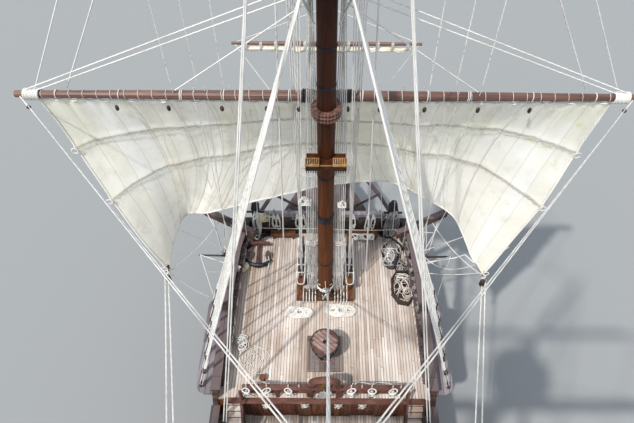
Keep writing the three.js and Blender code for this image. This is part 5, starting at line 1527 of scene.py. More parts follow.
# %% Falls and backstays
falls, tangled, backstays = [], [], []
for side, word in both():
    for k in range(7):
        y_top, y_low = 0.26 + 0.062 * k, 0.36 + 0.064 * k
        falls.append([Vector((11.86 - 0.05 * (k % 3), side * y_top, 14.15)),
                      Vector((11.4 - 0.06 * (k % 4), side * y_low, 5.86))])
        falls.append([Vector((11.7, side * (0.36 + 0.03 * (k % 4)), 20.1 - 0.2 * (k % 3))),
                      Vector((11.86 - 0.05 * (k % 3), side * y_top, 14.2))])
        tangled.append([Vector((11.62 + 0.05 * math.sin(j * 1.3 + k),
                                side * (0.36 + 0.065 * k + 0.035 * math.sin(j * 0.9 + 2 * k)),
                                5.85 + 0.24 * j))
                        for j in range(16 - 2 * (k % 3))])
    for k in range(6):
        falls.append([Vector((11.9 + 0.05 * k, side * (0.62 + 0.07 * k), 20.0)),
                      Vector((11.65 + 0.3 * k, side * (1.0 + 0.05 * (k % 3)), 6.6))])
    block_at = Vector((6.16, 3.94 if side > 0 else -4.14, 4.5))
    for k in (-0.5, 0.5):
        backstays.append([Vector((12.05, side * 0.02 - k * 0.02, 30.4)), block_at + Vector((0, k * 0.11, 0))])
        backstays.append([block_at + Vector((k * 0.06, k * 0.06, -0.1)),
                          Vector((6.0, side * 4.4 + k * 0.06, 3.14))])
    pulley(blocks["hull"], block_at, 0.14, (0.2, 0, 1))
    backstays.append([Vector((12.35, side * 1.15, 21.6)), Vector((12.5, side * 1.85, 5.55))])
    for k in range(2):
        backstays.append([Vector((-0.5, side * (0.12 + 0.04 * k), 36.0 - 0.5 * k)),
                          Vector((-6.1 + 0.3 * k, side * 5.1, 4.3))])
ropes("foremast_falls", falls, 0.018, sides=0)
ropes("foremast_hitched_falls", tangled, 0.022, sides=0)
ropes("backstays", backstays, 0.026)
bound = []
for side, _ in both():
    for z in (13.2, 9.2, 6.9):
        bound.append([Vector((11.6 + 0.16 * math.cos(a), side * 0.52 + 0.24 * math.sin(a), z + 0.012 * k))
                      for k, a in enumerate(angles(9, 27))])
ropes("fall_lashings", bound, 0.016, sides=0)

for mast, mast_x, head, z, deck, spread in (("mainmast", MAINMAST_X, 0.42, 23.4, 4.3, 1.3),
                                            ("mizzenmast", MIZZEN_X, 0.2, 17.6, 6.9, 0.7)):
    lines = []
    for side, _ in both():
        for k in range(6):
            lines.append([Vector((mast_x + 0.45 - 0.12 * k, side * head, z - 0.4 * k)),
                          Vector((mast_x + 0.7 - 0.28 * k, side * (spread + 0.05 * k), deck))])
    ropes(mast + "_falls", lines, 0.017, sides=0)
print("falls:", len(falls), "backstays:", len(backstays))

# %% [markdown]
# ## Upper stays, topmast shrouds and head gear
# The topmasts have light shrouds to the rims of the tops, and stays that lead forward: from the main
# topmast to the fore top, from the fore topmast to the bowsprit's end. The spritsail yard hangs in lifts.

# %% Upper rigging
upper = [[Vector((-0.3, 0, 35.5)), Vector((11.9, 0, 20.9))], [Vector((12.2, 0, 30.6)), bowsprit_top(26.9)]]
ropes("topmast_stays", upper, 0.028)
for name, head, rim, top_z in (("fore", (12.12, 30.2), 1.12, 21.05), ("main", (-0.38, 35.4), 1.32, 24.75)):
    for side, word in both():
        lines, rungs = [], []
        for k in range(4):
            low = Vector((head[0] - 0.55 - 0.22 * k, side * (rim - 0.03 * k), top_z))
            lines.append([Vector((head[0] - 0.02 * k, side * 0.1, head[1] + 0.05 * k)), low])
            under = Vector((head[0] - 0.62, side * 0.3, top_z - 2.4))
            lines.append([low - Vector((0, 0, 0.3)), under])
        for j in range(int((head[1] - top_z) / RATLINE_STEP) - 3):
            share = 0.04 + j * RATLINE_STEP / (head[1] - top_z)
            rungs.append([line[1].lerp(line[0], share) for line in lines[::2]])
        ropes(f"{name}_topmast_shrouds_{word}", lines, 0.018, sides=0)
        ropes(f"{name}_topmast_ratlines_{word}", rungs, 0.009, sides=0)
for side, word in both():
    lift = [bowsprit_top(26.6), (SPRIT_X, side * 4.9, SPRIT_Z + 0.1)]
    brace = [(13.2, side * 1.6, 15.0), (SPRIT_X - 0.1, side * 5.0, SPRIT_Z)]
    blended(f"spritsail_lift_{word}", lift, 0.016, "spritsail_yard", 0.0, 0.3)
    blended(f"spritsail_brace_{word}", brace, 0.015, "spritsail_yard", 0.3, 1.0)
    vang = [(-18.2, side * 2.1, 9.75), on_lateen(0.985)]
    blended(f"lateen_vang_{word}", vang, 0.015, "lateen_yard", 0.2, 1.0)
blended("lateen_lift", [(MIZZEN_X, 0.1, 20.2), on_lateen(0.8, -0.1)], 0.018, "lateen_yard", 0.0, 0.3)
blended("lateen_tack", [(-4.9, 0.9, 6.0), on_lateen(0.01)], 0.018, "lateen_yard", 0.0, 1.0)
gammon = []
for x0, turns, apart, proud, steps in ((15.1, 7, 0.07, 0.025, 14), (18.0, 4, 0.05, 0.02, 12),
                                       (19.6, 4, 0.05, 0.02, 12), (21.4, 4, 0.05, 0.02, 12),
                                       (23.6, 4, 0.05, 0.02, 12), (26.2, 4, 0.05, 0.02, 12)):
    for k in range(turns):
        x = x0 + apart * k
        r = bowsprit_radius(x) + proud
        gammon.append([Vector((x, r * math.cos(a), bowsprit_at(x).z + r * math.sin(a) * 1.05))
                       for a in angles(steps, steps + 1)])
ropes("bowsprit_lashings", gammon, 0.024, sides=0)
parrel_line = []
for k in range(3):
    parrel_line.append([Vector((MIZZEN_X + (0.33 + 0.02 * k) * math.cos(a),
                                0.18 + (0.42 + 0.02 * k) * math.sin(a),
                                lateen_z - 0.1 + 0.08 * k + 0.25 * math.cos(a)))
                        for a in angles(16, 17)])
ropes("lateen_parrel_rope", parrel_line, 0.025, "lateen_yard", sides=0)
for side, _ in both():
    for y in (1.2, 3.4, 5.6, 7.8):
        pulley(blocks["main_yard"], (-0.5, side * y, 19.25), 0.12)
for body, shape in blocks.items():
    piece(shape, "blocks_on_" + body, body, "block", smooth=60)
bunches = tangle((11.45, 0.72, 11.85), (0.13, 0.2), 0.3, 9, 91, 0.22)
bunches += tangle((11.3, -0.55, 11.9), (0.1, 0.13), 0.2, 7, 92, 0.18)
ropes("bunched_falls", bunches, 0.024, sides=0)
print("rigging aloft done")

# %% [markdown]
# ## The bulwarks of the forecastle
# Inside the bulwarks runs a dark boarded lining between stanchions, with a pin rail on it for the lines that
# lead down there. A grid gives the lining, laid along the ship's own lines.

# %% Bulwark linings, stanchions and pin rails
def inside_at(x, z, side, off):
    """A point off the inner face of the ship's side."""
    return side_at(x, z, side, -WALL - off)


def lining(name, x0, x1, z0, z1, finish="dark"):
    """Boards inside a bulwark from x0 to x1, with a stanchion every 92 cm."""
    for side, word in both():
        bm = bmesh.new()
        bmesh.ops.create_grid(bm, x_segments=int((x1 - x0) / 0.3), y_segments=2, size=0.5)
        for vert in bm.verts:
            x, z = x0 + (vert.co.x + 0.5) * (x1 - x0), z0 + (vert.co.y + 0.5) * (z1 - z0)
            vert.co = inside_at(x, z, side, 0.015)
        bmesh.ops.recalc_face_normals(bm, faces=bm.faces)
        bmesh.ops.solidify(bm, geom=bm.faces[:], thickness=0.012)
        x = x0 + 0.3
        while x < x1 - 0.2:
            low, high = inside_at(x, z0, side, 0.07), inside_at(x, z1, side, 0.05)
            plank(bm, low, high, 0.13, 0.12, up=(1, 0, 0), edge=0.012)
            x += 0.92
        piece(bm, f"{name}_lining_{word}", "hull", finish, recalculate=True)


lining("forecastle", 7.0, 14.45, 5.52, 6.38, "black")
lining("waist", -5.3, 6.6, 3.12, 4.46)
lining("quarterdeck", -11.9, -5.7, 5.62, 6.66)
lining("poop", -18.4, -12.2, 8.02, 8.86)


def pin_rail(bm, x0, x1, z, side, hung, seed):
    """A plank with pins along the bulwark; the hanks that hang from it are added to a list."""
    chance = random.Random(seed)
    steps = max(1, int((x1 - x0) / 0.8))
    for i in range(steps):
        a, b = (inside_at(x0 + (x1 - x0) * j / steps, z, side, 0.16) for j in (i, i + 1))
        plank(bm, a, b, 0.2, 0.07, edge=0.01)
    x = x0 + 0.2
    while x < x1:
        at = inside_at(x, z, side, 0.19)
        bar(bm, at - Vector((0, 0, 0.16)), at + Vector((0, 0, 0.2)), 0.02, 0.03, 6)
        if chance.random() < 0.8:
            hung.append(hank(at + Vector((0, 0, 0.03)), 0.45 + 0.2 * chance.random(), 0.13, 3, (0, -side, 0),
                             seed + int(x * 9), 0.028))
        x += 0.42


pin_rails, rail_hanks = bmesh.new(), []
for side, _ in both():
    for x0, x1, z, seed in ((7.2, 13.6, 6.12, 300), (-5.0, 0.6, 4.2, 400), (-11.6, -7.6, 6.3, 500)):
        pin_rail(pin_rails, x0, x1, z, side, rail_hanks, seed + side)
piece(pin_rails, "pin_rails", "hull", "rail")
ropes("pin_rail_hanks", rail_hanks, 0.02, sides=0)
print("pin rails:", len(rail_hanks), "hanks")

# %% [markdown]
# ## The head of the forecastle
# Two blackened timberheads stand at the corners of the bow bulkhead, with the longest coils of the ship
# hung over them. Between them a grey rail on short posts carries smaller hanks, and a brown bench stands
# below.

# %% Timberheads, head rail and bench
heads = bmesh.new()
for y, wide in ((3.2, 0.17), (-3.06, 0.2)):
    block(heads, (14.56, y - wide, 5.52), (14.86, y + wide, 7.45), 0.03)
    point = Matrix.Translation((14.71, y, 7.66)) @ Matrix.Rotation(math.pi / 4, 4, "Z")
    bmesh.ops.create_cone(heads, cap_ends=True, segments=4, radius1=wide * 1.5, radius2=wide * 0.55,
                          depth=0.45, matrix=point)
    bar(heads, (14.6, y - 0.42, 7.2), (14.6, y + 0.42, 7.2), 0.05, None, 8)
for side, _ in both():
    for k in range(5):
        a, b = ((14.5 - 0.2 * j**2 / 4, side * (2.6 + 0.26 * j), 5.56) for j in (k, k + 1))
        plank(heads, a, b, 0.12, 0.16, edge=0.01)
piece(heads, "bow_timberheads", "hull", "black")

head_rail = bmesh.new()
for y0, y1 in ((0.72, 2.95), (-2.8, -0.72)):
    block(head_rail, (14.62, y0, 6.78), (14.84, y1, 7.02), 0.03)
    for k in range(4):
        y = y0 + 0.12 + (y1 - y0 - 0.24) * k / 3
        block(head_rail, (14.66, y - 0.07, 6.5), (14.8, y + 0.07, 6.8), 0.01)
        bar(head_rail, (14.73, y + 0.2, 6.7), (14.73, y + 0.2, 7.22), 0.022, 0.03, 6)
piece(head_rail, "head_rail", "hull", "lilac")

bench = bmesh.new()
for y0, y1 in ((1.42, 2.58), (-2.5, -1.0)):
    for k in range(2):
        block(bench, (14.2 + 0.17 * k, y0, 5.86), (14.35 + 0.17 * k, y1, 5.92), 0.012)
    for y in (y0 + 0.12, y1 - 0.12):
        block(bench, (14.24, y - 0.04, 5.51), (14.5, y + 0.04, 5.86), 0.01)
    block(bench, (14.22, y0 + 0.05, 5.74), (14.26, y1 - 0.05, 5.86), 0.008)
piece(bench, "bow_benches", "hull", "orange")

white = [hank((14.5, 3.22, 7.3), 1.62, 0.2, 10, (-1, 0, 0), 5, 0.03),
         hank((14.46, 3.1, 7.34), 1.35, 0.12, 5, (-1, 0, 0.1), 6, 0.03)]
small = ((2.38, 1.0, 4), (2.2, 1.05, 3), (1.3, 0.95, 4), (1.02, 0.9, 3), (-1.27, 0.9, 4), (-1.95, 1.15, 6),
         (-2.2, 1.0, 3))
for k, (y, drop, turns) in enumerate(small):
    white.append(hank((14.52, y, 7.06), drop, 0.13, turns, (-1, 0, 0), 80 + k, 0.024))
ropes("head_coils_white", white, 0.028)
grey = [hank((14.48, -3.06 + 0.1 * k, 7.4 - 0.04 * k), 1.75, 0.26, 8, (-1, 0.1 * k, 0), 90 + k, 0.034)
        for k in (-1, 0, 1)]
ropes("head_coils_grey", grey, 0.03, finish="grey_rope")
yellowish = tangle((14.6, 2.86, 6.9), (0.16, 0.26), 0.2, 14, 95, 0.16)
for line in yellowish:
    for at in line:
        at.x, at.z = 14.52 - (at.z - 6.9) * 0.8, 6.62 + (at.x - 14.44) * 1.9
ropes("yellow_line_bundle", yellowish, 0.024, finish="yellow_rope")
foot_coil = tangle((14.1, -1.75, DECK + 0.42), (0.14, 0.62), 0.08, 14, 97, 0.26)
foot_coil += [flat_coil((14.15, 3.75, DECK), 0.2, 3, (1, 0.8), 0.03, 98)]
ropes("bench_coils", foot_coil, 0.024)
life_line = [sagging((14.42, 3.3, 6.2), (14.42, 0.3, 6.15), 0.01, 8),
             sagging((14.42, -0.3, 6.12), (14.3, -3.5, 6.3), 0.02, 8),
             sagging((14.3, -3.5, 6.3), (13.9, -5.0, 6.6), 0.01, 4)]
ropes("life_line", life_line, 0.016)
print("bow gear hung")

# %% [markdown]
# ## The anchor on deck
# A spare anchor lies on the port bow: a tapered shank of iron, a wooden stock, a heavy crescent of arms and
# two palms. The crescent is a circle of iron spun part of a turn, then thinned towards its bills.

# %% Anchor
ANCHOR_Y, ANCHOR_Z = 3.1, 5.68
iron = bmesh.new()
bar(iron, (12.75, ANCHOR_Y - 0.03, ANCHOR_Z), (14.15, ANCHOR_Y + 0.03, ANCHOR_Z + 0.02), 0.1, 0.06, 8)
ring(iron, (14.28, ANCHOR_Y + 0.03, ANCHOR_Z + 0.02), 0.13, 0.03, (0.3, 0, 1), 16, 6)
piece(iron, "anchor_shank", "hull", "anchor_iron", nodes=["deck_anchor"])

arms = bmesh.new()
REACH, TURN = 0.62, 2.3
start_of_bow = Matrix.Translation((-REACH, 0, 0)) @ Matrix.Rotation(math.pi / 2, 4, "X")
section = bmesh.ops.create_circle(arms, cap_ends=True, segments=8, radius=0.125, matrix=start_of_bow)["verts"]
around, caps = {e for v in section for e in v.link_edges}, {f for v in section for f in v.link_faces}
geometry = section + list(around) + list(caps)
bmesh.ops.rotate(arms, verts=arms.verts, cent=(0, 0, 0), matrix=Matrix.Rotation(-TURN / 2, 3, "Z"))
bmesh.ops.spin(arms, geom=geometry, cent=(0, 0, 0), axis=(0, 0, 1), angle=TURN, steps=16)
for vert in arms.verts:
    turn = math.atan2(vert.co.y, -vert.co.x)
    centre = Vector((-REACH * math.cos(turn), REACH * math.sin(turn), 0))
    vert.co = centre + (vert.co - centre) * (1.05 - 0.6 * abs(turn) / (TURN / 2))
    vert.co.x *= 0.86
bmesh.ops.translate(arms, verts=arms.verts, vec=(13.22, ANCHOR_Y - 0.03, ANCHOR_Z))
piece(arms, "anchor_arms", "hull", "iron", recalculate=True)

palms = bmesh.new()
for sign in (1, -1):
    palm = bmesh.new()
    bmesh.ops.create_circle(palm, cap_ends=True, segments=7, radius=0.19)
    bmesh.ops.solidify(palm, geom=palm.faces[:], thickness=0.05)
    bmesh.ops.scale(palm, verts=palm.verts, vec=(1.15, 0.72, 1))
    lean = Matrix.Rotation(sign * 0.35, 3, "X") @ Matrix.Rotation(-0.25, 3, "Y")
    bmesh.ops.rotate(palm, verts=palm.verts, cent=(0, 0, 0), matrix=lean)
    bmesh.ops.translate(palm, verts=palm.verts, vec=(13.2, ANCHOR_Y - 0.03 + sign * 0.42, ANCHOR_Z + 0.1))
    shape = bpy.data.meshes.new("palm")
    palm.to_mesh(shape)
    palms.from_mesh(shape)
    bpy.data.meshes.remove(shape)
piece(palms, "anchor_palms", "hull", "anchor_iron", recalculate=True)

stock = bmesh.new()
for sign in (1, -1):
    middle = Vector((13.82, ANCHOR_Y, ANCHOR_Z + 0.12))
    plank(stock, middle, middle + Vector((0, sign * 0.5, 0)), 0.14, 0.14, edge=0.02)
for y in (-0.3, -0.12, 0.12, 0.3):
    block(stock, (13.74, ANCHOR_Y + y - 0.02, ANCHOR_Z + 0.04), (13.9, ANCHOR_Y + y + 0.02, ANCHOR_Z + 0.2),
          0.0)
piece(stock, "anchor_stock", "hull", "red_brown")
anchor_lines = [flat_coil((14.2, ANCHOR_Y + 0.12, ANCHOR_Z + 0.04), 0.13, 2, (1, 1), 0.02, 7),
                [(13.1, 2.62, ANCHOR_Z + 0.14), (12.9, 2.56, ANCHOR_Z + 0.05), (12.5, 2.62, DECK + 0.02)]]
ropes("anchor_line", anchor_lines, 0.018)
fender = bmesh.new()
ball(fender, (12.66, 3.62, DECK + 0.14), 0.17, (1.2, 0.95, 0.9), sides=12)
ball(fender, (12.5, 3.72, DECK + 0.1), 0.12, (1.2, 0.95, 0.9), sides=10)
piece(fender, "rope_fender", "hull", "yellow_rope", smooth=60)
ropes("port_corner_coil", [hank((12.2, 3.86, 6.4), 0.42, 0.15, 6, (0, -1, 0), 12, 0.03)], 0.026)
print("anchor laid down")

# %% [markdown]
# ## Gear at the catheads
# A cathead holds an anchor clear of the side. Its tackle hangs below it, with slack lines led inboard, and
# small booms stick out abaft it with their own guys.

# %% Cathead tackle and outboard booms
CAT_IN, CAT_OUT = Vector((13.81, 3.2, 6.76)), Vector((15.1, 5.66, 6.76))
cat_blocks, tackle, booms = bmesh.new(), [], bmesh.new()
way = (CAT_OUT - CAT_IN).normalized()
for side, _ in both():
    flip = Vector((1, side, 1))
    for k in range(3):
        at = (CAT_OUT - way * (0.14 + 0.13 * k)) * flip
        bar(booms, at + Vector((0, -0.02, -0.40)), at + Vector((0, 0.02, 0.012)), 0.035, None, 6)
    for k, (out, low) in enumerate(((0.35, Vector((14.0, 5.0, 4.9))), (1.05, Vector((13.9, 4.85, 4.95))))):
        high = (CAT_OUT - way * out) * flip - Vector((0, 0, 0.36))
        for j in (-0.05, 0.05):
            tackle.append([high + Vector((j, 0, 0)), low * flip + Vector((j * 0.4, 0, 0))])
    foot = Vector((13.95, 4.92, 4.85)) * flip
    pulley(cat_blocks, foot, 0.2, (0.3, 0, 1))
    tackle.append([foot, Vector((13.2, 4.4 * side, 5.9)), Vector((12.9, 4.25 * side, 6.4))])
    tackle.append(sagging(CAT_OUT * flip + Vector((0, 0, 0.02)), (12.6, 4.2 * side, 6.6), 0.02, 6))
    tackle.append(sagging((CAT_OUT - way * 1.5) * flip, (12.9, 4.3 * side, 6.5), 0.12, 8))
    bar(booms, (12.95, side * 4.1, 6.05), (13.05, side * 5.75, 5.95), 0.055, 0.035, 8)
    tackle.append([Vector((13.05, side * 5.7, 5.98)), Vector((12.3, side * 4.4, 6.5))])
    tackle.append([Vector((13.05, side * 5.7, 5.98)), Vector((11.2, side * 4.9, 5.75))])
piece(cat_blocks, "cat_blocks", "hull", "lilac", smooth=60)
piece(booms, "cathead_sheaves_and_booms", "hull", "dark")
ropes("cat_tackle", tackle, 0.017, sides=0)
bulwark_lines = []
chance = random.Random(17)
for k in range(15):
    x = 9.6 + 0.3 * k + 0.15 * chance.random()
    at = inside_at(x, 6.42, -1, 0.04 + 0.05 * (k % 3))
    bulwark_lines.append(hank(at, 0.6 + 0.35 * chance.random(), 0.16, 3, (0.3 * chance.random(), 1, 0),
                              600 + k, 0.028))
ropes("lines_inside_the_rail", bulwark_lines, 0.018, finish="grey_rope", sides=0)
at_boom = Vector((12.95, -5.85, 6.0))
guys = [[Vector((12.4, -4.3, 6.45)), at_boom],
        [at_boom, Vector((13.1, -6.35, 6.05)), Vector((12.7, -6.7, 6.0))]]
ropes("boom_guys", guys, 0.03)
print("cathead gear done")

# %% [markdown]
# ## The ship's sides
# Over the planking run mouldings at the deck levels, upright riders amidships and steps for boarding. The gun
# ports are shut: a lid with two strap hinges in a frame. Each moulding is a band swept along the side by its
# corners at many places.

# %% Mouldings, riders and steps
def moulding(bm, x0, x1, height, tall, out, side):
    """A rounded band along the ship's side from x0 to x1, at the height that a function gives for each x."""
    steps = max(2, int(abs(x1 - x0) / 0.7))
    section = ((-0.5, -0.03), (-0.5, out * 0.7), (-0.2, out), (0.2, out), (0.5, out * 0.7), (0.5, -0.03))

    def corner(i, j):
        x = x0 + (x1 - x0) * i / steps
        return side_at(x, height(x) + section[j][0] * tall, side, section[j][1])

    face = bm.faces.new([bm.verts.new(corner(0, j)) for j in range(6)])
    for i in range(1, steps + 1):
        pushed = bmesh.ops.extrude_face_region(bm, geom=[face], use_keep_orig=i == 1)
        face = [part for part in pushed["geom"] if isinstance(part, bmesh.types.BMFace)][0]
        for vert in face.verts:
            near = min(range(6), key=lambda j: (corner(i - 1, j) - vert.co).length)
            vert.co = corner(i, near)


def swept(base, lift=0.0):
    """A line that rises towards both ends of the ship, or a level one."""
    return lambda x: base + lift * ((x + 1) / 19) ** 2


# Each moulding: from x, to x, its height, how tall it is and how far it stands out.
MOULDINGS = ((-18.3, 15.2, swept(2.62, 0.62), 0.2, 0.07), (-18.6, -5.5, swept(4.42, 0.5), 0.12, 0.05),
             (-18.7, -5.5, swept(5.5), 0.14, 0.06), (6.95, 14.5, swept(5.33), 0.14, 0.06),
             (-5.5, 6.8, swept(4.32), 0.1, 0.05), (-19.2, -12.0, swept(7.85), 0.14, 0.06),
             (-19.0, -12.0, swept(6.7), 0.1, 0.05), (6.95, 14.4, swept(6.24), 0.1, 0.04))
RIDERS = ((4.9, 4.3), (2.3, 4.3), (1.5, 4.3), (-0.2, 4.3), (-8.2, 6.6), (-10.4, 6.6))
RIDER_FOOT, STEPS_UP = 0.6, 9
for side, word in both():
    bands = bmesh.new()
    for x0, x1, height, tall, out in MOULDINGS:
        moulding(bands, x0, x1, height, tall, out, side)
    piece(bands, "side_mouldings_" + word, "hull", "red_brown", recalculate=True)
    upright = bmesh.new()
    for x, top in RIDERS:
        for i in range(5):
            a, b = (side_at(x, RIDER_FOOT + (top - RIDER_FOOT) * j / 5, side, 0.03) for j in (i, i + 1))
            plank(upright, a, b, 0.16, 0.14, up=(0, side, 0), edge=0.015)
    for i in range(STEPS_UP):
        z = 0.9 + 0.39 * i
        plank(upright, side_at(3.25, z, side, 0.05), side_at(3.85, z, side, 0.05), 0.14, 0.06, edge=0.012)
    piece(upright, "side_riders_and_steps_" + word, "hull", "dark")

# %% Gun ports, scuppers and hawse holes
# Each port: its x and height, then how wide and how tall its lid is.
PORTS = [(x, 3.72, 0.6, 0.52) for x in (5.7, 4.1, 0.65, -2.3, -4.0)]
PORTS += [(x, swept(2.05, 0.6)(x), 0.62, 0.56) for x in (8.9, 7.3)]
PORTS += [(x, 4.95, 0.6, 0.54) for x in (-7.0, -9.4, -15.0)] + [(x, 4.6, 0.56, 0.5) for x in (12.2, 9.9)]
SCUPPERS = [(x, 3.16) for x in (-3.2, -1.2, 3.0, 5.2)] + [(x, 5.66) for x in (-8.6, -14.0, 10.6)]
HAWSE_X, HAWSE_Z = 16.3, 3.55
for side, word in both():
    lids, frames, irons = bmesh.new(), bmesh.new(), bmesh.new()
    for x, z, wide, tall in PORTS:
        low, high = side_at(x, z - tall / 2, side, 0.03), side_at(x, z + tall / 2, side, 0.03)
        along = (side_at(x + 0.3, z, side, 0) - side_at(x - 0.3, z, side, 0)).normalized()
        out = Vector((-along.y * side, along.x * side, 0)).normalized()
        plank(lids, low, high, wide, 0.06, up=out, edge=0.012)
        for k in (-1, 1):
            jamb, hinge = along * k * (wide / 2 + 0.05), along * k * wide * 0.3
            plank(frames, low + jamb, high + jamb, 0.07, 0.08, up=out)
            plank(irons, low + hinge + out * 0.035, high + hinge + out * 0.035, 0.05, 0.012, up=out,
                  edge=0.003)
            pin = high + hinge + out * 0.03
            bar(irons, pin - along * 0.06, pin + along * 0.06, 0.022, None, 8)
        for end, up in ((low, -0.05), (high, 0.05)):
            middle = end + Vector((0, 0, up))
            plank(frames, middle - along * (wide / 2 + 0.09), middle + along * (wide / 2 + 0.09), 0.08, 0.07,
                  edge=0.012)
        ring(irons, (low + high) / 2 + out * 0.045 - Vector((0, 0, 0.12)), 0.045, 0.01, out, 12, 5)
    for x, z in SCUPPERS:
        bar(irons, side_at(x, z, side, -0.02), side_at(x, z, side, 0.035), 0.05, 0.055, 10)
    bow_way = (0.62, side * 0.75, 0.1)
    ring(irons, side_at(HAWSE_X, HAWSE_Z, side, 0.03), 0.2, 0.055, bow_way, 20, 8)
    piece(lids, "port_lids_" + word, "hull", "rail")
    piece(frames, "port_frames_" + word, "hull", "red_brown")
    piece(irons, "side_irons_" + word, "hull", "iron")
    # A flat black disc in the hawse ring: painted shade of the hole.
    hawse_shade_disc = bmesh.new()
    ball(hawse_shade_disc, side_at(HAWSE_X, HAWSE_Z, side, 0.0), 0.17, (1, 1, 0.25), bow_way, 14)
    piece(hawse_shade_disc, "hawse_hole_shade_" + word, "hull", "black")
print("ports on a side:", len(PORTS))

# %% [markdown]
# ## The stern
# The transom carries the great cabin's windows between pilasters, mouldings at each deck, two ports, a blank
# name board and plain carved scrolls under the arched taffrail. Everything is laid on the raking plane of
# the transom with `on_stern`.

# %% Stern windows, mouldings and scrolls
OUT, UP = Vector((-0.957, 0, -0.287)), Vector((-0.287, 0, 0.957))


def on_stern(y, z, out=0.0):
    """A place on the transom's raking plane, or a little outside of it."""
    return Vector((-12 - (5.6 + 0.3 * z) * 1.029, y, z)) + OUT * out


def stern_plank(bm, start, end, off, wide, deep, up=UP, edge=0.01):
    plank(bm, on_stern(*start, off), on_stern(*end, off), wide, deep, up=up, edge=edge)


panels, trims, panes, gilt, lids, irons = (bmesh.new() for _ in range(6))
for z, tall, out in ((3.55, 0.16, 0.1), (4.75, 0.14, 0.1), (6.05, 0.18, 0.16), (6.5, 0.1, 0.1),
                     (7.72, 0.16, 0.14), (8.5, 0.08, 0.07)):
    reach = half_breadth(TRANSOM_PLACE, z) + 0.02
    stern_plank(trims, (-reach, z), (reach, z), out / 2, out, tall, edge=0.02)
for low_z, high_z, places, wide in ((4.95, 5.8, (-2.05, -1.05, 0.0, 1.05, 2.05), 0.66),
                                    (6.7, 7.45, (-1.3, 0.0, 1.3), 0.62)):
    for y in places:
        stern_plank(panes, (y, low_z), (y, high_z), 0.02, wide, 0.02, OUT, 0.0)
        for k in (-1, 1):
            jamb = y + k * wide / 2
            stern_plank(trims, (jamb, low_z - 0.06), (jamb, high_z + 0.06), 0.05, 0.07, 0.08, OUT)
        for z in (low_z, high_z):
            stern_plank(trims, (y - wide / 2 - 0.06, z), (y + wide / 2 + 0.06, z), 0.05, 0.1, 0.07)
        for k in (-1, 0, 1):
            glazing = y + k * wide / 4
            stern_plank(trims, (glazing, low_z), (glazing, high_z), 0.035, 0.022, 0.02, OUT, 0.0)
        for k in (1, 2, 3):
            z = low_z + (high_z - low_z) * k / 4
            stern_plank(trims, (y - wide / 2, z), (y + wide / 2, z), 0.035, 0.02, 0.022, edge=0.0)
    between = [(a + b) / 2 for a, b in zip(places, places[1:])]
    for y in (places[0] - 0.58, *between, places[-1] + 0.58):
        stern_plank(gilt, (y, low_z - 0.1), (y, high_z + 0.1), 0.06, 0.11, 0.1, OUT, 0.03)
for y in (-1.45, 1.45):
    stern_plank(lids, (y, 3.85), (y, 4.4), 0.04, 0.6, 0.06, OUT, 0.012)
    for k in (-0.18, 0.18):
        stern_plank(irons, (y + k, 3.85), (y + k, 4.4), 0.075, 0.05, 0.012, OUT, 0.003)
for k in range(9):
    y = -1.8 + 0.45 * k
    bar(gilt, on_stern(y, 6.1, 0.12), on_stern(y, 6.46, 0.12), 0.045, 0.03, 8)
stern_plank(panels, (-1.5, 8.12), (1.5, 8.12), 0.03, 0.05, 0.46, edge=0.02)
for z in (1.5, 2.15, 2.8):
    reach = half_breadth(TRANSOM_PLACE, z) - 0.1
    for k in (-1, 1):
        stern_plank(panels, (k * 0.3, z), (k * max(0.6, reach), z), 0.02, 0.04, 0.1)
scrolls = []
for side, _ in both():
    for centre_y, centre_z, big in ((0.75, 8.98, 0.3), (1.6, 8.9, 0.2), (2.35, 6.28, 0.1)):
        scrolls.append([on_stern(side * (centre_y + big * (1 - k / 26) * math.cos(0.55 * k)),
                                 centre_z + big * (1 - k / 26) * math.sin(0.55 * k), 0.06)
                        for k in range(24)])
    scrolls.append([on_stern(side * (0.12 + 0.1 * k), 9.25 - 0.02 * k * k / 8 + 0.05 * math.sin(k), 0.06)
                    for k in range(20)])
taffrail = [(y, 9.64 - 0.08 * y**2) for y in [-2.45 + 4.9 * k / 14 for k in range(15)]]
for a, b in zip(taffrail, taffrail[1:]):
    stern_plank(trims, a, b, 0.05, 0.12, 0.14, edge=0.02)
for side, _ in both():
    edge = [(side * (half_breadth(TRANSOM_PLACE, z) - 0.02), z)
            for z in (1.2, 2.2, 3.2, 4.3, 5.3, 6.4, 7.6, 8.6, 9.1)]
    for a, b in zip(edge, edge[1:]):
        stern_plank(trims, a, b, 0.05, 0.14, 0.1, OUT, 0.02)
piece(panels, "stern_name_board_and_battens", "hull", "dark")
piece(trims, "stern_mouldings", "hull", "red_brown")
piece(panes, "stern_window_panes", "hull", "pane")
piece(gilt, "stern_pilasters", "hull", "ochre")
piece(lids, "stern_port_lids", "hull", "rail")
piece(irons, "stern_port_irons", "hull", "iron")
ropes("stern_scrolls", scrolls, 0.05, finish="ochre", sides=2)

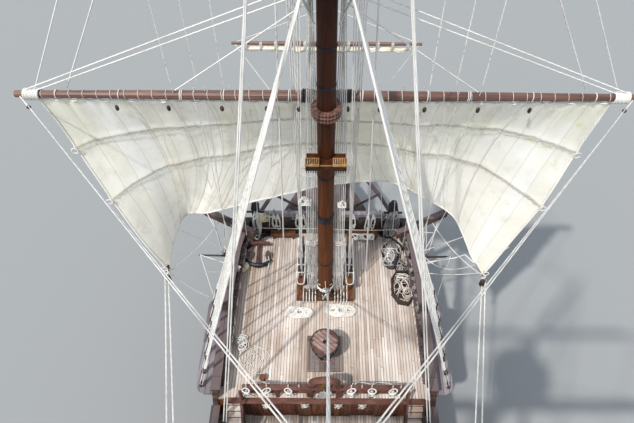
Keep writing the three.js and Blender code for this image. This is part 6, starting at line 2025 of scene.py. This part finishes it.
# %% Rudder irons and lantern
straps, hull_straps = bmesh.new(), bmesh.new()
for z in (-2.6, -0.9, 0.8, 2.4):
    axis = STERN_FOOT - RAKE * (z + 0.15) - 0.52
    for side, _ in both():
        y = side * 0.135
        plank(straps, (axis - 0.02, y, z + 0.4), (axis - 0.75, y, z + 0.32), 0.02, 0.1, edge=0.004)
        y = side * 0.175
        plank(hull_straps, (axis + 0.18, y, z + 0.14), (axis + 0.55, y, z + 0.16), 0.02, 0.1, edge=0.004)
piece(straps, "rudder_straps", "rudder", "iron")
piece(hull_straps, "post_straps", "hull", "iron")
LANTERN_X, LANTERN_SIDES = STERN_FOOT - RAKE * 9.7 - 0.1, 8
glass, frame_bars = bmesh.new(), bmesh.new()
for k in range(LANTERN_SIDES):
    a, b = (2 * math.pi * j / LANTERN_SIDES for j in (k, k + 1))
    corners = [Vector((LANTERN_X + r * math.cos(t), r * math.sin(t), z)) for t, r, z in
               ((a, 0.335, 10.14), (b, 0.335, 10.14), (b, 0.41, 10.76), (a, 0.41, 10.76))]
    glass.faces.new([glass.verts.new(c) for c in corners])
    for start, end, thick in ((0, 3, 0.022), (0, 1, 0.022), (3, 2, 0.026)):
        bar(frame_bars, corners[start], corners[end], thick, None, 6)
ball(frame_bars, (LANTERN_X, 0, 11.42), 0.06)
piece(glass, "lantern_panes", "hull", "pane", smooth=10)
piece(frame_bars, "lantern_bars", "hull", "brass")
print("stern done")

# %% [markdown]
# ## The break of the forecastle
# Where the forecastle deck ends there is a rail with belaying pins, and in its middle the belfry: two posts
# joined by a horseshoe arch, with the ship's bell under it and its rope below. The arch is a half ring of
# squared wood; the bell is a profile spun round.

# %% Break rail, belfry and bell
BREAK_X, ARCH_Z, ARCH_STEPS = 6.92, 6.7, 12


def turned_shape(bm, profile, x, y, steps=16):
    """A profile of radius and height spun round an upright axis."""
    drawn = [bm.verts.new((x + r, y, z)) for r, z in profile]
    edges = [bm.edges.new((a, b)) for a, b in zip(drawn, drawn[1:])]
    bmesh.ops.spin(bm, geom=drawn + edges, cent=(x, y, 0), axis=(0, 0, 1), angle=2 * math.pi, steps=steps,
                   use_merge=True)
    bmesh.ops.remove_doubles(bm, verts=bm.verts, dist=0.0005)


rail = bmesh.new()
block(rail, (BREAK_X - 0.11, -3.1, 6.38), (BREAK_X + 0.11, 3.1, 6.5), 0.025)
block(rail, (BREAK_X - 0.05, -3.06, 5.92), (BREAK_X + 0.05, 3.06, 6.0), 0.012)
for k in range(6):
    y = -3.02 + 6.04 * k / 5
    block(rail, (BREAK_X - 0.08, y - 0.08, 5.5), (BREAK_X + 0.08, y + 0.08, 6.39), 0.02)
for side, _ in both():
    block(rail, (BREAK_X - 0.09, side * 0.5 - 0.07, 5.5), (BREAK_X + 0.09, side * 0.5 + 0.07, 6.72), 0.02)
turns = [math.pi * k / ARCH_STEPS for k in range(ARCH_STEPS + 1)]
outer_arc = [(0.57 * math.cos(a), ARCH_Z + 0.57 * math.sin(a)) for a in turns]
inner_arc = [(0.42 * math.cos(a), ARCH_Z + 0.4 * math.sin(a)) for a in turns]
faces = []
for k in range(ARCH_STEPS):
    corners = [outer_arc[k], outer_arc[k + 1], inner_arc[k + 1], inner_arc[k]]
    faces.append(rail.faces.new([rail.verts.new((BREAK_X + 0.09, y, z)) for y, z in corners]))
bmesh.ops.remove_doubles(rail, verts=[v for f in faces for v in f.verts], dist=0.0005)
arch = [f for f in rail.faces if all(abs(v.co.x - BREAK_X - 0.09) < 1e-5 and v.co.z > ARCH_Z - 0.01
                                     for v in f.verts)]
pushed = bmesh.ops.extrude_face_region(rail, geom=arch, use_keep_orig=True)
moved = [v for v in pushed["geom"] if isinstance(v, bmesh.types.BMVert)]
bmesh.ops.translate(rail, vec=(-0.18, 0, 0), verts=moved)
piece(rail, "break_rail_and_belfry", "hull", "red_brown", nodes=["forecastle_rail"], recalculate=True)

cover = bmesh.new()
for k in range(ARCH_STEPS):
    a, b = (Vector((BREAK_X, 1.03 * y, ARCH_Z + (z - ARCH_Z) * 1.03))
            for y, z in (outer_arc[k], outer_arc[k + 1]))
    middle = (a + b) / 2 - Vector((BREAK_X, 0, ARCH_Z))
    plank(cover, a, b, 0.26, 0.03, up=middle, edge=0.004)
piece(cover, "belfry_roof_boards", "hull", "red_brown")

bell = bmesh.new()
turned_shape(bell, [(0.0, 6.81), (0.15, 6.80), (0.19, 6.79), (0.2, 6.805), (0.165, 6.87), (0.13, 6.97),
                    (0.115, 7.06), (0.09, 7.12), (0.04, 7.14), (0.0, 7.14)], BREAK_X, 0.0, 20)
ball(bell, (BREAK_X, 0.0, 6.785), 0.04)
piece(bell, "ships_bell", "hull", "brass", smooth=50, recalculate=True)
headstock = bmesh.new()
block(headstock, (BREAK_X - 0.06, -0.42, 7.02), (BREAK_X + 0.06, 0.42, 7.13), 0.02)
for side, _ in both():
    ring(headstock, (BREAK_X, side * 0.06, 7.1), 0.05, 0.014, (1, 0, 0), 12, 5)
piece(headstock, "bell_headstock", "hull", "iron")

pins, coils = bmesh.new(), []
PIN_Y = [2.92, 2.55, 2.16, 1.35, 0.95, -1.0, -1.4, -1.77, -2.55, -2.85]
COILED = (2.92, 2.16, 1.35, -1.0, -1.77, -2.55)
for k, y in enumerate(PIN_Y):
    bar(pins, (BREAK_X, y, 6.18), (BREAK_X, y, 6.4), 0.02, 0.024, 8)
    bar(pins, (BREAK_X, y, 6.5), (BREAK_X, y, 6.68), 0.034, 0.026, 8)
    ball(pins, (BREAK_X, y, 6.69), 0.033)
    if y in COILED:
        lean, grow = 0.35 * (k % 3 - 1), 0.012 * (k % 3)
        for j in range(4):
            coils.append([Vector((BREAK_X - 0.16 + 0.10 * math.cos(a + lean),
                                  y + (0.12 + 0.008 * j + grow) * math.sin(a),
                                  6.53 + 0.012 * j + 0.03 * math.cos(a + j)))
                          for a in angles(12, 13)])
        coils.append(hank((BREAK_X - 0.13, y, 6.5), 0.55, 0.12, 4, (1, 0, 0.1), 800 + k, 0.024))
piece(pins, "break_rail_pins", "hull", "tread")
ropes("break_rail_coils", coils, 0.019, sides=0)
bights = []
for y0, y1 in ((2.85, 2.2), (2.7, 2.1), (-1.05, -1.7), (-1.15, -1.8), (-1.85, -2.5)):
    bights.append([Vector((7.05 + 0.32 * math.sin(math.pi * i / 8), y0 + (y1 - y0) * i / 8,
                           6.5 - 0.75 * math.sin(math.pi * i / 8))) for i in range(9)])
ropes("break_rail_bights", bights, 0.02)
wreath = []
for k in range(6):
    wreath.append([Vector((6.72 - 0.01 * (k % 3) + 0.04 * math.sin(3 * a + k),
                           0.02 + (0.2 + 0.015 * k) * math.sin(a),
                           6.26 + (0.25 + 0.012 * k) * math.cos(a + 0.3 * k)))
                   for a in angles(14, 15)])
wreath.append([Vector((BREAK_X, 0, 6.75)), Vector((6.86, 0.01, 6.66)), Vector((6.75, 0.02, 6.52))])
ropes("bell_rope_wreath", wreath, 0.02, finish="grey_rope", sides=0)
print("belfry and", len(PIN_Y), "pins")

# %% [markdown]
# ## Deck edges, bulkheads and doors
# Each raised deck ends in a nosing over its bulkhead. The bulkheads are framed and battened boards; the doors
# have ledges, strap hinges and a ring handle, and they ride with their leaf. Doorways have a frame.

# %% Nosings, battens and frames
nosings = bmesh.new()
for x, reach, z, wide in ((6.72, 3.9, 5.47, 0.22), (-5.42, 3.7, 5.57, 0.2), (-11.93, 3.1, 7.97, 0.2)):
    plank(nosings, (x, -reach, z), (x, reach, z), wide, 0.11, edge=0.02)
piece(nosings, "deck_nosings", "hull", "red_brown")

FRONTS = {
    # name: face, facing, floor, ceiling, doors, outer limit of the battens, boards in another colour
    "forecastle": (6.85, -1, 3.1, 5.38, (1.6, -1.6), 3.0, ((0.55, 1.05), (-0.62, -0.42))),
    "quarterdeck": (-5.55, 1, 3.1, 5.48, (0.0,), 2.75, ()),
    "poop": (-12.05, 1, 5.6, 7.88, (0.0,), 2.15, ()),
}
frames, boards, bright = (bmesh.new() for _ in range(3))
irons, ledges = {}, {}
for name, (face, facing, floor, ceiling, doors, reach, coloured) in FRONTS.items():
    x = face + facing * 0.02
    for z in (floor + 0.1, ceiling - 0.16):
        low = -reach
        for gap in sorted(doors) if z < floor + 1 else ():
            plank(frames, (x, low, z), (x, gap - 0.6, z), 0.06, 0.14, edge=0.01)
            low = gap + 0.6
        plank(frames, (x, low, z), (x, reach, z), 0.06, 0.14, edge=0.01)
    y = -reach + 0.12
    while y < reach:
        if all(abs(y - door) > 0.64 for door in doors):
            block(boards, (x - 0.018, y - 0.03, floor + 0.17), (x + 0.018, y + 0.03, ceiling - 0.23), 0.006)
        y += 0.29
    for low, high in coloured:
        block(bright, (x - 0.03, low, floor + 0.18), (x + 0.012, high, ceiling - 0.24), 0.01)
    for i, door in enumerate(doors):
        for side in (-1, 1):
            plank(frames, (x, door + side * 0.56, floor), (x, door + side * 0.56, floor + 2.0), 0.09, 0.05,
                  up=(1, 0, 0))
        plank(frames, (x, door - 0.62, floor + 1.95), (x, door + 0.62, floor + 1.95), 0.07, 0.12, edge=0.014)
        key = name + "_door" + (("_port", "_starboard")[i] if len(doors) > 1 else "")
        hinge = -1 if door < 0 else 1
        leaf_x = face + facing * 0.012
        ledges[key], irons[key] = bmesh.new(), bmesh.new()
        for z in (floor + 0.32, floor + 0.98, floor + 1.62):
            plank(ledges[key], (leaf_x, door - 0.36, z), (leaf_x, door + 0.36, z), 0.024, 0.13, edge=0.006)
        pin_y, strap_x, pin_x = door + hinge * 0.4, leaf_x + facing * 0.016, leaf_x + facing * 0.008
        for z in (floor + 0.32, floor + 1.62):
            plank(irons[key], (strap_x, pin_y, z), (strap_x, door - hinge * 0.22, z), 0.008, 0.045,
                  edge=0.002)
            bar(irons[key], (pin_x, pin_y, z - 0.05), (pin_x, pin_y, z + 0.05), 0.016, None, 8)
        ring(irons[key], (leaf_x + facing * 0.04, door - hinge * 0.3, floor + 0.9), 0.055, 0.009, (1, 0, 0.2),
             14, 5)
        ball(irons[key], (leaf_x + facing * 0.02, door - hinge * 0.3, floor + 0.96), 0.022)
piece(frames, "bulkhead_frames", "hull", "red_brown")
piece(boards, "bulkhead_battens", "hull", "red_brown")
piece(bright, "bright_boards", "hull", "orange")
for key in ledges:
    piece(ledges[key], key + "_ledges", key, "red_brown")
    piece(irons[key], key + "_irons", key, "iron")
knots = []
for y, z in ((0.77, 5.0), (-0.55, 5.0), (-1.5, 4.98), (2.3, 4.9)):
    knots.append(hank((6.72, y, z + 0.2), 0.42, 0.1, 3, (1, 0, 0), int(100 * abs(y)), 0.03))
    knots.append([Vector((6.72, y - 0.16, z + 0.12)), Vector((6.66, y, z)), Vector((6.7, y + 0.14, z - 0.2)),
                  Vector((6.72, y + 0.1, z - 0.5))])
    knots.append([Vector((6.72, y + 0.16, z + 0.1)), Vector((6.65, y, z + 0.01)),
                  Vector((6.71, y - 0.15, z - 0.18))])
ropes("bulkhead_hanks", knots, 0.024, sides=0)

# %% Ladders: treads, strings and handrails
# Each pair of ladders: x and height of its foot, x and height of its head, and its distance off the middle.
TREADS = 8
LADDER_RUNS = ((5.55, 3.1, 6.87, 5.38, 3.55), (-4.2, 3.1, -5.57, 5.48, 3.2), (-10.9, 5.6, -12.07, 7.88, 2.6))
treads, strings, ladder_rails = bmesh.new(), bmesh.new(), bmesh.new()
for x0, z0, x1, z1, at_y in LADDER_RUNS:
    run, rise = (x1 - x0) / TREADS, (z1 - z0) / (TREADS + 1)
    way = 1 if run > 0 else -1
    for side, _ in both():
        y = side * at_y
        for i in range(TREADS):
            ends = sorted((x0 + i * run - way * 0.035, x0 + (i + 1) * run))
            z = z0 + (i + 1) * rise
            block(treads, (ends[0], y - 0.35, z - 0.006), (ends[1], y + 0.35, z + 0.032), 0.008)
        for edge in (-1, 1):
            plank(strings, (x0 - way * 0.02, y + edge * 0.36, z0 + 0.12), (x1, y + edge * 0.36, z1 + 0.05),
                  0.05, 0.28)
            if edge * side < 0:
                rail_y, top_x = y + edge * 0.38, x1 - way * 0.1
                block(ladder_rails, (x0 - 0.05, rail_y - 0.04, z0), (x0 + 0.05, rail_y + 0.04, z0 + 1.15),
                      0.012)
                plank(ladder_rails, (x0, rail_y, z0 + 1.1), (top_x, rail_y, z1 + 0.95), 0.06, 0.05)
                block(ladder_rails, (top_x - 0.05, rail_y - 0.05, z1 + 0.1),
                      (top_x + 0.05, rail_y + 0.05, z1 + 1.05), 0.012)
piece(treads, "ladder_treads", "hull", "tread")
piece(strings, "ladder_strings", "hull", "dark")
piece(ladder_rails, "ladder_handrails", "hull", "red_brown")

# %% [markdown]
# ## The capstan
# The capstan is a barrel with whelps, upright ribs that grip the rope, under a drumhead of oak boards with a
# row of square holes for the bars, shown as small black squares of painted shade. It turns with its body.

# %% Capstan head, whelps and painted shade of the bar holes
head_boards, rims, rim_wood, socket_shade_squares, whelps = (bmesh.new() for _ in range(5))
CAP_X, CAP_R, CAP_TOP = 8.6, 0.53, 6.75
way, across = Vector((0.62, 0.78, 0)), Vector((-0.78, 0.62, 0))
for k in range(-3, 4):
    off = k * 0.15
    chord = math.sqrt(max(0.0, (CAP_R - 0.02) ** 2 - (abs(off) + 0.06) ** 2))
    middle = Vector((CAP_X, 0, CAP_TOP + 0.004)) + across * off
    plank(head_boards, middle - way * chord, middle + way * chord, 0.128, 0.03, edge=0.008)
ring(rims, (CAP_X, 0, CAP_TOP - 0.03), CAP_R + 0.005, 0.035, (0, 0, 1), 36, 6)
ring(rims, (CAP_X, 0, CAP_TOP - 0.26), CAP_R - 0.01, 0.03, (0, 0, 1), 36, 6)
bar(rims, (CAP_X, 0, CAP_TOP), (CAP_X, 0, CAP_TOP + 0.045), 0.09, 0.07, 16)
bar(rim_wood, (CAP_X, 0, CAP_TOP - 0.01), (CAP_X, 0, CAP_TOP + 0.004), CAP_R - 0.01, None, 32)
piece(rim_wood, "capstan_head_rim", "capstan", "red_brown")
# Small black squares on the drum's side: painted shade of the holes for the bars.
for k in range(10):
    a = 2 * math.pi * k / 10
    out = Vector((math.cos(a), math.sin(a), 0))
    spot = Vector((CAP_X, 0, CAP_TOP - 0.14)) + out * (CAP_R + 0.002)
    plank(socket_shade_squares, spot - out * 0.02, spot + out * 0.012, 0.1, 0.1, edge=0.0)
for k in range(8):
    a = 2 * math.pi * (k + 0.5) / 8
    out = Vector((math.cos(a), math.sin(a), 0))
    foot, top = Vector((CAP_X, 0, 5.78)) + out * 0.34, Vector((CAP_X, 0, 6.44)) + out * 0.29
    plank(whelps, foot, top, 0.11, 0.16, up=out, edge=0.02)
    b = 2 * math.pi * (k + 1) / 8
    beside = Vector((-math.sin(b), math.cos(b), 0)) * 0.1
    for z, r in ((5.86, 0.36), (6.3, 0.33)):
        spot = Vector((CAP_X + r * math.cos(b), r * math.sin(b), z))
        plank(whelps, spot + beside, spot - beside, 0.06, 0.07, edge=0.01)
piece(head_boards, "capstan_head_boards", "capstan", "capstan")
piece(rims, "capstan_rims", "capstan", "iron")
piece(socket_shade_squares, "capstan_bar_socket_shade", "capstan", "black")
piece(whelps, "capstan_whelps", "capstan", "dark")
bed = bmesh.new()
for k in range(10):
    a = 2 * math.pi * k / 10
    inner, outer = (Vector((CAP_X + r * math.cos(a), r * math.sin(a), 5.615)) for r in (0.5, 0.58))
    plank(bed, inner, outer, 0.07, 0.04, edge=0.008)
for side, _ in both():
    plank(bed, (CAP_X - 0.67, side * 0.68, 5.56), (CAP_X + 0.67, side * 0.68, 5.56), 0.1, 0.12, edge=0.02)
    plank(bed, (CAP_X + side * 0.7, -0.73, 5.56), (CAP_X + side * 0.7, 0.73, 5.56), 0.1, 0.12, edge=0.02)
piece(bed, "capstan_pawl_rim", "hull", "bed")
print("capstan dressed")

# %% [markdown]
# ## The waist
# Amidships: the hatch's grating over a coaming, the pumps by the mainmast, the bitts and the pin rail round
# it, a chest, casks and coils of rope. Gratings are crossed battens, let into each other.

# %% Hatch, pumps, bitts and casks
grating, coaming = bmesh.new(), bmesh.new()
for k in range(15):
    block(grating, (1.3 + 0.152 * k, -1.05, 3.45), (1.365 + 0.152 * k, 1.05, 3.505), 0.0)
    block(grating, (1.24, -1.03 + 0.142 * k, 3.465), (3.56, -0.97 + 0.142 * k, 3.512), 0.0)
for side, _ in both():
    plank(coaming, (1.1, side * 1.16, 3.33), (3.7, side * 1.16, 3.33), 0.16, 0.42, edge=0.03)
    plank(coaming, (2.4 + side * 1.22, -1.24, 3.33), (2.4 + side * 1.22, 1.24, 3.33), 0.16, 0.42, edge=0.03)
piece(grating, "hatch_grating", "hull", "tread")
piece(coaming, "hatch_coaming", "hull", "red_brown")

pumps, pump_irons = bmesh.new(), bmesh.new()
for side, _ in both():
    y = side * 0.62
    bar(pumps, (-1.95, y, 3.1), (-1.95, y, 4.15), 0.15, 0.13, 8)
    plank(pumps, (-2.3, y, 3.85), (-2.05, y, 3.9), 0.08, 0.08)
    plank(pumps, (-1.6, y, 3.1), (-1.6, y, 4.6), 0.1, 0.12, up=(1, 0, 0))
    plank(pump_irons, (-2.25, y, 4.45), (-1.0, y, 4.75), 0.04, 0.05)
    bar(pump_irons, (-1.95, y, 4.1), (-1.95, y, 4.52), 0.015, None, 6)
    for z in (3.3, 3.7, 4.08):
        ring(pump_irons, (-1.95, y, z), 0.15, 0.016, sides=10, around=5)
piece(pumps, "deck_pumps", "hull", "rail")
piece(pump_irons, "pump_irons", "hull", "iron")

bitts, bitt_pins, bitt_coils = bmesh.new(), bmesh.new(), []
BITTS_X, BITTS_REACH = -0.15, 1.3
for y in (-BITTS_REACH, -0.45, 0.45, BITTS_REACH):
    block(bitts, (BITTS_X - 0.12, y - 0.12, 3.1), (BITTS_X + 0.12, y + 0.12, 4.35), 0.03)
plank(bitts, (BITTS_X, -BITTS_REACH - 0.25, 4.05), (BITTS_X, BITTS_REACH + 0.25, 4.05), 0.22, 0.13, edge=0.02)
for k in range(9):
    y = -1.4 + 0.35 * k
    bar(bitt_pins, (BITTS_X, y, 3.82), (BITTS_X, y, 4.32), 0.018, 0.028, 8)
    if k % 4:
        bitt_coils.append(hank((BITTS_X + 0.14, y, 4.12), 0.6, 0.13, 4, (1, 0, 0), 900 + k, 0.03))
piece(bitts, "main_bitts", "hull", "red_brown")
piece(bitt_pins, "main_bitts_pins", "hull", "tread")
ropes("main_bitts_coils", bitt_coils, 0.022, sides=0)

casks, hoops = bmesh.new(), bmesh.new()
for x, y in ((5.9, 1.9), (5.85, 1.25), (-3.6, 3.35), (-3.5, -3.4)):
    turned_shape(casks, [(0.0, 3.12), (0.24, 3.12), (0.24, 3.14), (0.3, 3.38), (0.32, 3.52), (0.3, 3.66),
                         (0.24, 3.9), (0.24, 3.92), (0.22, 3.9), (0.0, 3.9)], x, y, 16)
    for z, r in ((3.2, 0.262), (3.36, 0.3), (3.68, 0.3), (3.84, 0.262)):
        ring(hoops, (x, y, z), r, 0.012, sides=18, around=5)
piece(casks, "deck_casks", "hull", "orange", recalculate=True)
piece(hoops, "cask_hoops", "hull", "iron")
chests = bmesh.new()
block(chests, (4.4, -0.45, 3.12), (5.0, 0.45, 3.55), 0.02)
plank(chests, (4.37, 0, 3.59), (5.03, 0, 3.59), 0.98, 0.06, edge=0.02)
plank(chests, (-14.6, -0.4, 8.2), (-14.6, 0.4, 8.2), 0.5, 0.36, edge=0.02)
plank(chests, (-7.0, -1.0, 5.82), (-7.0, 1.0, 5.82), 0.55, 0.4, edge=0.02)
piece(chests, "deck_chests", "hull", "red_brown")
WAIST, QUARTERDECK, POOP = 3.12, 5.62, 8.02
LOWER_COILS = ((3.9, 3.3, WAIST, 0.42), (2.1, -3.5, WAIST, 0.38), (0.2, 3.6, WAIST, 0.34),
               (-2.6, -3.4, WAIST, 0.4), (5.4, -2.1, WAIST, 0.36), (-7.6, 2.4, QUARTERDECK, 0.36),
               (-9.3, -2.6, QUARTERDECK, 0.33), (-13.6, 1.9, POOP, 0.34), (-16.4, -1.4, POOP, 0.3))
lower_coils = [flat_coil((x, y, z), r, 7, (1.1, 0.95), 0.03, 40 + k)
               for k, (x, y, z, r) in enumerate(LOWER_COILS)]
ropes("lower_deck_coils", lower_coils, 0.024, sides=0)
beams = bmesh.new()
for x in (5.2, 0.4):
    plank(beams, (x, -4.15, 4.5), (x, 4.15, 4.5), 0.2, 0.2, edge=0.03)
for y in (-1.6, -1.85, 1.65):
    bar(beams, (-0.4, y, 4.72), (6.1, y, 4.72), 0.11, 0.07, 10)
piece(beams, "skid_beams_and_spare_spars", "hull", "rail")
print("waist furnished")

# %% Quarterdeck and poop: companion hatch, rails and pins
hatch = bmesh.new()
block(hatch, (-8.9, -0.55, 5.6), (-8.1, 0.55, 6.0), 0.03)
for k in range(8):
    block(hatch, (-8.84 + 0.1 * k, -0.5, 6.0), (-8.8 + 0.1 * k, 0.5, 6.03), 0.0)
piece(hatch, "companion_hatch", "hull", "red_brown")
aft_pins, aft_coils = bmesh.new(), []
for x, reach, top in ((-5.65, 2.7, 6.6), (-12.15, 2.1, 8.95)):
    for k in range(7):
        y = -reach + 0.3 + (2 * reach - 0.6) * k / 6
        bar(aft_pins, (x, y, top - 0.3), (x, y, top + 0.15), 0.02, 0.028, 8)
        if k in (0, 2, 3, 5, 6):
            aft_coils.append(hank((x + 0.12, y, top + 0.03), 0.5, 0.13, 4, (1, 0, 0), 950 + k, 0.028))
piece(aft_pins, "aft_rail_pins", "hull", "tread")
ropes("aft_rail_coils", aft_coils, 0.022, sides=0)
caps = bmesh.new()
plank(caps, (-5.65, -2.82, 6.6), (-5.65, 2.82, 6.6), 0.24, 0.05, edge=0.012)
plank(caps, (-12.15, -2.22, 8.95), (-12.15, 2.22, 8.95), 0.24, 0.05, edge=0.012)
for x, reach, floor in ((-5.65, 2.75, QUARTERDECK), (-12.15, 2.15, POOP)):
    y = -reach + 0.25
    while y < reach:
        turned_shape(caps, [(0.0, floor + 0.48), (0.03, floor + 0.48), (0.05, floor + 0.56),
                            (0.025, floor + 0.66), (0.045, floor + 0.8), (0.0, floor + 0.8)], x, y, 8)
        y += 0.5
piece(caps, "aft_rail_caps", "hull", "red_brown", recalculate=True)

# %% [markdown]
# ## The tops
# The tops are round platforms on the trestle trees. Their sides are staves with hoops round them, and the
# ropes of the topmast shrouds lead up to their edge.

# %% Tops: staves and hoops
for word, x, top, radius in (("foremast", FOREMAST_X, 20.3, 1.2), ("mainmast", MAINMAST_X, 24.0, 1.4)):
    staves, hoops = bmesh.new(), bmesh.new()
    for k in range(28):
        a = 2 * math.pi * k / 28
        out = Vector((math.cos(a), math.sin(a), 0))
        low = Vector((x, 0, top - 0.08)) + out * (radius - 0.22)
        high = Vector((x, 0, top + 0.86)) + out * (radius + 0.12)
        plank(staves, low, high, 0.05, 0.05, up=out, edge=0.008)
    for share, thick in ((0.0, 0.045), (0.5, 0.03), (1.0, 0.05)):
        ring(hoops, (x, 0, top - 0.08 + 0.95 * share), radius - 0.2 + 0.34 * share, thick, (0, 0, 1), 40, 6)
    piece(staves, word + "_top_staves", "hull", "red_brown")
    piece(hoops, word + "_top_hoops", "hull", "dark")
print("tops done")

# %% [markdown]
# ## The fairlead on the foremast
# The falls pass through a slotted board on each side of the mast. The solid gives the two boards and the beam
# between them; here they get their pale plates, and thin black strips as painted shade in the slots.

# %% Fairlead plates and slots
plates, slot_shade_strips = bmesh.new(), bmesh.new()
for side, _ in both():
    y = side * 0.42
    block(plates, (10.905, y - 0.215, 14.345), (11.215, y + 0.215, 14.375), 0.006)
    # Black strips: painted shade inside the slots the falls pass through.
    block(plates, (10.9, y - 0.215, 14.3), (10.925, y + 0.215, 14.36), 0.006)
    for k in range(6):
        slot_y = y - 0.17 + 0.068 * k
        block(slot_shade_strips, (10.912, slot_y - 0.014, 14.02), (10.93, slot_y + 0.014, 14.29), 0.0)
        block(slot_shade_strips, (10.95, slot_y - 0.014, 14.36), (11.17, slot_y + 0.014, 14.378), 0.0)
block(plates, (10.965, -0.2, 14.255), (10.985, 0.2, 14.285), 0.0)
piece(plates, "fairlead_plates", "hull", "ochre_wood")
piece(slot_shade_strips, "fairlead_slot_shade", "hull", "black")
print("fairlead done")
